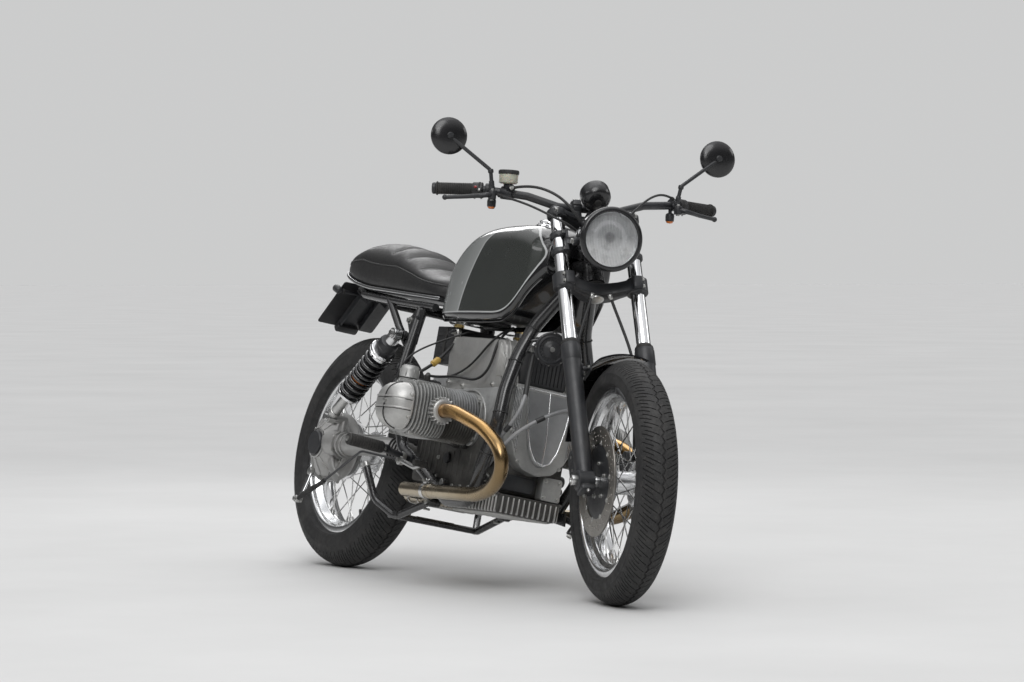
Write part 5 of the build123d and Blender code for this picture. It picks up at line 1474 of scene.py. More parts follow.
def tank_material():
    """Two finishes: a satin side panel inside a silver pinstripe, with a pale band behind, on gloss black."""
    n = Nodes("tank_paint")
    n.set(coat=1.0, coat_rough=0.03, spec=0.5)
    x, y, z = (n.math("MULTIPLY", n.attribute(k), 1000.0) for k in ("bike_x", "bike_y", "bike_z"))
    side = n.math("ABSOLUTE", y)

    def plane(px, pz, qx, qz):
        # distance outside the line from p to q, which keeps the panel on its left
        dx, dz = qx - px, qz - pz
        k = math.hypot(dx, dz)
        a, b = dz / k, -dx / k
        return n.math("ADD", n.math("MULTIPLY_ADD", x, a, -(a * px + b * pz)), n.math("MULTIPLY", z, b))

    def smax(a, b, k):
        m = n.t.nodes.new("ShaderNodeMath")
        m.operation = "SMOOTH_MAX"
        for sock, v in zip(m.inputs, (a, b, k)):
            if isinstance(v, (int, float)):
                sock.default_value = v
            else:
                n.link(v, sock)
        return m.outputs[0]
    d = smax(plane(500, 733.5, 877, 733.5), plane(905, 733, 976, 803), 60)
    d = smax(d, plane(976, 803, 1021, 893), 40)
    d = smax(d, plane(1016, 915, 962, 968), 34)
    d = smax(d, plane(960, 974, 780, 981), 30)
    d = smax(d, n.math("SUBTRACT", 64.0, side), 16)
    panel = n.range(d, -2.4, -1.8, 1.0, 0.0)
    stripe = n.range(n.math("ABSOLUTE", d), 1.7, 2.3, 1.0, 0.0)
    zz = n.math("SUBTRACT", z, 736.0)
    edge = n.math("ADD", n.math("MULTIPLY_ADD", zz, 0.16, 650.0), n.math("MULTIPLY", n.math("MULTIPLY", zz, zz), 0.0015))
    into = n.math("SUBTRACT", edge, x)
    band = n.math("MULTIPLY", panel, n.range(into, -0.6, 0.6, 0.0, 1.0))
    pale = n.math("MULTIPLY", panel, n.range(n.math("ABSOLUTE", n.math("ADD", into, -3.0)), 2.4, 3.2, 1.0, 0.0))
    fade = n.range(into, 6.0, 70.0, 1.0, 0.0)
    flake = n.range(n.noise(2600.0, 2.0, 0.6), 0.35, 0.7, 0.0, 1.0)
    black = n.mix(flake, (0.0045, 0.0045, 0.005), (0.0075, 0.0075, 0.0085))
    satin = n.mix(flake, (0.026, 0.030, 0.027), (0.046, 0.050, 0.046))
    grey = n.mix(fade, (0.185, 0.195, 0.19), (0.275, 0.285, 0.28))
    grey = n.mix(n.math("MULTIPLY", flake, 0.4), grey, (0.36, 0.37, 0.37))
    silver = n.mix(flake, (0.42, 0.43, 0.43), (0.60, 0.61, 0.61))
    colour = n.mix(panel, black, satin)
    colour = n.mix(band, colour, grey)
    colour = n.mix(pale, colour, (0.46, 0.47, 0.47))
    colour = n.mix(stripe, colour, silver)
    rough = n.range(n.noise(16.0, 5.0, 0.6), 0.3, 0.7, 0.18, 0.28)
    peel = n.bump(n.noise(190.0, 2.0, 0.5), 0.0003, 0.03)
    return n.finish(colour, rough, peel)


def tank_piece():
    xs = [s[0] for s in TANK]
    half, low, high = (smooth_table(xs, [s[k] for s in TANK]) for k in (1, 2, 3))
    stations = [501 + 520 * (0.5 - 0.5 * math.cos(math.pi * k / 70)) for k in range(71)]

    def ring(x, shrink=0.0, off=0.0):
        w, lo, hi = half(x) - shrink, low(x) + shrink, high(x) - shrink
        tall = hi - lo
        # from the middle of the underside, round the right side, to the crown and back
        pts = []
        rb = min(20.0, tall * 0.3, w * 0.4)
        rt = min(78.0, tall * 0.46, w * 0.62)
        crown = min(9.0, tall * 0.08)
        profile = []
        # underside flat, bottom corner, side with a slight belly, top shoulder, crown
        for k in range(5):
            profile.append((34 + (w - rb - 34) * k / 4, lo))
        for k in range(1, 9):
            t = math.pi / 2 * k / 8
            profile.append((w - rb + rb * math.sin(t), lo + rb - rb * math.cos(t)))
        n_side = 12
        z0, z1 = lo + rb, hi - crown - rt * 0.86
        for k in range(1, n_side):
            s = k / n_side
            zz = z0 + (z1 - z0) * s
            profile.append((w - 2.2 * s ** 2.0 * (w / 136.0), zz))
        w1 = w - 2.2 * (w / 136.0)
        for k in range(0, 15):
            t = math.pi / 2 * k / 14
            profile.append((w1 - rt + rt * math.cos(t) ** 0.94, z1 + (hi - crown - z1) * math.sin(t) ** 1.0))
        wt = w1 - rt
        for k in range(1, 6):
            s = k / 5
            profile.append((wt * (1 - s), hi - crown + crown * (1 - (1 - s) ** 2)))
        for y, z in profile:
            pts.append((x + off, -y, z))
        for y, z in reversed(profile[:-1]):
            pts.append((x + off, y, z))
        # tunnel over the backbone
        pts += [(x + off, 33, min(lo + 170, hi - 40)), (x + off, -33, min(lo + 170, hi - 40))]
        return np.array(pts)
    rings = []
    for k in range(6):
        t = math.pi / 2 * k / 6
        rings.append(ring(501, 12 * (1 - math.sin(t)), -9 * math.cos(t) + 0.0))
    rings += [ring(x) for x in stations]
    for k in range(1, 9):
        t = math.pi / 2 * k / 8
        rings.append(ring(1021, 14 * (1 - math.cos(t)), 9 * math.sin(t)))
    p = Piece("fuel_tank_detail", "chassis", "tank_paint")
    p.add(skin(rings), tank_material())
    # seam lip along the underside
    for side in (-1, 1):
        lip = [vec(x, side * (half(x) - 12), low(x) - 1.2) for x in stations[2:-6]]
        p.add(sweep(lip, [(x, y) for x, y in rounded(3.0, 9.0, 1.2, 3)], ref=(0, 0, 1)), M["gloss"])
    # the fuel tap under the tank
    p.done("fuel_tank", angle=42)
    q = Piece("fuel_tap", "chassis", "chrome")
    for side in (-1, 1):
        q.add(rod((610, side * 96, 712), (610, side * 96, 694), 11, 24, soft=1.5), M["zinc"])
        q.add(hexagon((610, side * 96, 703), (0, 0, -1), 24, 9), M["brass"])
        q.add(rod((610, side * 96, 690), (610, side * 96, 664), 9.5, 24, soft=2), M["zinc"])
        q.add(rod((610, side * 96, 680), (610, side * 116, 680), 6.4, 20, soft=1), M["zinc"])
        q.add(block((618, side * 118, 680), (30, 9, 5), (1, 0, 0.25), (0, 1, 0), 1.6), M["satin"])
        q.add(rod((610, side * 96, 666), (604, side * 100, 648), 4.4, 16, soft=0.6), M["zinc"])
        hose = spline([(605, side * 99, 650), (590, side * 116, 612), (600, side * 164, 566), (618, side * 214, 540), (618, side * 232, 520)], 10)
        q.add(sweep(hose, circle(4.6, 14)), M["hose"])
        k = len(hose) // 3
        d = unit(hose[k + 1] - hose[k - 1])
        q.add(lathe([(-17, 0), (-17, 5), (-13, 6), (-11, 9.5), (11, 9.5), (13, 6), (17, 5), (17, 0)], hose[k], d, 24), M["yellow"])
    q.done(angle=35)

    c = Piece("fuel_cap_detail", "chassis", "chrome")
    o = vec(850, 0, 990)
    c.add(lathe([(0, 0), (0, 44), (5.0, 43.4), (6.2, 41.8), (6.6, 39.0), (8.0, 37.6), (13.5, 37.4), (17.5, 35.4), (20.4, 30), (21.8, 20), (22, 0)], o, (0, 0, 1), 96), M["chrome"])
    for k in range(24):
        t = 2 * math.pi * k / 24
        c.add(block(o + vec(37.6 * math.cos(t), 37.6 * math.sin(t), 10.5), (1.6, 3.0, 6.0), (math.cos(t), math.sin(t), 0), (-math.sin(t), math.cos(t), 0), 0.5), M["chrome"])
    c.add(rod(o + vec(0, 0, 21.4), o + vec(0, 0, 23.0), 9.0, 32, soft=0.8), M["zinc"])
    c.add(block(o + vec(0, 0, 23.0), (8.4, 1.6, 0.8), soft=0.2), M["plastic"])
    c.add(block(o + vec(-41, 0, 6), (12, 24, 7), soft=1.5), M["chrome"])
    c.done("fuel_cap", angle=35)


SEAT_TOP = smooth_table([-151, -146, -132, -110, -90, -49, 0, 40, 80, 135, 199, 259, 314, 364, 420, 470, 498],
                        [861, 876, 893, 911, 921, 935, 946, 950, 949.5, 943, 930, 910, 888, 867, 852, 845, 841])
SEAT_LOW = smooth_table([-151, -118, -60, 30, 96, 180, 262, 380, 486, 498], [867, 853, 834, 814.6, 806, 800, 794, 786, 780, 780])
SEAT_HALF = smooth_table([-151, -149, -143, -130, -105, -60, 0, 80, 400, 450, 482, 498], [24, 40, 58, 75, 90, 102, 109, 111.5, 111.5, 108, 100, 90])


def seat_pieces():
    stations = [-151, -150, -148, -144, -138, -130] + [-122 + 612 * k / 102 for k in range(103)] + [494, 497, 498]
    rings, crown = [], []
    for x in stations:
        w, lo, hi = SEAT_HALF(x), SEAT_LOW(x), SEAT_TOP(x)
        wall = min(66.0, (hi - lo) * 0.52) if x > -100 else (hi - lo) * 0.45
        ridge = 0.0
        for at, deep, wide in ((158, 9.0, 13), (246, 7.5, 13), (336, 6.0, 13)):
            ridge -= deep * math.exp(-((x - at) / wide) ** 2)
        for at, high, wide in ((202, 3.0, 26), (290, 3.0, 26), (390, 2.5, 34)):
            ridge += high * math.exp(-((x - at) / wide) ** 2)
        shoulder = lo + wall
        prof = []
        for k in range(8):
            s = k / 7
            bulge = 2.6 * math.sin(math.pi * s) - 3.0 * math.exp(-(s / 0.10) ** 2)
            prof.append((w - 1.5 + bulge * (w / 112.0), lo + wall * 0.96 * s, 0.0))
        # piped seam between the side wall and the top
        prof.append((w - 2.6, shoulder + 0.2, 0.0))
        n = 16
        for k in range(1, n + 1):
            t = math.pi / 2 * k / n
            y = (w - 2.2) * math.cos(t) ** 0.86
            z = shoulder + (hi - shoulder) * math.sin(t) ** 0.92
            fade = max(0.0, 1 - (abs(y) / (w - 12)) ** 6) if abs(y) < w - 12 else 0.0
            prof.append((y, z + ridge * fade, math.sin(t)))
        ring = [(x, -y, z) for y, z, c in prof] + [(x, y, z) for y, z, c in reversed(prof[:-1])]
        rings.append(np.array(ring))
        # crown: how far each point faces up, which the leather uses to paint the top lighter (painted highlight)
        crown += [c for y, z, c in prof] + [c for y, z, c in reversed(prof[:-1])]
    p = Piece("seat_cushion_detail", "chassis", "leather")
    p.add(skin(rings), M["leather"], field={"crown": crown})
    # piping along the shoulder seam, and stitches in the valleys between the ridges
    for side in (-1, 1):
        line = []
        for x in stations[4:-2]:
            w, lo, hi = SEAT_HALF(x), SEAT_LOW(x), SEAT_TOP(x)
            wall = min(66.0, (hi - lo) * 0.52) if x > -100 else (hi - lo) * 0.45
            line.append(vec(x, side * (w - 1.2), lo + wall + 0.6))
        p.add(sweep(line, circle(2.1, 10)), M["leather"])
    ob = p.done("seat_cushion", angle=70)
    st = Piece("seat_stitching", "chassis", "leather")
    stitches = []
    for at in (152, 164, 240, 252, 330, 342):
        w, lo, hi = SEAT_HALF(at), SEAT_LOW(at), SEAT_TOP(at)
        wall = min(66.0, (hi - lo) * 0.52)
        shoulder = lo + wall
        ridge = 0.0
        for a2, deep, wide in ((158, 9.0, 13), (246, 7.5, 13), (336, 6.0, 13)):
            ridge -= deep * math.exp(-((at - a2) / wide) ** 2)

        def surface_at(y):
            c = min(1.0, abs(y) / (w - 2.2)) ** (1 / 0.86)
            s = math.sqrt(max(0.0, 1 - c * c))
            fade = max(0.0, 1 - (abs(y) / (w - 12)) ** 6) if abs(y) < w - 12 else 0.0
            return shoulder + (hi - shoulder) * s ** 0.92 + ridge * fade
        y = -(w - 16)
        while y < w - 16:
            a, b = vec(at, y, surface_at(y) + 0.45), vec(at, y + 3.4, surface_at(y + 3.4) + 0.45)
            stitches.append(tube([a, b], 0.55, n=6))
            y += 5.2
    st.add(join(stitches), M["hose"])
    st.done(angle=60)

    b = Piece("seat_pan_detail", "chassis", "black_plastic")
    rings = []
    pan = [x for x in stations if x <= 486]
    for x in pan:
        w = SEAT_HALF(x) + 3.0
        lo = SEAT_LOW(x) - 0.6
        sec = [(-w, lo), (-w, lo - 3), (-w + 2, lo - 9), (-w + 7, lo - 11.5), (w - 7, lo - 11.5), (w - 2, lo - 9), (w, lo - 3), (w, lo)]
        rings.append(np.array([(x, y, z) for y, z in sec]))
    b.add(skin(rings), M["satin"])
    # bright edge strip all round the pan
    right = [vec(x, -(SEAT_HALF(x) + 3.8), SEAT_LOW(x) - 4.4) for x in pan]
    left = [vec(x, SEAT_HALF(x) + 3.8, SEAT_LOW(x) - 4.4) for x in pan]
    tip = [vec(-151 - 3.6 * math.cos(t), 27.8 * math.sin(t), SEAT_LOW(-151) - 4.4) for t in np.linspace(-math.pi / 2, math.pi / 2, 15)[1:-1]]
    strip = list(reversed(right)) + tip + left
    b.add(sweep(strip, rounded(3.2, 8.4, 1.4, 3), ref=(0, 1, 0)), M["alloy"])
    b.done("seat_base", angle=35)


def tail_pieces():
    n = unit(vec(-118, 0, 130))
    o = vec(-181, 0, 764)
    _, u, w = basis(n, (0, 1, 0))       # u to the left, w down the plate
    p = Piece("number_plate_detail", "chassis", "plate")
    p.add(plate(rounded(185, 175, 7, 6), o, u, np.cross(n, u), 2.6, 0.6), M["plate"])
    p.add(plate(rounded(187, 177, 8, 6), o - n * 1.6, u, np.cross(n, u), 1.6, 0.3), M["plastic"])
    down = -unit(np.cross(n, u)) if np.cross(n, u)[2] > 0 else unit(np.cross(n, u))
    for side in (-1, 1):
        p.add(bolt(o + n * 2.6 + u * side * 62 - down * 66, n, 4.0, 3.0), M["zinc"])
        p.add(bolt(o + n * 2.6 + u * side * 62 + down * 66, n, 4.0, 3.0), M["zinc"])
    # folded bracket under the plate
    sec = [(-34, 0), (34, 0)]
    spine = [vec(-62, 0, 782), vec(-118, 0, 806), vec(-150, 0, 782), vec(-236, 0, 706)]
    p.add(sweep(route(spine, [18, 40], 8), rounded(68, 5, 1.6, 3), ref=(0, 1, 0)), M["satin"])
    for side in (-1, 1):
        p.add(sweep(route([vec(-66, side * 32, 774), vec(-118, side * 32, 796), vec(-172, side * 32, 748), vec(-214, side * 32, 710)], [14, 40], 8), rounded(3, 18, 1.0, 2), ref=(0, 1, 0)),
              M["satin"])
    # tail lamp: a slim box under the plate's lower edge
    low = o + down * 80
    p.add(block(low - n * 12 + down * 2, (72, 24, 20), u, down, 4), M["plastic"])
    p.add(block(low + down * 12 - n * 10, (62, 5, 14), u, down, 1.6), M["red"])
    # lamp over the plate, indicators on their stems
    p.add(block(o - down * 80 + n * 10, (66, 14, 11), u, down, 4), M["plastic"])
    p.add(block(o - down * 76 + n * 10, (52, 5, 7), u, down, 1.6), M["cup"])
    p.add(tube([(-124, -104, 796), (-124, 104, 796)], 5.0, n=24), M["satin"])
    for side in (-1, 1):
        c = vec(-132, side * 104, 799)
        axis = unit((-32, 0, 10))
        p.add(lathe([(-17, 0), (-16.4, 5), (-13, 9), (-6, 11.4), (6, 12.0), (12, 11.6)], c, axis, 36), M["satin"])
        p.add(lathe([(11.6, 11.3), (13.4, 10.8), (16.4, 8.6), (18.4, 4.6), (19.0, 0)], c, axis, 36), M["orange"])
        p.add(rod(vec(-124, side * 92, 796), vec(-124, side * 84, 796), 7.4, 24, soft=1.5), M["rubber"])
    p.done("number_plate", angle=35)

    b = Piece("battery_box_detail", "chassis", "black_plastic")
    for side in (-1, 1):
        b.add(block((529, side * 82, 646), (108, 8, 106), (1, 0, 0), (0, 1, 0), 2.5), M["plastic"])
        for z in (612, 646, 680):
            b.add(block((529, side * 86.4, z), (92, 2.4, 12), (1, 0, 0), (0, 1, 0), 1.0), M["plastic"])
    b.add(block((529, 0, 646), (104, 158, 104), (1, 0, 0), (0, 1, 0), 4), M["satin"])
    b.add(block((529, 0, 694), (108, 150, 8), (1, 0, 0), (0, 1, 0), 2.5), M["plastic"])
    for side in (-1, 1):
        b.add(rod((500, side * 40, 696), (500, side * 40, 706), 7.5, 24, soft=1), M["zinc"])
    b.add(sweep([vec(529, -88, 600), vec(529, -88.4, 660), vec(529, -86, 698)], rounded(14, 2.2, 0.8, 2), ref=(1, 0, 0)), M["rubber"])
    b.done("battery_box", angle=35)


tank_piece()
seat_pieces()
tail_pieces()


# ------------------------------------------------------------------ engine
CYL_Z = 438.0
CYL_X = {-1: 768.0, 1: 806.0}


def prism(outline, half, soft=4.0, y0=None):
    """A side outline (x, z) carried across from -half to half, with softened edges."""
    pts = list(outline)
    area = sum(pts[i][0] * pts[(i + 1) % len(pts)][1] - pts[(i + 1) % len(pts)][0] * pts[i][1] for i in range(len(pts)))
    if area < 0:
        pts.reverse()
    start = half if y0 is None else y0[1]
    thick = 2 * half if y0 is None else y0[1] - y0[0]
    # u x w = (1,0,0) x (0,0,1) = (0,-1,0): thickness runs to the right
    return plate(pts, (0, start, 0), (1, 0, 0), (0, 0, 1), thick, soft)


def round_corners(pts, radius, n=5):
    """The polygon with its corners rounded."""
    out = []
    k = len(pts)
    for i in range(k):
        a, b, c = vec(*pts[i - 1]), vec(*pts[i]), vec(*pts[(i + 1) % k])
        r = radius[i] if hasattr(radius, "__len__") else radius
        d0, d1 = unit(a - b), unit(c - b)
        ang = math.acos(max(-1, min(1, d0 @ d1)))
        cut = min(r / math.tan(ang / 2), 0.45 * np.linalg.norm(a - b), 0.45 * np.linalg.norm(c - b)) if ang < math.pi - 0.02 else 0
        p0, p1 = b + d0 * cut, b + d1 * cut
        for j in range(n + 1):
            t = j / n
            q = (1 - t) ** 2 * p0 + 2 * t * (1 - t) * b + t * t * p1
            out.append((q[0], q[1]))
    return out


def across_ring(x, y, z, wide, tall, r, n=6):
    """A rounded rectangle in the plane across the machine at y: x forward, z up."""
    return np.array([(x + a, y, z + b) for a, b in rounded(wide, tall, r, n)])


def cylinder_pieces():
    p = Piece("cylinders_detail", "chassis", "cast_grey")
    for side in (-1, 1):
        x = CYL_X[side]
        # barrel core and head core, in the dark cast colour that paints the shade between the fins
        p.add(skin([across_ring(x, side * y, CYL_Z, w, h, r) for y, w, h, r in
                    ((107.5, 128, 126, 60), (112, 128, 126, 60), (216, 122, 120, 58))]), M["painted_shade_cast"])
        p.add(skin([across_ring(x, side * y, CYL_Z, w, h, r) for y, w, h, r in
                    ((214, 126, 120, 50), (240, 132, 124, 48), (316, 134, 120, 46), (321, 134, 120, 46))]), M["painted_shade_cast"])
        # base flange with its studs
        p.add(skin([across_ring(x, side * y, CYL_Z, w, h, r) for y, w, h, r in
                    ((107.4, 148, 140, 40), (108.4, 150, 142, 40), (115.4, 150, 142, 40), (116.4, 148, 140, 40))]), M["cast"])
        for a, b in ((-60, 52), (60, 52), (-60, -52), (60, -52)):
            p.add(hexagon((x + a, side * 115.5, CYL_Z + b), (0, side, 0), 15, 7), M["zinc"])
        # barrel fins: thin rounded plates, each a little different in edge
        for k in range(11):
            y = 124 + k * 8.4
            w, h, r = 157.0, 147.0, 62.0
            th = 2.3
            rings = [across_ring(x, side * (y + d), CYL_Z, w - s, h - s, r - s / 2, 8) for d, s in
                     ((-th * 0.95, 26), (-th * 0.55, 2.2), (-th * 0.32, 0.5), (th * 0.32, 0.5), (th * 0.55, 2.2), (th * 0.95, 26))]
            p.add(skin(rings, start=False, end=False), M["barrel"])
        # head fins: fewer, thicker and squarer, split for the exhaust port
        for k in range(11):
            y = 221 + k * 9.3
            grow = [0, 2, 4, 5, 5, 4, 3, 2, 0, -4, -10][k]
            w, h, r = 166.0 + grow, 150.0 + grow, 50.0
            th = 3.2
            rings = [across_ring(x, side * (y + d), CYL_Z, w - s, h - s, r - s / 2, 8) for d, s in
                     ((-th * 0.9, 24), (-th * 0.6, 2.6), (-th * 0.35, 0.6), (th * 0.35, 0.6), (th * 0.6, 2.6), (th * 0.9, 24))]
            p.add(skin(rings, start=False, end=False), M["cast"])
        # ribs between the head fins, above and below
        for a in (-52, -26, 26, 52):
            for s in (-1, 1):
                p.add(block((x + a, side * 266, CYL_Z + s * 69), (4.0, 92, 12), (1, 0, 0), (0, 1, 0), 1.4), M["cast"])
        # exhaust port in front, inlet port behind
        p.add(lathe([(40, 0), (40, 30), (44, 33.0), (84, 31.0), (86, 28), (86, 0)], (x, side * 250, 440), (1, 0, 0), 48), M["cast"])
        p.add(lathe([(-40, 0), (-40, 27), (-84, 25.5), (-87, 23.5), (-87, 0)], (x, side * 250, 466), (1, 0, 0), 48), M["cast"])
        # head nuts, spark plug and its cap
        for a, b in ((-48, 44), (48, 44), (-48, -44), (48, -44)):
            p.add(bolt((x + a, side * 317, CYL_Z + b), (0, side, 0), 5.0, 3.4), M["zinc"])
        plug = vec(x + 24, side * 262, CYL_Z + 58)
        out = unit((0.25, side * 0.35, 1))
        p.add(lathe([(0, 0), (0, 9.5), (6, 9.5), (6.2, 6.5), (16, 6.0), (18, 8.4), (30, 8.8), (38, 8.0), (40, 6.2), (40, 0)], plug, out, 24), M["rubber"])
        elbow = plug + out * 33
        p.add(tube([elbow, elbow + unit((-0.8, -side * 0.5, 0.35)) * 24], 6.6, n=18), M["rubber"])
        lead = [elbow + unit((-0.8, -side * 0.5, 0.35)) * 18, elbow + vec(-52, -side * 60, 8), vec(744, side * 152, 556), vec(796, side * 124, 540), vec(838, side * 113, 572),
                vec(852, side * 110, 620), vec(850, side * 104, 672), vec(842, side * 60, 704)]
        p.add(sweep(spline(lead, 12), circle(3.6, 14)), M["hose"])
        # the pushrod tubes under the barrel
        for a in (-26, 18):
            p.add(rod((x + a, side * 112, CYL_Z - 68), (x + a, side * 222, CYL_Z - 62), 8.5, 24), M["stainless"])
            p.add(rod((x + a, side * 108, CYL_Z - 68.4), (x + a, side * 124, CYL_Z - 67.6), 12.5, 24, soft=3), M["rubber"])
    p.done("cylinders", angle=38)

    p = Piece("rocker_covers_detail", "chassis", "cast_grey")
    for side in (-1, 1):
        x = CYL_X[side]

        def ring(y, w, h, r, dx=0.0):
            return across_ring(x + dx, side * y, CYL_Z, w, h, r, 9)
        shape = ((321.6, 147, 127, 50), (322.6, 149, 129, 50), (326, 149, 129, 50), (327, 146, 126, 50), (338, 142, 122, 49), (349, 134, 114, 47), (358, 124, 103, 43),
                 (365.5, 110, 89, 37), (371, 92, 71, 29), (374, 68, 48, 20))
        p.add(skin([ring(*q) for q in shape], start=False), M["cast_pale"])
        # gasket
        p.add(skin([ring(320.4, 145, 125, 49), ring(321.9, 145, 125, 49)], start=False, end=False), M["rubber"])
        # two long ribs fore and aft and a strap from top to bottom, laid on the cover's surface
        def out_at(dx, dz):
            # how far out the cover reaches over this point of its section
            best = 322.0
            for (y0, w0, h0, r0), (y1, w1, h1, r1) in zip(shape[3:], shape[4:]):
                for t in (0.0, 0.25, 0.5, 0.75, 1.0):
                    w, h, r = (w0 + (w1 - w0) * t) / 2, (h0 + (h1 - h0) * t) / 2, r0 + (r1 - r0) * t
                    ex, ez = max(0.0, abs(dx) - (w - r)), max(0.0, abs(dz) - (h - r))
                    if abs(dx) <= w and abs(dz) <= h and math.hypot(ex, ez) <= r:
                        best = max(best, y0 + (y1 - y0) * t)
            return best
        for b in (19, -9):
            path = []
            for k in range(-22, 23):
                dx = 72.6 * math.sin(math.pi / 2 * k / 22)
                path.append(vec(x + dx, side * (out_at(dx, b) + 1.0), CYL_Z + b))
            arr = np.array(path)
            for _ in range(3):
                arr[1:-1] = 0.25 * arr[:-2] + 0.5 * arr[1:-1] + 0.25 * arr[2:]
            p.add(sweep(arr, rounded(5.0, 4.4, 1.6, 3), ref=(0, 0, 1)), M["cast_pale"])
            p.add(sweep(arr + np.array((0, 0, -3.6)) + np.array((0, -side * 0.9, 0)), circle(1.2, 8)), M["rubber"])
        path = []
        for k in range(-20, 21):
            dz = 62.4 * math.sin(math.pi / 2 * k / 20)
            path.append(vec(x + 8, side * (out_at(8, dz) + 0.5), CYL_Z + dz))
        arr = np.array(path)
        for _ in range(3):
            arr[1:-1] = 0.25 * arr[:-2] + 0.5 * arr[1:-1] + 0.25 * arr[2:]
        p.add(sweep(arr, rounded(2.4, 6.0, 0.9, 2), ref=(1, 0, 0)), M["hose"])
        p.add(lathe([(0, 0), (0, 9.5), (2.2, 9.5), (2.6, 8.2), (2.6, 0)], (x + 8, side * 373.2, CYL_Z + 6), (0, side, 0), 28), M["zinc"])
        p.add(hexagon((x + 8, side * 375.4, CYL_Z + 6), (0, side, 0), 13, 3.0), M["zinc"])
        for a in (-66, 66):
            for b in (-1, 1):
                p.add(rod((x + a, side * 322, CYL_Z + b * 30), (x + a, side * 331, CYL_Z + b * 30), 7.5, 24, soft=1.5), M["cast_pale"])
                p.add(bolt((x + a, side * 331, CYL_Z + b * 30), (0, side, 0), 4.2, 2.4, socket=True), M["zinc"])
    p.done("rocker_covers", angle=38)


def carburettor_pieces():
    p = Piece("carburettors_detail", "chassis", "cast_grey")
    for side in (-1, 1):
        x = CYL_X[side]
        c = vec(x - 132, side * 240, 0)
        p.add(rod((x - 86.4, side * 250, 466), (x - 106, side * 250, 466), 21.0, 36, soft=1.5), M["rubber"])
        for a in (-92, -101):
            p.add(lathe([(-1.8, 21), (-1.8, 22.4), (1.8, 22.4), (1.8, 21)], (x + a, side * 250, 466), (1, 0, 0), 40), M["zinc"])
        p.add(tube([(x - 100, side * 250, 467), (x - 146, side * 240, 486)], 19.5, n=32), M["cast"])
        # float bowl with its clip, body, vacuum dome and cap
        p.add(lathe([(446, 0), (446, 20), (448, 23), (452, 25), (478, 26), (480, 27.4), (483.5, 27.4), (485, 25), (512, 25.6), (516, 28.6), (521, 30), (524, 30), (526, 29),
                     (548, 28.4), (556, 26.6), (560.5, 22), (562, 14), (562, 0)], c, (0, 0, 1), 48), M["cast"])
        p.add(lathe([(560, 0), (560, 10), (566, 9.6), (567, 8), (567, 0)], c, (0, 0, 1), 24), M["plastic"])
        p.add(lathe([(523, 28), (523.4, 30.9), (526.6, 30.9), (527, 28)], c, (0, 0, 1), 48), M["rubber"])
        p.add(lathe([(553, 27), (553, 21.4), (560.6, 21.4), (562.6, 19), (562.8, 0)], c, (0, 0, 1), 48), M["plastic"])
        for k in range(8):
            t = 2 * math.pi * k / 8
            p.add(block(c + vec(28.9 * math.cos(t), 28.9 * math.sin(t), 539), (2.4, 3.2, 20), (math.cos(t), math.sin(t), 0), (-math.sin(t), math.cos(t), 0), 0.8), M["cast"])
        p.add(sweep(route([c + vec(-27.6, 0, 484), c + vec(-28, 0, 452), c + vec(0, 0, 444.6), c + vec(28, 0, 452), c + vec(27.6, 0, 484)], [12, 30, 12], 12), circle(1.3, 8)), M["zinc"])
        for k in range(4):
            t = math.radians(45 + 90 * k)
            p.add(bolt(c + vec(24.5 * math.cos(t), 24.5 * math.sin(t), 524), (0, 0, 1), 3.0, 3.0, washer=False, socket=True), M["zinc"])
        # throttle lever, its cable and the choke body outside
        p.add(rod(c + vec(4, side * 22, 492), c + vec(4, side * 34, 492), 7.0, 24, soft=1), M["zinc"])
        p.add(block(c + vec(-2, side * 33, 500), (12, 3.0, 30), (1, 0, 0), (0, 1, 0), 1.0), M["zinc"])
        cable = [c + vec(-2, side * 33, 514), c + vec(-4, side * 30, 560), c + vec(20, side * 6, 606), vec(640 + (x - 768), side * 150, 650), vec(664, side * 92, 684)]
        p.add(sweep(spline(cable, 10), circle(2.6, 12)), M["hose"])
        p.add(block(c + vec(14, side * 28, 470), (24, 10, 22), (1, 0, 0), (0, 1, 0), 2.5), M["cast"])
        # intake elbow to the air box
        inner = 92.6 if side < 0 else 104.4
        p.add(tube([(x - 144, side * 240, 485), (x - 222, side * 222, 516), (x - 222, side * inner, 522)], 20.0, 40, n=36), M["plastic"])
        p.add(lathe([(-2, 20), (-2, 21.6), (2, 21.6), (2, 20)], (x - 160, side * 236.6, 491.2), unit((-78, -side * 18, 31)), 40), M["zinc"])
        for k in range(3):
            y = inner + 12 + 9 * k
            p.add(lathe([(-2.4, 19.6), (-1.2, 21.6), (1.2, 21.6), (2.4, 19.6)], (x - 222, side * y, 522 - 6 * (y - inner) / 130), (0, 1, 0), 40), M["plastic"])
    p.done("carburettors", angle=35)


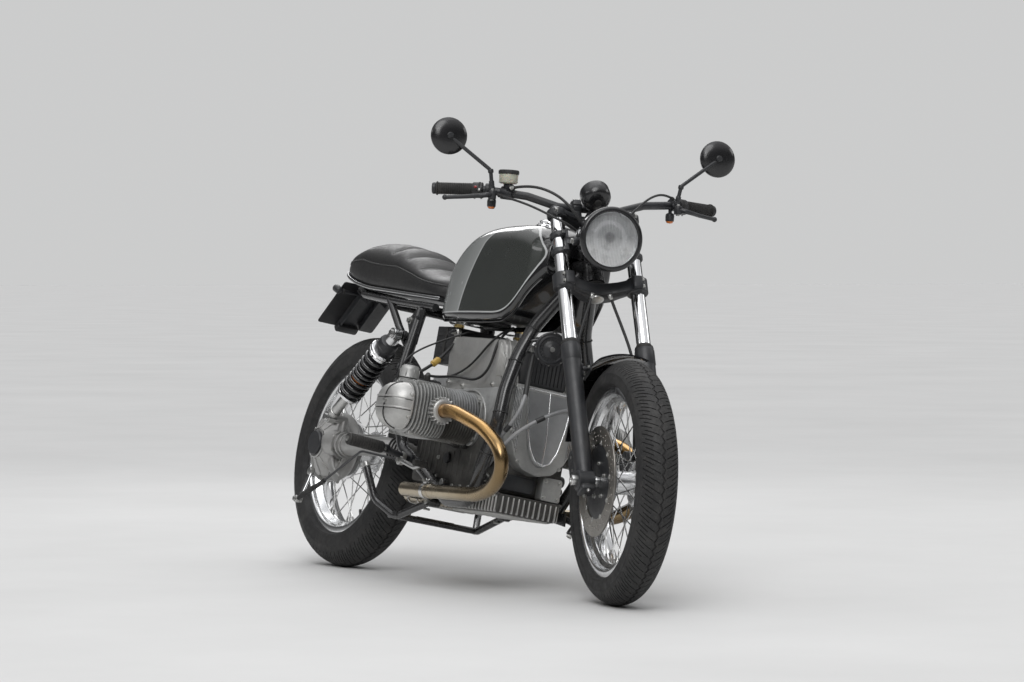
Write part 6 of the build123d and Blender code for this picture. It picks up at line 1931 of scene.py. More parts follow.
def block_piece():
    p = Piece("engine_block_detail", "chassis", "cast_grey")
    # crankcase sides
    low = round_corners([(640, 252), (950, 252), (950, 488), (932, 536), (640, 520)], [10, 16, 30, 24, 10])
    p.add(prism(low, 107.4, 5), M["case"])
    # starter cover: smooth, with a long slope behind and a rounded front corner
    top = round_corners([(604, 524), (640, 516), (936, 532), (908, 596), (895, 650), (880, 666), (640, 671), (616, 668), (588, 620)], [8, 20, 20, 40, 20, 14, 40, 16, 30])
    p.add(prism(top, 103.6, 9), M["cast_pale"])
    # gearbox behind
    gear = round_corners([(482, 262), (640, 256), (640, 520), (598, 522), (584, 558), (506, 558), (484, 420)], [14, 10, 10, 20, 14, 14, 30])
    p.add(prism(gear, 91.6, 6), M["case"])
    for side in (-1, 1):
        # joint lines and bosses
        p.add(block((795, side * 107.4, 252), (310, 5, 10), soft=1.5), M["case"])
        p.add(block((640, side * 100, 388), (9, 20, 262), soft=2.0), M["case"])
        for zz in (276, 330, 384, 438, 492):
            p.add(rod((648, side * 98, zz), (648, side * 109, zz), 8.5, 24, soft=1.5), M["case"])
            p.add(bolt((648, side * 108.6, zz), (0, side, 0), 4.4, 4, socket=True), M["zinc"])
        for xx in (662, 706, 750, 794, 838, 882, 926):
            p.add(bolt((xx, side * 109.6, 257), (0, side, 0), 3.8, 3.6, socket=True), M["zinc"])
        # dished panel on the gearbox, ribs under the starter cover
        for k in range(5):
            p.add(block((512 + 24 * k, side * 91.8, 330), (5, 4, 92), soft=1.6), M["case"])
        for k in range(7):
            p.add(block((668 + 30 * k, side * 107.2, 318 - abs(k - 3) * 3), (4, 3.4, 74), soft=1.2), M["case"])
        # cast arch round the cylinder base
        arch = []
        cx = CYL_X[side]
        for k in range(25):
            t = math.radians(-20 + 220 * k / 24)
            arch.append(vec(cx + 92 * math.cos(t), side * 107.6, CYL_Z + 82 * math.sin(t)))
        p.add(sweep([q for q in arch if q[2] < 520], circle(3.2, 10)), M["cast"])
        # cover screws along the starter cover's lower edge
        for xx, zz in ((620, 540), (700, 532), (860, 540), (912, 560)):
            p.add(rod((xx, side * 100, zz), (xx, side * 105.4, zz), 8.0, 24, soft=1.5), M["cast_pale"])
            p.add(bolt((xx, side * 105.2, zz), (0, side, 0), 4.6, 4.0, socket=True), M["zinc"])
        # upright ribs on the cover's front corner
        for k in range(6):
            xx = 872 + 7.0 * k
            p.add(block((xx, side * 103.8, 610 - 4 * k), (2.6, 5.0, 92 - 8 * k), (1, 0, 0), (0, 1, 0), 1.0), M["cast_pale"])
    # ribs across the cover's front and top edges
    for k in range(9):
        y = -88 + 22 * k
        p.add(sweep([vec(930, y, 545), vec(910, y, 596), vec(897, y, 648), vec(886, y, 664), vec(866, y, 670)], rounded(3.0, 5.0, 1.2, 2), ref=(0, 1, 0)), M["cast_pale"])
    # breather and oil filler
    p.add(rod((560, -60, 556), (560, -60, 580), 17, 32, soft=3), M["plastic"])
    p.add(rod((700, -107, 330), (700, -117, 330), 15, 32, soft=3), M["satin"])
    p.add(lathe([(0, 0), (0, 20), (1.5, 22), (8, 22), (10, 19), (10, 0)], (905, 107, 312), (0, 1, 0), 40), M["cast"])
    # dip stick, oil pressure switch, earth lead
    p.add(rod((745, 107, 300), (752, 124, 316), 8, 24, soft=1.5), M["plastic"])
    p.add(hexagon((928, -107.5, 286), (0, -1, 0), 24, 6), M["zinc"])
    p.add(rod((928, -113, 286), (928, -122, 286), 8, 24, soft=1.5), M["plastic"])
    # front housing with upright ribs down its flanks, deep so that its foot shades the wall behind
    half = [(110, 547), (112, 500), (108, 440), (96, 388), (80, 356), (50, 322), (0, 310)]
    outer = round_corners(half + [(-a, b) for a, b in reversed(half[:-1])], [10, 30, 60, 50, 40, 40, 40, 40, 40, 50, 60, 30, 10], 4)
    rings = []
    for xx, sh in ((949, 0.0), (992, 0.0), (996.5, 1.6), (998, 4.5)):
        ins = inset(np.array(outer), sh) if sh else np.array(outer)
        rings.append(np.array([(xx, a, b) for a, b in ins]))
    p.add(skin(rings), M["cast"])
    for side in (-1, 1):
        for k in range(7):
            a0 = 81.5 + 4.7 * k
            low_z = float(np.interp(a0, (50, 80, 96, 108, 112), (330, 362, 396, 448, 510)))
            top_z = 540 - 0.5 * k
            lean = [vec(998.6, side * a0 * (1.0 if z > 430 else 1.0 - 0.0006 * (430 - z)), z) for z in np.linspace(low_z, top_z, 10)]
            p.add(sweep(lean, rounded(1.8, 6.4, 0.8, 2), ref=(0, 1, 0)), M["alloy"])
        for k in range(4):
            xx = 956 + 10 * k
            p.add(block((xx, side * 111.6, 486), (3.4, 3.0, 104), soft=1.0), M["cast"])
        for a0, b0 in ((100, 530), (99, 420), (66, 342)):
            p.add(bolt((996, side * a0, b0), (1, 0, 0), 4.4, 4.0, socket=True), M["zinc"])
    # raised shield that leans back to the top, with its rim and middle ridge
    half = [(78, 545), (75, 529), (69, 488), (63, 449), (54, 412), (44, 377), (24, 345), (0, 333)]
    shield = round_corners(half + [(-a, b) for a, b in reversed(half[:-1])], 30, 3)

    def lean_x(z):
        return 1016.0 - (z - 333) * 0.095

    rings = []
    for dx, sc in ((-26, 1.0), (-6.5, 1.0), (-2.0, 0.985), (0.4, 0.955), (0.8, 0.90), (3.4, 0.70), (5.6, 0.45), (6.6, 0.20)):
        rings.append(np.array([(max(990.0, lean_x(445 + (b - 445) * sc) + dx), a * sc, 445 + (b - 445) * sc) for a, b in shield]))
    p.add(skin(rings), M["shield"])
    rim = [vec(lean_x(445 + (b - 445) * 0.945) + 0.9, a * 0.945, 445 + (b - 445) * 0.945) for a, b in shield]
    p.add(sweep(rim + [rim[0]], circle(2.6, 10), caps=False), M["alloy"])
    mid = [vec(lean_x(z) + dx, 0.0, z) for z, dx in ((540, -0.4), (500, 3.4), (445, 7.2), (390, 4.0), (338, -0.4))]
    p.add(sweep(spline(mid, 8), circle(2.4, 10)), M["alloy"])
    # dark box above the housing, with its strap and lead
    box = round_corners([(-62, 548), (-62, 640), (62, 640), (62, 548)], 10)
    p.add(plate([(a, b) for a, b in box], (884, 0, 0), (0, 1, 0), (0, 0, 1), 82, 5), M["satin"])
    for k in range(9):
        p.add(block((966.4, -48 + 12 * k, 594), (3.0, 4.0, 70), soft=1.2), M["satin"])
    p.add(block((925, 0, 641), (20, 128, 3.0), soft=1), M["frame"])
    # wall under the housing: a dark satin plate on the right stands for the shade under the housing (painted shade),
    # the bare casting on the left
    p.add(plate(round_corners([(-84, 262), (-84, 306), (24, 306), (24, 262)], 12), (949, 0, 0), (0, 1, 0), (0, 0, 1), 10, 3), M["satin"])
    p.add(plate(round_corners([(33, 252), (33, 316), (95, 316), (95, 252)], 8), (949, 0, 0), (0, 1, 0), (0, 0, 1), 34, 4), M["cast"])
    for a0, b0 in ((42, 262), (42, 306), (86, 262), (86, 306)):
        p.add(bolt((983, a0, b0), (1, 0, 0), 4.2, 3.6, socket=True), M["zinc"])
    # oil pan with upright fins
    pan = round_corners([(700, 198), (984, 198), (987, 250), (697, 250)], [14, 14, 4, 4])
    p.add(prism(pan, 96, 6), M["case"])
    for side in (-1, 1):
        for k in range(17):
            p.add(block((710 + 16.6 * k, side * 96, 222), (3.8, 9, 46), soft=1.3), M["cast_pale"])
        p.add(block((842, side * 97.5, 248), (290, 9, 7), soft=2), M["case"])
        for k in range(8):
            p.add(bolt((716 + 36 * k, side * 100, 244.8), (0, 0, -1), 3.4, 3.4), M["zinc"])
    for k in range(11):
        p.add(block((985.5, -84 + 16.8 * k, 222), (9, 3.8, 44), soft=1.3), M["cast_pale"])
    for k in range(9):
        p.add(block((842, -72 + 18 * k, 197.2), (260, 4.2, 6), soft=1.3), M["cast_pale"])
    p.add(hexagon((920, 0, 199), (0, 0, -1), 24, 5), M["zinc"])
    # engine mounting studs through the cradle
    for xx, zz in ((922, 262), (708, 262)):
        p.add(rod((xx, -122, zz), (xx, 122, zz), 7.0, 24), M["zinc"])
        for side in (-1, 1):
            p.add(hexagon((xx, side * 116, zz), (0, side, 0), 17, 7), M["zinc"])
            p.add(rod((xx, side * 107, zz), (xx, side * 116, zz), 12, 24, soft=1), M["rubber"])
    # dark hose between the upper breather and the frame
    p.add(sweep(spline([(1052, -109, 514), (1040, -103, 548), (1022, -92, 592), (1004, -78, 628)], 10), circle(7.0, 18)), M["hose"])
    # breather hoses that cross in front of the right cylinder
    for pts, r, cap in (([(905, -112, 336), (960, -124, 372), (1018, -134, 412), (1056, -130, 446), (1062, -118, 486), (1050, -108, 522)], 5.4, True),
                        ([(925, -112, 318), (985, -126, 356), (1040, -126, 398), (1078, -100, 436), (1096, -60, 468), (1092, -14, 490), (1066, 26, 500), (1040, 62, 500), (1004, 84, 500)], 5.4, False)):
        path = spline(pts, 12)
        p.add(sweep(path, circle(r, 16)), M["grey_hose"])
        mid = path[int(len(path) * 0.44)]
        d = unit(path[int(len(path) * 0.44) + 1] - mid)
        p.add(lathe([(-13, 5.4), (-12, 7.0), (12, 7.0), (13, 5.4)], mid, d, 20), M["plastic"])
    # starter lead over the cover
    p.add(sweep(spline([(846, -60, 704), (846, -98, 684), (812, -111, 648), (760, -114, 596), (700, -116, 566), (640, -112, 556)], 12), circle(3.0, 12)), M["hose"])
    p.done("engine_block", angle=38)


HEADER = [(862, -250, 440), (930, -250, 443), (1100, -248, 404), (1194, -236, 352), (1198, -222, 296),
          (1132, -208, 248), (1040, -196, 230), (618, -188, 226), (618, -103.2, 226)]
HEADER_BENDS = [60, 90, 48, 42, 60, 60, 44]


def exhaust_pieces():
    for side, name in ((-1, "exhaust_header_right"), (1, "exhaust_header_left")):
        pts = [(x + (38.0 if side > 0 and n < 2 else 0.0), side * abs(y), z) for n, (x, y, z) in enumerate(HEADER)]
        path = route(pts, HEADER_BENDS, 4, 14)
        # smoothed so that the bends run into each other like drawn pipe
        arr = np.array(path)
        step = np.r_[0, np.cumsum(np.linalg.norm(np.diff(arr, axis=0), axis=1))]
        at = np.linspace(0, step[-1], 150)
        arr = np.column_stack([np.interp(at, step, arr[:, k]) for k in range(3)])
        for _ in range(26):
            keep = arr.copy()
            arr[1:-1] = 0.25 * keep[:-2] + 0.5 * keep[1:-1] + 0.25 * keep[2:]
            tail = int(150 * 0.80)
            arr[tail:] = keep[tail:]
            arr[:6] = keep[:6]
        p = Piece(name + "_detail", "chassis", "steel_pipe")
        n = 40
        v, f = sweep(arr, circle(19.0, n))
        along = np.repeat(np.linspace(0, 1, len(arr)), n)
        p.add((v, f), M["header"], field={"along": along})
        # finned nut at the port
        x = CYL_X[side] + 86.4
        c = vec(x, side * 250, 440)
        p.add(lathe([(0, 19.2), (0, 30), (2, 31.5), (26, 31.5), (28.6, 29), (29.6, 23), (29.6, 19.2)], c, (1, 0, 0), 48), M["cast_pale"])
        for k in range(20):
            t = 2 * math.pi * k / 20
            d = vec(0, math.cos(t), math.sin(t))
            p.add(block(c + vec(14.5, 0, 0) + d * 33.4, (24, 4.2, 8.4), (1, 0, 0), np.cross(d, (1, 0, 0)), 1.5), M["cast_pale"])
        # sleeve joint and its clamp on the bottom run
        q = vec(788, side * 190.6, 227.4)
        p.add(lathe([(-2, 19), (-1.6, 20.2), (1.2, 20.2), (1.8, 19)], q, (1, 0, 0), 48), M["header"], field={"along": np.full(192, 0.8)})
        p.add(lathe([(-150, 19.0), (-150, 19.9), (-3, 19.9), (-2.6, 19.0)], q, (1, 0, 0), 48), M["header"], field={"along": np.full(192, 0.86)})
        for a in (-28,):
            p.add(lathe([(a - 8, 19.6), (a - 8, 21.6), (a + 8, 21.6), (a + 8, 19.6)], q, (1, 0, 0), 48), M["stainless"])
            p.add(block(q + vec(a, 0, 26), (15, 6, 14), soft=1.2), M["stainless"])
            p.add(block(q + vec(a, side * 9, 26), (15, 4, 14), soft=1.2), M["stainless"])
            p.add(rod(q + vec(a, -14, 28), q + vec(a, 16, 28), 3.2, 12), M["zinc"])
            p.add(hexagon(q + vec(a, side * 12, 28), (0, side, 0), 10, 6), M["zinc"])
        p.done(name, angle=38)
    p = Piece("silencer_detail", "chassis", "steel_pipe")
    rings = []
    for xx, w, h in ((458, 150, 26), (460, 176, 38), (466, 194, 45), (480, 203, 47.6), (620, 203, 47.6), (634, 194, 45), (640, 176, 38), (642, 150, 26)):
        rings.append(np.array([(xx, a, 224 + b) for a, b in rounded(w, h, min(20, h / 2 - 1), 6)]))
    v, f = skin(rings)
    p.add((v, f), M["header"], field={"along": np.full(len(v), 0.9)})
    for xx in (500, 550, 600):
        ring = [vec(xx, a, 224 + b) for a, b in rounded(204.4, 49.2, 20, 6)]
        p.add(sweep(ring + [ring[0]], circle(1.8, 8), caps=False), M["stainless"])
    p.add(lathe([(0, 0), (0, 20), (60, 21), (62, 20.6), (62, 18.4), (8, 18.0), (8, 0)], (464, 60, 224), (-62, 6, 0), 48), M["header"], field={"along": np.full(48 * 5 + 2, 0.75)})
    for side in (-1, 1):
        p.add(tube([(560, side * 60, 248), (560, side * 60, 262)], 7, n=20), M["rubber"])
        p.add(rod((618, side * 101, 226), (618, side * 106, 226), 22.5, 40, soft=1.5), M["stainless"])
    p.done("silencer", angle=38)


cylinder_pieces()
carburettor_pieces()
block_piece()
exhaust_pieces()


# ------------------------------------------------------------------ frame, suspension and stands
CRADLE = [(1079, -18, 858), (990, -80, 705), (984, -112, 620), (990, -136, 520), (1002, -147, 430),
          (958, -148, 310), (900, -132, 214), (762, -128, 214), (600, -124, 290), (455, -118, 345),
          (440, -128, 400), (405, -138, 560), (402, -106, 742)]
CRADLE_BENDS = [120, 200, 200, 120, 100, 60, 60, 60, 40, 80, 120]


def clamp_ring(centre, axis, radius, width, material, p, proud=1.6, n=32):
    p.add(lathe([(-width / 2, radius - 0.6), (-width / 2 + 0.6, radius + proud), (width / 2 - 0.6, radius + proud), (width / 2, radius - 0.6)], centre, axis, n), material)


def frame_pieces():
    p = Piece("frame_backbone_detail", "chassis", "frame_black")
    top, low = fork(0, 0, UPPER_YOKE - 13.6), fork(0, 0, LOWER_YOKE + 22.6)
    u = unit(np.array(top) - np.array(low))
    length = float(np.linalg.norm(np.array(top) - np.array(low)))
    p.add(lathe([(0, 14.6), (0, 26.4), (1.2, 28.4), (14, 28.4), (16, 26.6), (length - 16, 26.6), (length - 14, 28.4), (length - 1.2, 28.4), (length, 26.4), (length, 14.6)],
                low, u, 48), M["frame"])
    p.add(tube([(1078, 0, 885), (590, 0, 850), (548, 0, 744), (402, 0, 738)], 20.0, [40, 30], n=28), M["frame"])
    p.add(rod((402, -107, 738), (402, 107, 738), 13.0, 28), M["frame"])
    # gusset under the steering head, brackets on the spine
    p.add(prism([(1090, 880), (1052, 800), (985, 862), (1000, 884)], 6, 1.5), M["frame"])
    for x in (640, 820, 980):
        z = 850 + (x - 590) * 35 / 488
        p.add(block((x, 0, z - 16), (22, 34, 16), soft=2), M["frame"])
    clamp_ring((700, 0, 857.9), unit((1, 0, 0.07)), 20.0, 14, M["rubber"], p, 2.2)
    p.add(rod((470, -22, 742), (470, 22, 742), 8, 20, soft=1), M["zinc"])
    p.done("frame_backbone", angle=40)

    for side, name in ((-1, "frame_cradle_right"), (1, "frame_cradle_left")):
        p = Piece(name + "_detail", "chassis", "frame_black")
        pts = [(x, -side * y if side > 0 else y, z) for x, y, z in CRADLE]
        path = route(pts, CRADLE_BENDS, 6, 22)
        p.add(sweep(path, circle(16.6, 28)), M["frame"])
        # lugs for the centre stand
        p.add(tube([(672, side * 117, 246), (672, side * 104, 222), (672, side * 98, 212)], 6.5, [10], n=18), M["frame"])
        p.add(rod((672, side * 97, 205), (672, side * 111, 205), 13.0, 32, soft=1.2), M["frame"])
        p.add(rod((672, side * 97, 205), (672, side * 136.4, 205), 6.0, 24), M["zinc"])
        p.add(prism([(690, 250), (656, 262), (662, 214), (684, 214)], 3, 1.0, y0=(side * 118 - 3, side * 118 + 3)), M["frame"])
        p.add(hexagon((672, side * 136, 205), (0, side, 0), 15, 5), M["zinc"])
        # engine mount ears and their studs
        for x, z in ((922, 244), (708, 236)):
            p.add(prism([(x - 20, z - 4), (x + 20, z - 4), (x + 12, z + 30), (x - 12, z + 30)], 3, 1.0, y0=(side * 117 - 3, side * 117 + 3)), M["frame"])
        # gusset where the rear upright meets the rail, with its bolt
        p.add(prism([(352, 706), (392, 738), (440, 742), (424, 640), (398, 636)], 3, 1.2, y0=(side * 117 - 3, side * 117 + 3)), M["frame"])
        p.add(bolt((368, side * 120, 708), (0, side, 0), 8.0, 7.0), M["zinc"])
        p.add(bolt((414, side * 120, 716), (0, side, 0), 6.0, 5.0), M["satin"])
        # weld beads
        p.add(sweep([vec(402 + 17.5 * math.cos(t), side * 108, 730 + 14 * math.sin(t)) for t in np.linspace(0, math.pi, 9)], circle(2.2, 8)), M["frame"])
        # loom and cable strapped behind the front tube
        k0, k1 = 3, int(len(path) * 0.36)
        loom = []
        for k in range(k0, k1):
            d = unit(path[k + 1] - path[k - 1])
            back = unit(np.cross(d, (0, -side, 0)))
            if back[0] > 0:
                back = -back
            loom.append(path[k] + back * 20.5 + vec(0, side * 7, 0))
        p.add(sweep(loom, circle(4.2, 14)), M["hose"])
        for f in (0.22, 0.42, 0.62, 0.82):
            k = int(k0 + (k1 - k0) * f)
            d = unit(path[k + 1] - path[k - 1])
            ring = []
            e1 = unit(np.cross(d, (0, -side, 0)))
            e2 = np.cross(d, e1)
            for t in np.linspace(0, 2 * math.pi, 25)[:-1]:
                ring.append(path[k] + e1 * (19.5 * math.cos(t) * 1.16 + (-3.0 if e1[0] > 0 else 3.0)) + e2 * 18.4 * math.sin(t))
            p.add(sweep(ring + [ring[0]], circle(1.3, 8), caps=False), M["plastic"])
        if side > 0:
            hinge = unit((-0.043603, 0.500992, 0.864353))
            foot = vec(985, 150, 186) + hinge * 13
            p.add(rod((912, 136, 226), foot + hinge * 10, 9.0, 24, soft=1), M["frame"])
            p.add(rod(foot, foot + hinge * 13, 13.0, 32, soft=1.2), M["frame"])
            p.add(rod(foot + hinge * 4, vec(985, 150, 186) - hinge * 14, 6.0, 24), M["zinc"])
            p.add(hexagon(vec(985, 150, 186) - hinge * 14.4, -hinge, 15, 5), M["zinc"])
            p.add(prism([(960, 232), (894, 226), (900, 204), (966, 196)], 3, 1.0, y0=(131, 137)), M["frame"])
        p.done(name, angle=40)

    p = Piece("rear_subframe_detail", "chassis", "frame_black")
    for side in (-1, 1):
        p.add(tube([(474, side * 104, 748), (262, side * 102, 763), (30, side * 96, 784), (-76, side * 58, 804)], 11.0, 70, n=24), M["frame"])
        p.add(tube([(404, side * 130, 628), (300, side * 114, 690), (196, side * 101, 769)], 11.0, 60, n=24), M["frame"])
        p.add(rod((400, side * 124, 650), (386, side * 128, 660), 11.0, 24, soft=2), M["frame"])
        p.add(rod((386, side * 118, 660), (386, side * 178, 660), 8.0, 24), M["frame"])
        p.add(lathe([(0, 8.2), (0, 13), (2, 14.5), (12, 14.5), (14, 12), (14, 8.2)], (386, side * 134, 660), (0, side, 0), 28), M["frame"])
        # washer and nut outside the damper
        p.add(lathe([(0, 8), (0, 15.5), (2.2, 15.5), (2.6, 14), (2.6, 8)], (386, side * 177.6, 660), (0, side, 0), 32), M["stainless"])
        p.add(hexagon((386, side * 180, 660), (0, side, 0), 19, 6, 0.8), M["stainless"])
        for x, z in ((440, 750.4), (240, 764.4), (60, 781.1)):
            p.add(block((x, side * 92, z + 2), (26, 20, 5), soft=1.2), M["frame"])
            p.add(bolt((x, side * 88, z + 4.4), (0, 0, 1), 5, 3), M["zinc"])
    p.add(rod((-70, -60, 803), (-70, 60, 803), 11.0, 24, soft=2), M["frame"])
    for x, z in ((130, 774),):
        p.add(tube([(x, -96, z), (x, -30, z - 14), (x, 30, z - 14), (x, 96, z)], 8.0, 30, n=18), M["frame"])
    p.done("rear_subframe", angle=40)


def swing_pieces():
    p = Piece("swingarm_detail", "chassis", "cast_grey")
    # pivot tube in the dark cast colour, painted shade between the arms
    p.add(rod((418, -93.4, 335), (418, 93.4, 335), 26.0, 48, soft=3), M["painted_shade_cast"])
    for side in (-1, 1):
        p.add(lathe([(0, 0), (0, 24), (3, 26), (5, 26), (6, 20), (6, 0)], (418, side * 88, 335), (0, side, 0), 40), M["zinc"])
    # right arm: the shaft housing, slightly waisted, with its flange and gaiter
    right = route([(410, -70, 335), (340, -112, 346), (96, -112, 341)], [60], 6, 20)
    n = len(right)
    p.add(sweep(right, circle(31.0, 40), scale=[1.0 - 0.10 * math.sin(math.pi * k / (n - 1)) for k in range(n)]), M["arm_pale"])
    for x, r in ((126, 34.5), (108, 38)):
        p.add(lathe([(-4, 28), (-4, r - 1), (-2.6, r), (2.6, r), (4, r - 1), (4, 28)], (x, -112, 341.4), (1, 0, 0), 48), M["arm_pale"])
    for k in range(4):
        x, y = 392 - 9 * k, -81 - 5.4 * k
        p.add(lathe([(-3.0, 31), (-1.2, 35), (1.2, 35), (3.0, 31)], (x, y, 337.8 + 1.4 * k), unit((-70, -42, 11)), 40), M["rubber"])
    p.add(sweep([vec(330, -112, 377.2), vec(240, -112, 374.6), vec(150, -112, 374.4)], rounded(5, 4, 1.2, 2), ref=(0, 1, 0)), M["arm_pale"])
    left = route([(410, 70, 335), (340, 106, 338), (-20, 106, 337)], [60], 6, 20)
    p.add(sweep(left, circle(22.0, 32)), M["frame"])
    p.add(rod((85, 112, 345), (85, 120, 411), 10.0, 24, soft=2), M["frame"])
    p.add(rod((85, 112, 411), (85, 178, 411), 8.0, 24), M["zinc"])
    p.add(rod((0, -57.9, REAR_R), (0, 142, REAR_R), 10.0, 32), M["steel"])
    p.add(lathe([(68, 9), (68, 14), (70, 16), (98, 16), (100, 14), (100, 9)], (0, 0, REAR_R), (0, 1, 0), 32), M["steel"])
    p.add(lathe([(120, 9), (120, 15), (121.5, 16), (134, 16), (140, 14.5), (142.6, 11.5), (142.6, 6.2)], (0, 0, REAR_R), (0, 1, 0), 6), M["zinc"])
    p.add(lathe([(116, 8), (116, 19), (119.4, 19), (119.4, 8)], (0, 0, REAR_R), (0, 1, 0), 32), M["steel"])
    p.add(block((-26, 106, REAR_R), (22, 34, 40), soft=4), M["frame"])
    for s in (1,):
        p.add(lathe([(0, 8), (0, 15.5), (2.2, 15.5), (2.6, 14), (2.6, 8)], (85, s * 177.6, 411), (0, s, 0), 32), M["stainless"])
        p.add(hexagon((85, s * 180, 411), (0, s, 0), 19, 6, 0.8), M["stainless"])
    p.done("swingarm", angle=38)

    p = Piece("final_drive_detail", "chassis", "cast_grey")
    hub = vec(0, 0, REAR_R)
    p.add(lathe([(-57.6, 0), (-57.6, 88), (-59, 92), (-66, 97), (-72, 100), (-90, 100), (-104, 98.5), (-112, 95), (-122, 84), (-131, 71), (-140, 56), (-148, 43), (-152, 40),
                 (-152, 0)], hub, (0, 1, 0), 72), M["arm_pale"])
    # cover flange with its nuts, ribs over the housing
    p.add(lathe([(-100, 96), (-100, 104), (-102, 105.4), (-110, 105.4), (-112, 104), (-112, 92)], hub, (0, 1, 0), 72), M["arm_pale"])
    for k in range(10):
        t = 2 * math.pi * (k + 0.3) / 10
        c = hub + vec(97.5 * math.cos(t), -111.6, 97.5 * math.sin(t))
        p.add(hexagon(c, (0, -1, 0), 11.5, 6.5, 0.6), M["zinc"])
    for k in range(12):
        t = 2 * math.pi * k / 12
        d = vec(math.cos(t), 0, math.sin(t))
        a, b = hub + d * 46 + vec(0, -146.5, 0), hub + d * 86 + vec(0, -120.5, 0)
        p.add(sweep([a, (a + b) / 2 + vec(0, -1, 0), b], rounded(4.2, 6.0, 1.4, 2), ref=(0, 1, 0)), M["arm_pale"])
    # black cap in the middle, its bright ring and the level plugs
    p.add(lathe([(-150, 0), (-150, 33), (-152, 36.5), (-158, 36.5), (-161.5, 33), (-162, 26), (-162, 0)], hub, (0, 1, 0), 48), M["satin"])
    p.add(lathe([(-147, 41), (-148, 43.6), (-152, 43.6), (-153, 41)], hub, (0, 1, 0), 48), M["steel"])
    p.add(hexagon(hub + vec(44, -128, 70), unit((0.1, -1, 0.4)), 19, 8, 0.8), M["zinc"])
    p.add(hexagon(hub + vec(10, -108, -98), (0, 0, -1), 19, 8, 0.8), M["zinc"])
    # neck that takes the shaft, with the flange nuts
    p.add(lathe([(0, 44), (4, 44), (60, 43), (80, 40.5), (92, 42), (95.8, 42), (95.8, 0)], (0, -112, 341), (1, 0, 0), 56), M["arm_pale"])
    for k in range(6):
        t = 2 * math.pi * (k + 0.5) / 6
        p.add(bolt((92, -112 + 38 * math.cos(t), 341 + 38 * math.sin(t)), (1, 0, 0), 4.6, 5), M["zinc"])
    # damper lug
    p.add(skin([np.array([(85 + a, -120, 352 + b) for a, b in rounded(40, 30, 8, 4)]),
                np.array([(85 + a, -146, 352 + b) for a, b in rounded(34, 26, 8, 4)])]), M["arm_pale"])
    p.add(rod((85, -120, 356), (85, -120, 411), 14.0, 28, soft=3), M["arm_pale"])
    p.add(rod((85, -112, 411), (85, -150.6, 411), 12.0, 28, soft=2), M["arm_pale"])
    p.add(rod((85, -112, 411), (85, -178, 411), 8.0, 24), M["zinc"])
    p.add(lathe([(0, 8), (0, 15.5), (2.2, 15.5), (2.6, 14), (2.6, 8)], (85, -177.6, 411), (0, -1, 0), 32), M["stainless"])
    p.add(hexagon((85, -180, 411), (0, -1, 0), 19, 6, 0.8), M["stainless"])
    # brake anchor: pale torque arm
    arm = [vec(62, -128, 300), vec(110, -150, 262), vec(176, -152, 236)]
    p.add(sweep(spline(arm, 8), rounded(9, 24, 3, 3), ref=(0, 1, 0)), M["arm_pale"])
    p.done("final_drive", angle=38)

    p = Piece("rear_shocks_detail", "chassis", "black_alloy")
    for side in (-1, 1):
        a, b = vec(85, side * 165, 411), vec(386, side * 165, 660)
        d = unit(b - a)
        length = float(np.linalg.norm(b - a))
        # eyes
        for end, mat in ((a, "steel"), (b, "alloy")):
            s = -1 if side < 0 else 1
            p.add(lathe([(-12.4, 9), (-12.4, 14.6), (-11, 16), (11, 16), (12.4, 14.6), (12.4, 9)], end, (0, s, 0), 32), M[mat])
            p.add(lathe([(-13.6, 8.2), (-13.6, 11.6), (13.6, 11.6), (13.6, 8.2)], end, (0, s, 0), 28), M["rubber"])
        # lower tube
        p.add(lathe([(9, 0), (9, 11), (16, 13), (20, 15), (114, 15), (116, 14), (116, 0)], a, d, 36), M["steel"])
        p.add(lathe([(20, 15.2), (21, 17), (32, 17), (33, 15.2)], a, d, 36), M["zinc"])
        # perch, spring, dark body inside it with its orange band
        p.add(lathe([(112, 14), (112, 34), (113.5, 37.4), (118, 37.8), (121, 36), (122, 30), (122, 14)], a, d, 48), M["chrome"])
        p.add(lathe([(118, 22), (120, 23.5), (300, 23.5), (300, 0)], a, d, 40), M["satin"])
        p.add(lathe([(176, 23), (176, 26.4), (192, 26.4), (192, 23)], a, d, 40), M["band"])
        coil = []
        turns = 8.0
        e1, e2 = basis(d)[1:3]
        for k in range(int(turns * 26) + 1):
            t = k / 26 * 2 * math.pi
            f = k / (turns * 26)
            # the end coils close up
            g = f + 0.030 * math.sin(2 * math.pi * f)
            coil.append(a + d * (125.5 + g * 168) + (e1 * math.cos(t) + e2 * math.sin(t)) * 31.8)
        p.add(sweep(coil, circle(5.6, 12)), M["spring"])
        # adjuster collar and lock ring
        p.add(lathe([(297, 20), (297, 36), (299, 38), (307, 38), (308.4, 36.4), (309.6, 38), (317, 38), (318.5, 35), (318.5, 20)], a, d, 60), M["chrome"])
        for k in range(6):
            t = 2 * math.pi * k / 6
            e = e1 * math.cos(t) + e2 * math.sin(t)
            p.add(block(a + d * 303 + e * 37.4, (8, 6, 3), d, np.cross(e, d), 0.8), M["plastic"])
        # black upper body
        p.add(lathe([(318, 20), (318, 28.4), (320, 29), (348, 29), (354, 27), (357, 22), (358, 12), (358, 0)], a, d, 44), M["satin"])
        p.add(lathe([(330, 28.6), (331, 30), (335, 30), (336, 28.6)], a, d, 44), M["satin"])
        # bright clevis
        q = a + d * (length - 22)
        p.add(lathe([(-14, 0), (-14, 15), (-11, 19.5), (6, 19.5), (14, 17.5), (18, 12), (20, 0)], q, d, 36), M["alloy"])
    p.done("rear_shocks", angle=38)


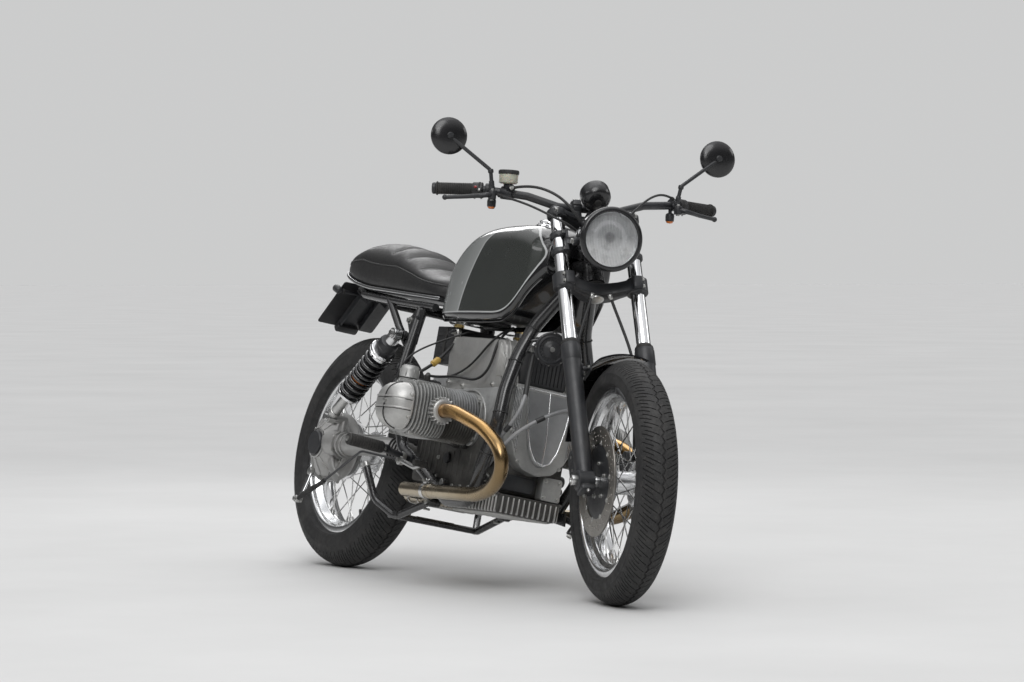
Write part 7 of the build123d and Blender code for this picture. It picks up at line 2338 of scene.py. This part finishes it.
def control_pieces():
    p = Piece("foot_controls_detail", "chassis", "steel")
    for side in (-1, 1):
        p.add(rod((560, side * 138.8, 311), (560, side * 236, 329), 9.0, 28, soft=1.5), M["satin"])
        p.add(rod((560, side * 139.0, 311), (560, side * 152, 313.4), 15.0, 32, soft=2), M["satin"])
        p.add(hexagon((560, side * 165, 316), (0, side, 0.18), 24, 12), M["zinc"])
        p.add(block((560, side * 230, 329), (26, 18, 22), (1, 0, 0), unit((0, side, 0.18)), 3), M["satin"])
        p.add(rod((546, side * 236, 329), (574, side * 236, 329), 4.5, 16, soft=0.8), M["zinc"])
        a, b = vec(560, side * 238, 330), vec(560, side * 350, 335)
        d = unit(b - a)
        # ribbed rubber of the footrest
        prof = [(0, 0), (0, 13), (2, 15.6)]
        for k in range(13):
            s = 6 + 7.6 * k
            prof += [(s, 16.9), (s + 4.6, 16.9), (s + 5.4, 14.9), (s + 7.0, 14.9)]
        prof += [(108, 16.6), (111.6, 15), (112, 12), (112, 0)]
        p.add(lathe(prof, a, d, 32), M["rubber"])
        p.add(lathe([(112, 0), (112, 7), (115.5, 7), (116, 6), (116, 0)], a, d, 24), M["zinc"])
        # lever
        p.add(tube([(560, side * 176, 306), (650, side * 178, 288), (745, side * 202, 296)], 7.0, 40, n=20), M["steel"] if side < 0 else M["satin"])
        p.add(rod((560, side * 168, 306), (560, side * 184, 306), 14.0, 32, soft=2), M["steel"])
        p.add(hexagon((560, side * 184, 306), (0, side, 0), 15, 5), M["zinc"])
        c, e = vec(745, side * 196, 296), vec(745, side * 238, 297)
        g = unit(e - c)
        prof = [(0, 0), (0, 7.5), (1.5, 8.6)]
        for k in range(6):
            prof += [(4 + 6 * k, 9.2), (7 + 6 * k, 9.2), (8 + 6 * k, 8.0), (9 + 6 * k, 8.0)]
        prof += [(41, 8.8), (42, 7.5), (42, 0)]
        p.add(lathe(prof, c, g, 24), M["rubber"])
    # brake rod to the drum's lever, black sleeve on its rear end
    path = route([(560, -180, 306), (430, -232, 316), (170, -202, 218), (30, -196, 166)], [40, 40], 5, 20)
    p.add(sweep(path, circle(3.4, 14)), M["satin"])
    p.add(sweep(path[int(len(path) * 0.72):], circle(6.6, 18)), M["rubber"])
    p.add(rod((30, -188, 166), (30, -204, 166), 10.0, 28, soft=1.5), M["steel"])
    p.add(hexagon((30, -204, 166), (0, -1, 0), 12, 5), M["zinc"])
    p.add(rod((30, -182, 166), (30, -194, 166), 9.0, 20, soft=1.0), M["steel"])
    p.add(sweep([vec(30, -190, 166), vec(26, -180, 190), vec(20, -168, 224), vec(16, -160, 252)], rounded(7, 17, 2.4, 3), ref=(0, 1, 0)), M["alloy"])
    p.add(rod((16, -152, 252), (16, -168, 252), 11, 28, soft=1.5), M["steel"])
    p.add(sweep(spline([vec(60, -198, 178), vec(90, -200, 190), vec(130, -201, 204)], 10), circle(7.4, 18)), M["rubber"])
    p.done("foot_controls", angle=38)

    p = Piece("horn_detail", "chassis", "black_plastic")
    a, b = vec(1040, -50, 650), vec(1062, -58, 648)
    d = unit(b - a)
    p.add(lathe([(-11, 0), (-11, 16), (-9, 19), (-5, 26), (0, 28), (1, 40), (3, 45.4), (8, 46), (12, 46), (14, 44.6), (15, 42), (13.4, 40), (15.4, 37), (15.4, 33), (13.2, 30.5),
                 (13.2, 24), (15.6, 21), (16.8, 16), (18.6, 10), (22.4, 7), (23.2, 0)], a, d, 64), M["satin"])
    p.add(lathe([(12.6, 41.4), (14.4, 43.6), (16.2, 42.6), (16.2, 40.2), (14.4, 39.4)], a, d, 64), M["plastic"])
    e1, e2 = basis(d)[1:3]
    for k in range(8):
        t = 2 * math.pi * k / 8
        e = e1 * math.cos(t) + e2 * math.sin(t)
        p.add(bolt(a + d * 13.6 + e * 43.0, d, 2.6, 2.0, washer=False), M["zinc"])
    for k in range(24):
        t = 2 * math.pi * k / 24
        e = e1 * math.cos(t) + e2 * math.sin(t)
        p.add(block(a + d * 13.6 + e * 27, (3.0, 2.0, 11), d, np.cross(e, d), 0.6), M["plastic"])
    p.add(hexagon(a + d * 22.6, d, 12, 5), M["zinc"])
    p.add(rod(a - d * 10, a - d * 2, 26, 48, soft=3), M["satin"])
    p.add(tube([(1034, -48, 668), (1018, -66, 674), (998, -92, 664)], 5.0, 12, n=18), M["frame"])
    p.add(bolt((1036, -48, 690), (1, 0, 0.2), 6, 6), M["zinc"])
    p.add(block((1033, -46, 678), (5, 20, 36), soft=1), M["frame"])
    p.done("horn", angle=38)


def drawn(point):
    """The drawing's place of a floor point of the parked machine, given from below the rear axle before centring."""
    lean = Matrix.Rotation(math.radians(-11.6663), 3, "X") @ Matrix.Rotation(math.radians(-0.12029), 3, "Y")
    q = Vector(point) - Vector((0, 0, RISE))
    return np.array(lean.inverted() @ q)


def stand_pieces():
    p = Piece("centre_stand_detail", "centre_stand", "frame_black")
    for side in (-1, 1):
        path = route([(672, side * 122, 205), (505, side * 131, 152), (440, side * 168, 190), (395, side * 194, 290)], [40, 50], 6, 20)
        p.add(sweep(path, circle(10.0, 24)), M["frame"])
        p.add(lathe([(111.9, 6.4), (111.9, 12.8), (113, 14), (130.6, 14), (131.8, 12.8), (131.8, 6.4)], (672, 0, 205), (0, side, 0), 36), M["frame"])
        # worn foot at the end of each leg, and the pad where the leg turns
        end = path[-1]
        d = unit(path[-1] - path[-3])
        p.add(lathe([(-14, 9.6), (-13, 11.4), (-1, 11.4), (0.6, 9.6), (0.6, 0)], end, d, 28), M["steel"])
        p.add(prism([(530, 154), (486, 146), (476, 152), (488, 166), (526, 168)], 3.0, 1.0, y0=(side * 139 - 3, side * 139 + 3)), M["frame"])
        p.add(rod((640, side * 122, 184), (640, side * 104, 184), 3.2, 14), M["zinc"])
    p.add(rod((507, -131, 155), (507, 131, 155), 9.0, 24), M["frame"])
    p.add(sweep([vec(499, -60 + 8 * k, 164.0) for k in range(16)], rounded(5, 3, 1, 2), ref=(1, 0, 0)), M["frame"])
    p.done("centre_stand", angle=38)

    p = Piece("side_stand_detail", "side_stand", "frame_black")
    pivot = vec(985, 150, 186)
    hinge = unit((-0.043603, 0.500992, 0.864353))
    foot = drawn((1018.0, 345.0, 0.0))
    heel = drawn((1018.0, 343.0, 16.0))
    up = unit(drawn((1018.0, 345.0, 10.0)) - foot)
    fore = unit(np.array((1.0, 0, 0)) - up * up[0])
    # tapered leg, eye, return spring and foot
    leg = [pivot + (heel - pivot) * k / 12 for k in range(13)]
    p.add(sweep(leg, circle(10.5, 28), scale=[1.0 - 0.10 * math.sin(math.pi * k / 12) for k in range(13)]), M["frame"])
    p.add(lathe([(-12.3, 6.4), (-12.3, 11.8), (-11, 13), (11, 13), (12.3, 11.8), (12.3, 6.4)], pivot, hinge, 36), M["frame"])
    w = np.cross(up, fore)
    ring = rounded(61, 43, 14, 6)
    p.add(skin([np.array([foot + fore * a * s + w * b * s + up * h for a, b in ring]) for h, s in ((0.2, 0.95), (1.6, 1.0), (6.4, 1.0), (8.0, 0.96))]), M["frame"])
    for k in range(5):
        p.add(block(foot + up * 8.2 + fore * (-22 + 11 * k), (3, 34, 2.2), fore, w, 0.7), M["frame"])
    p.add(tube([foot + up * 8 - w * 4, heel], 12.0, n=24), M["frame"])
    axis = unit(heel - pivot)
    side_way = unit(np.cross(axis, hinge))
    a, b = pivot + axis * 34 + side_way * 15, pivot + axis * 108 + side_way * 15
    coil = []
    f1, f2 = basis(axis)[1:3]
    for k in range(14 * 14 + 1):
        t = k / 14 * 2 * math.pi
        coil.append(a + (b - a) * k / (14 * 14) + (f1 * math.cos(t) + f2 * math.sin(t)) * 5.2)
    p.add(sweep(coil, circle(1.3, 7)), M["zinc"])
    p.add(rod(b, b - side_way * 8, 3.0, 14), M["zinc"])
    p.add(rod(a, a - side_way * 8, 3.0, 14), M["zinc"])
    p.add(rod(pivot + axis * 150, pivot + axis * 150 + side_way * 40, 5.5, 18, soft=2), M["frame"])
    p.done("side_stand", angle=38)


frame_pieces()
swing_pieces()
control_pieces()
stand_pieces()


# ------------------------------------------------------------------ triangle counts
print("triangles before modifiers", sum(TRIS.values()), sorted(TRIS.items(), key=lambda kv: -kv[1])[:6])
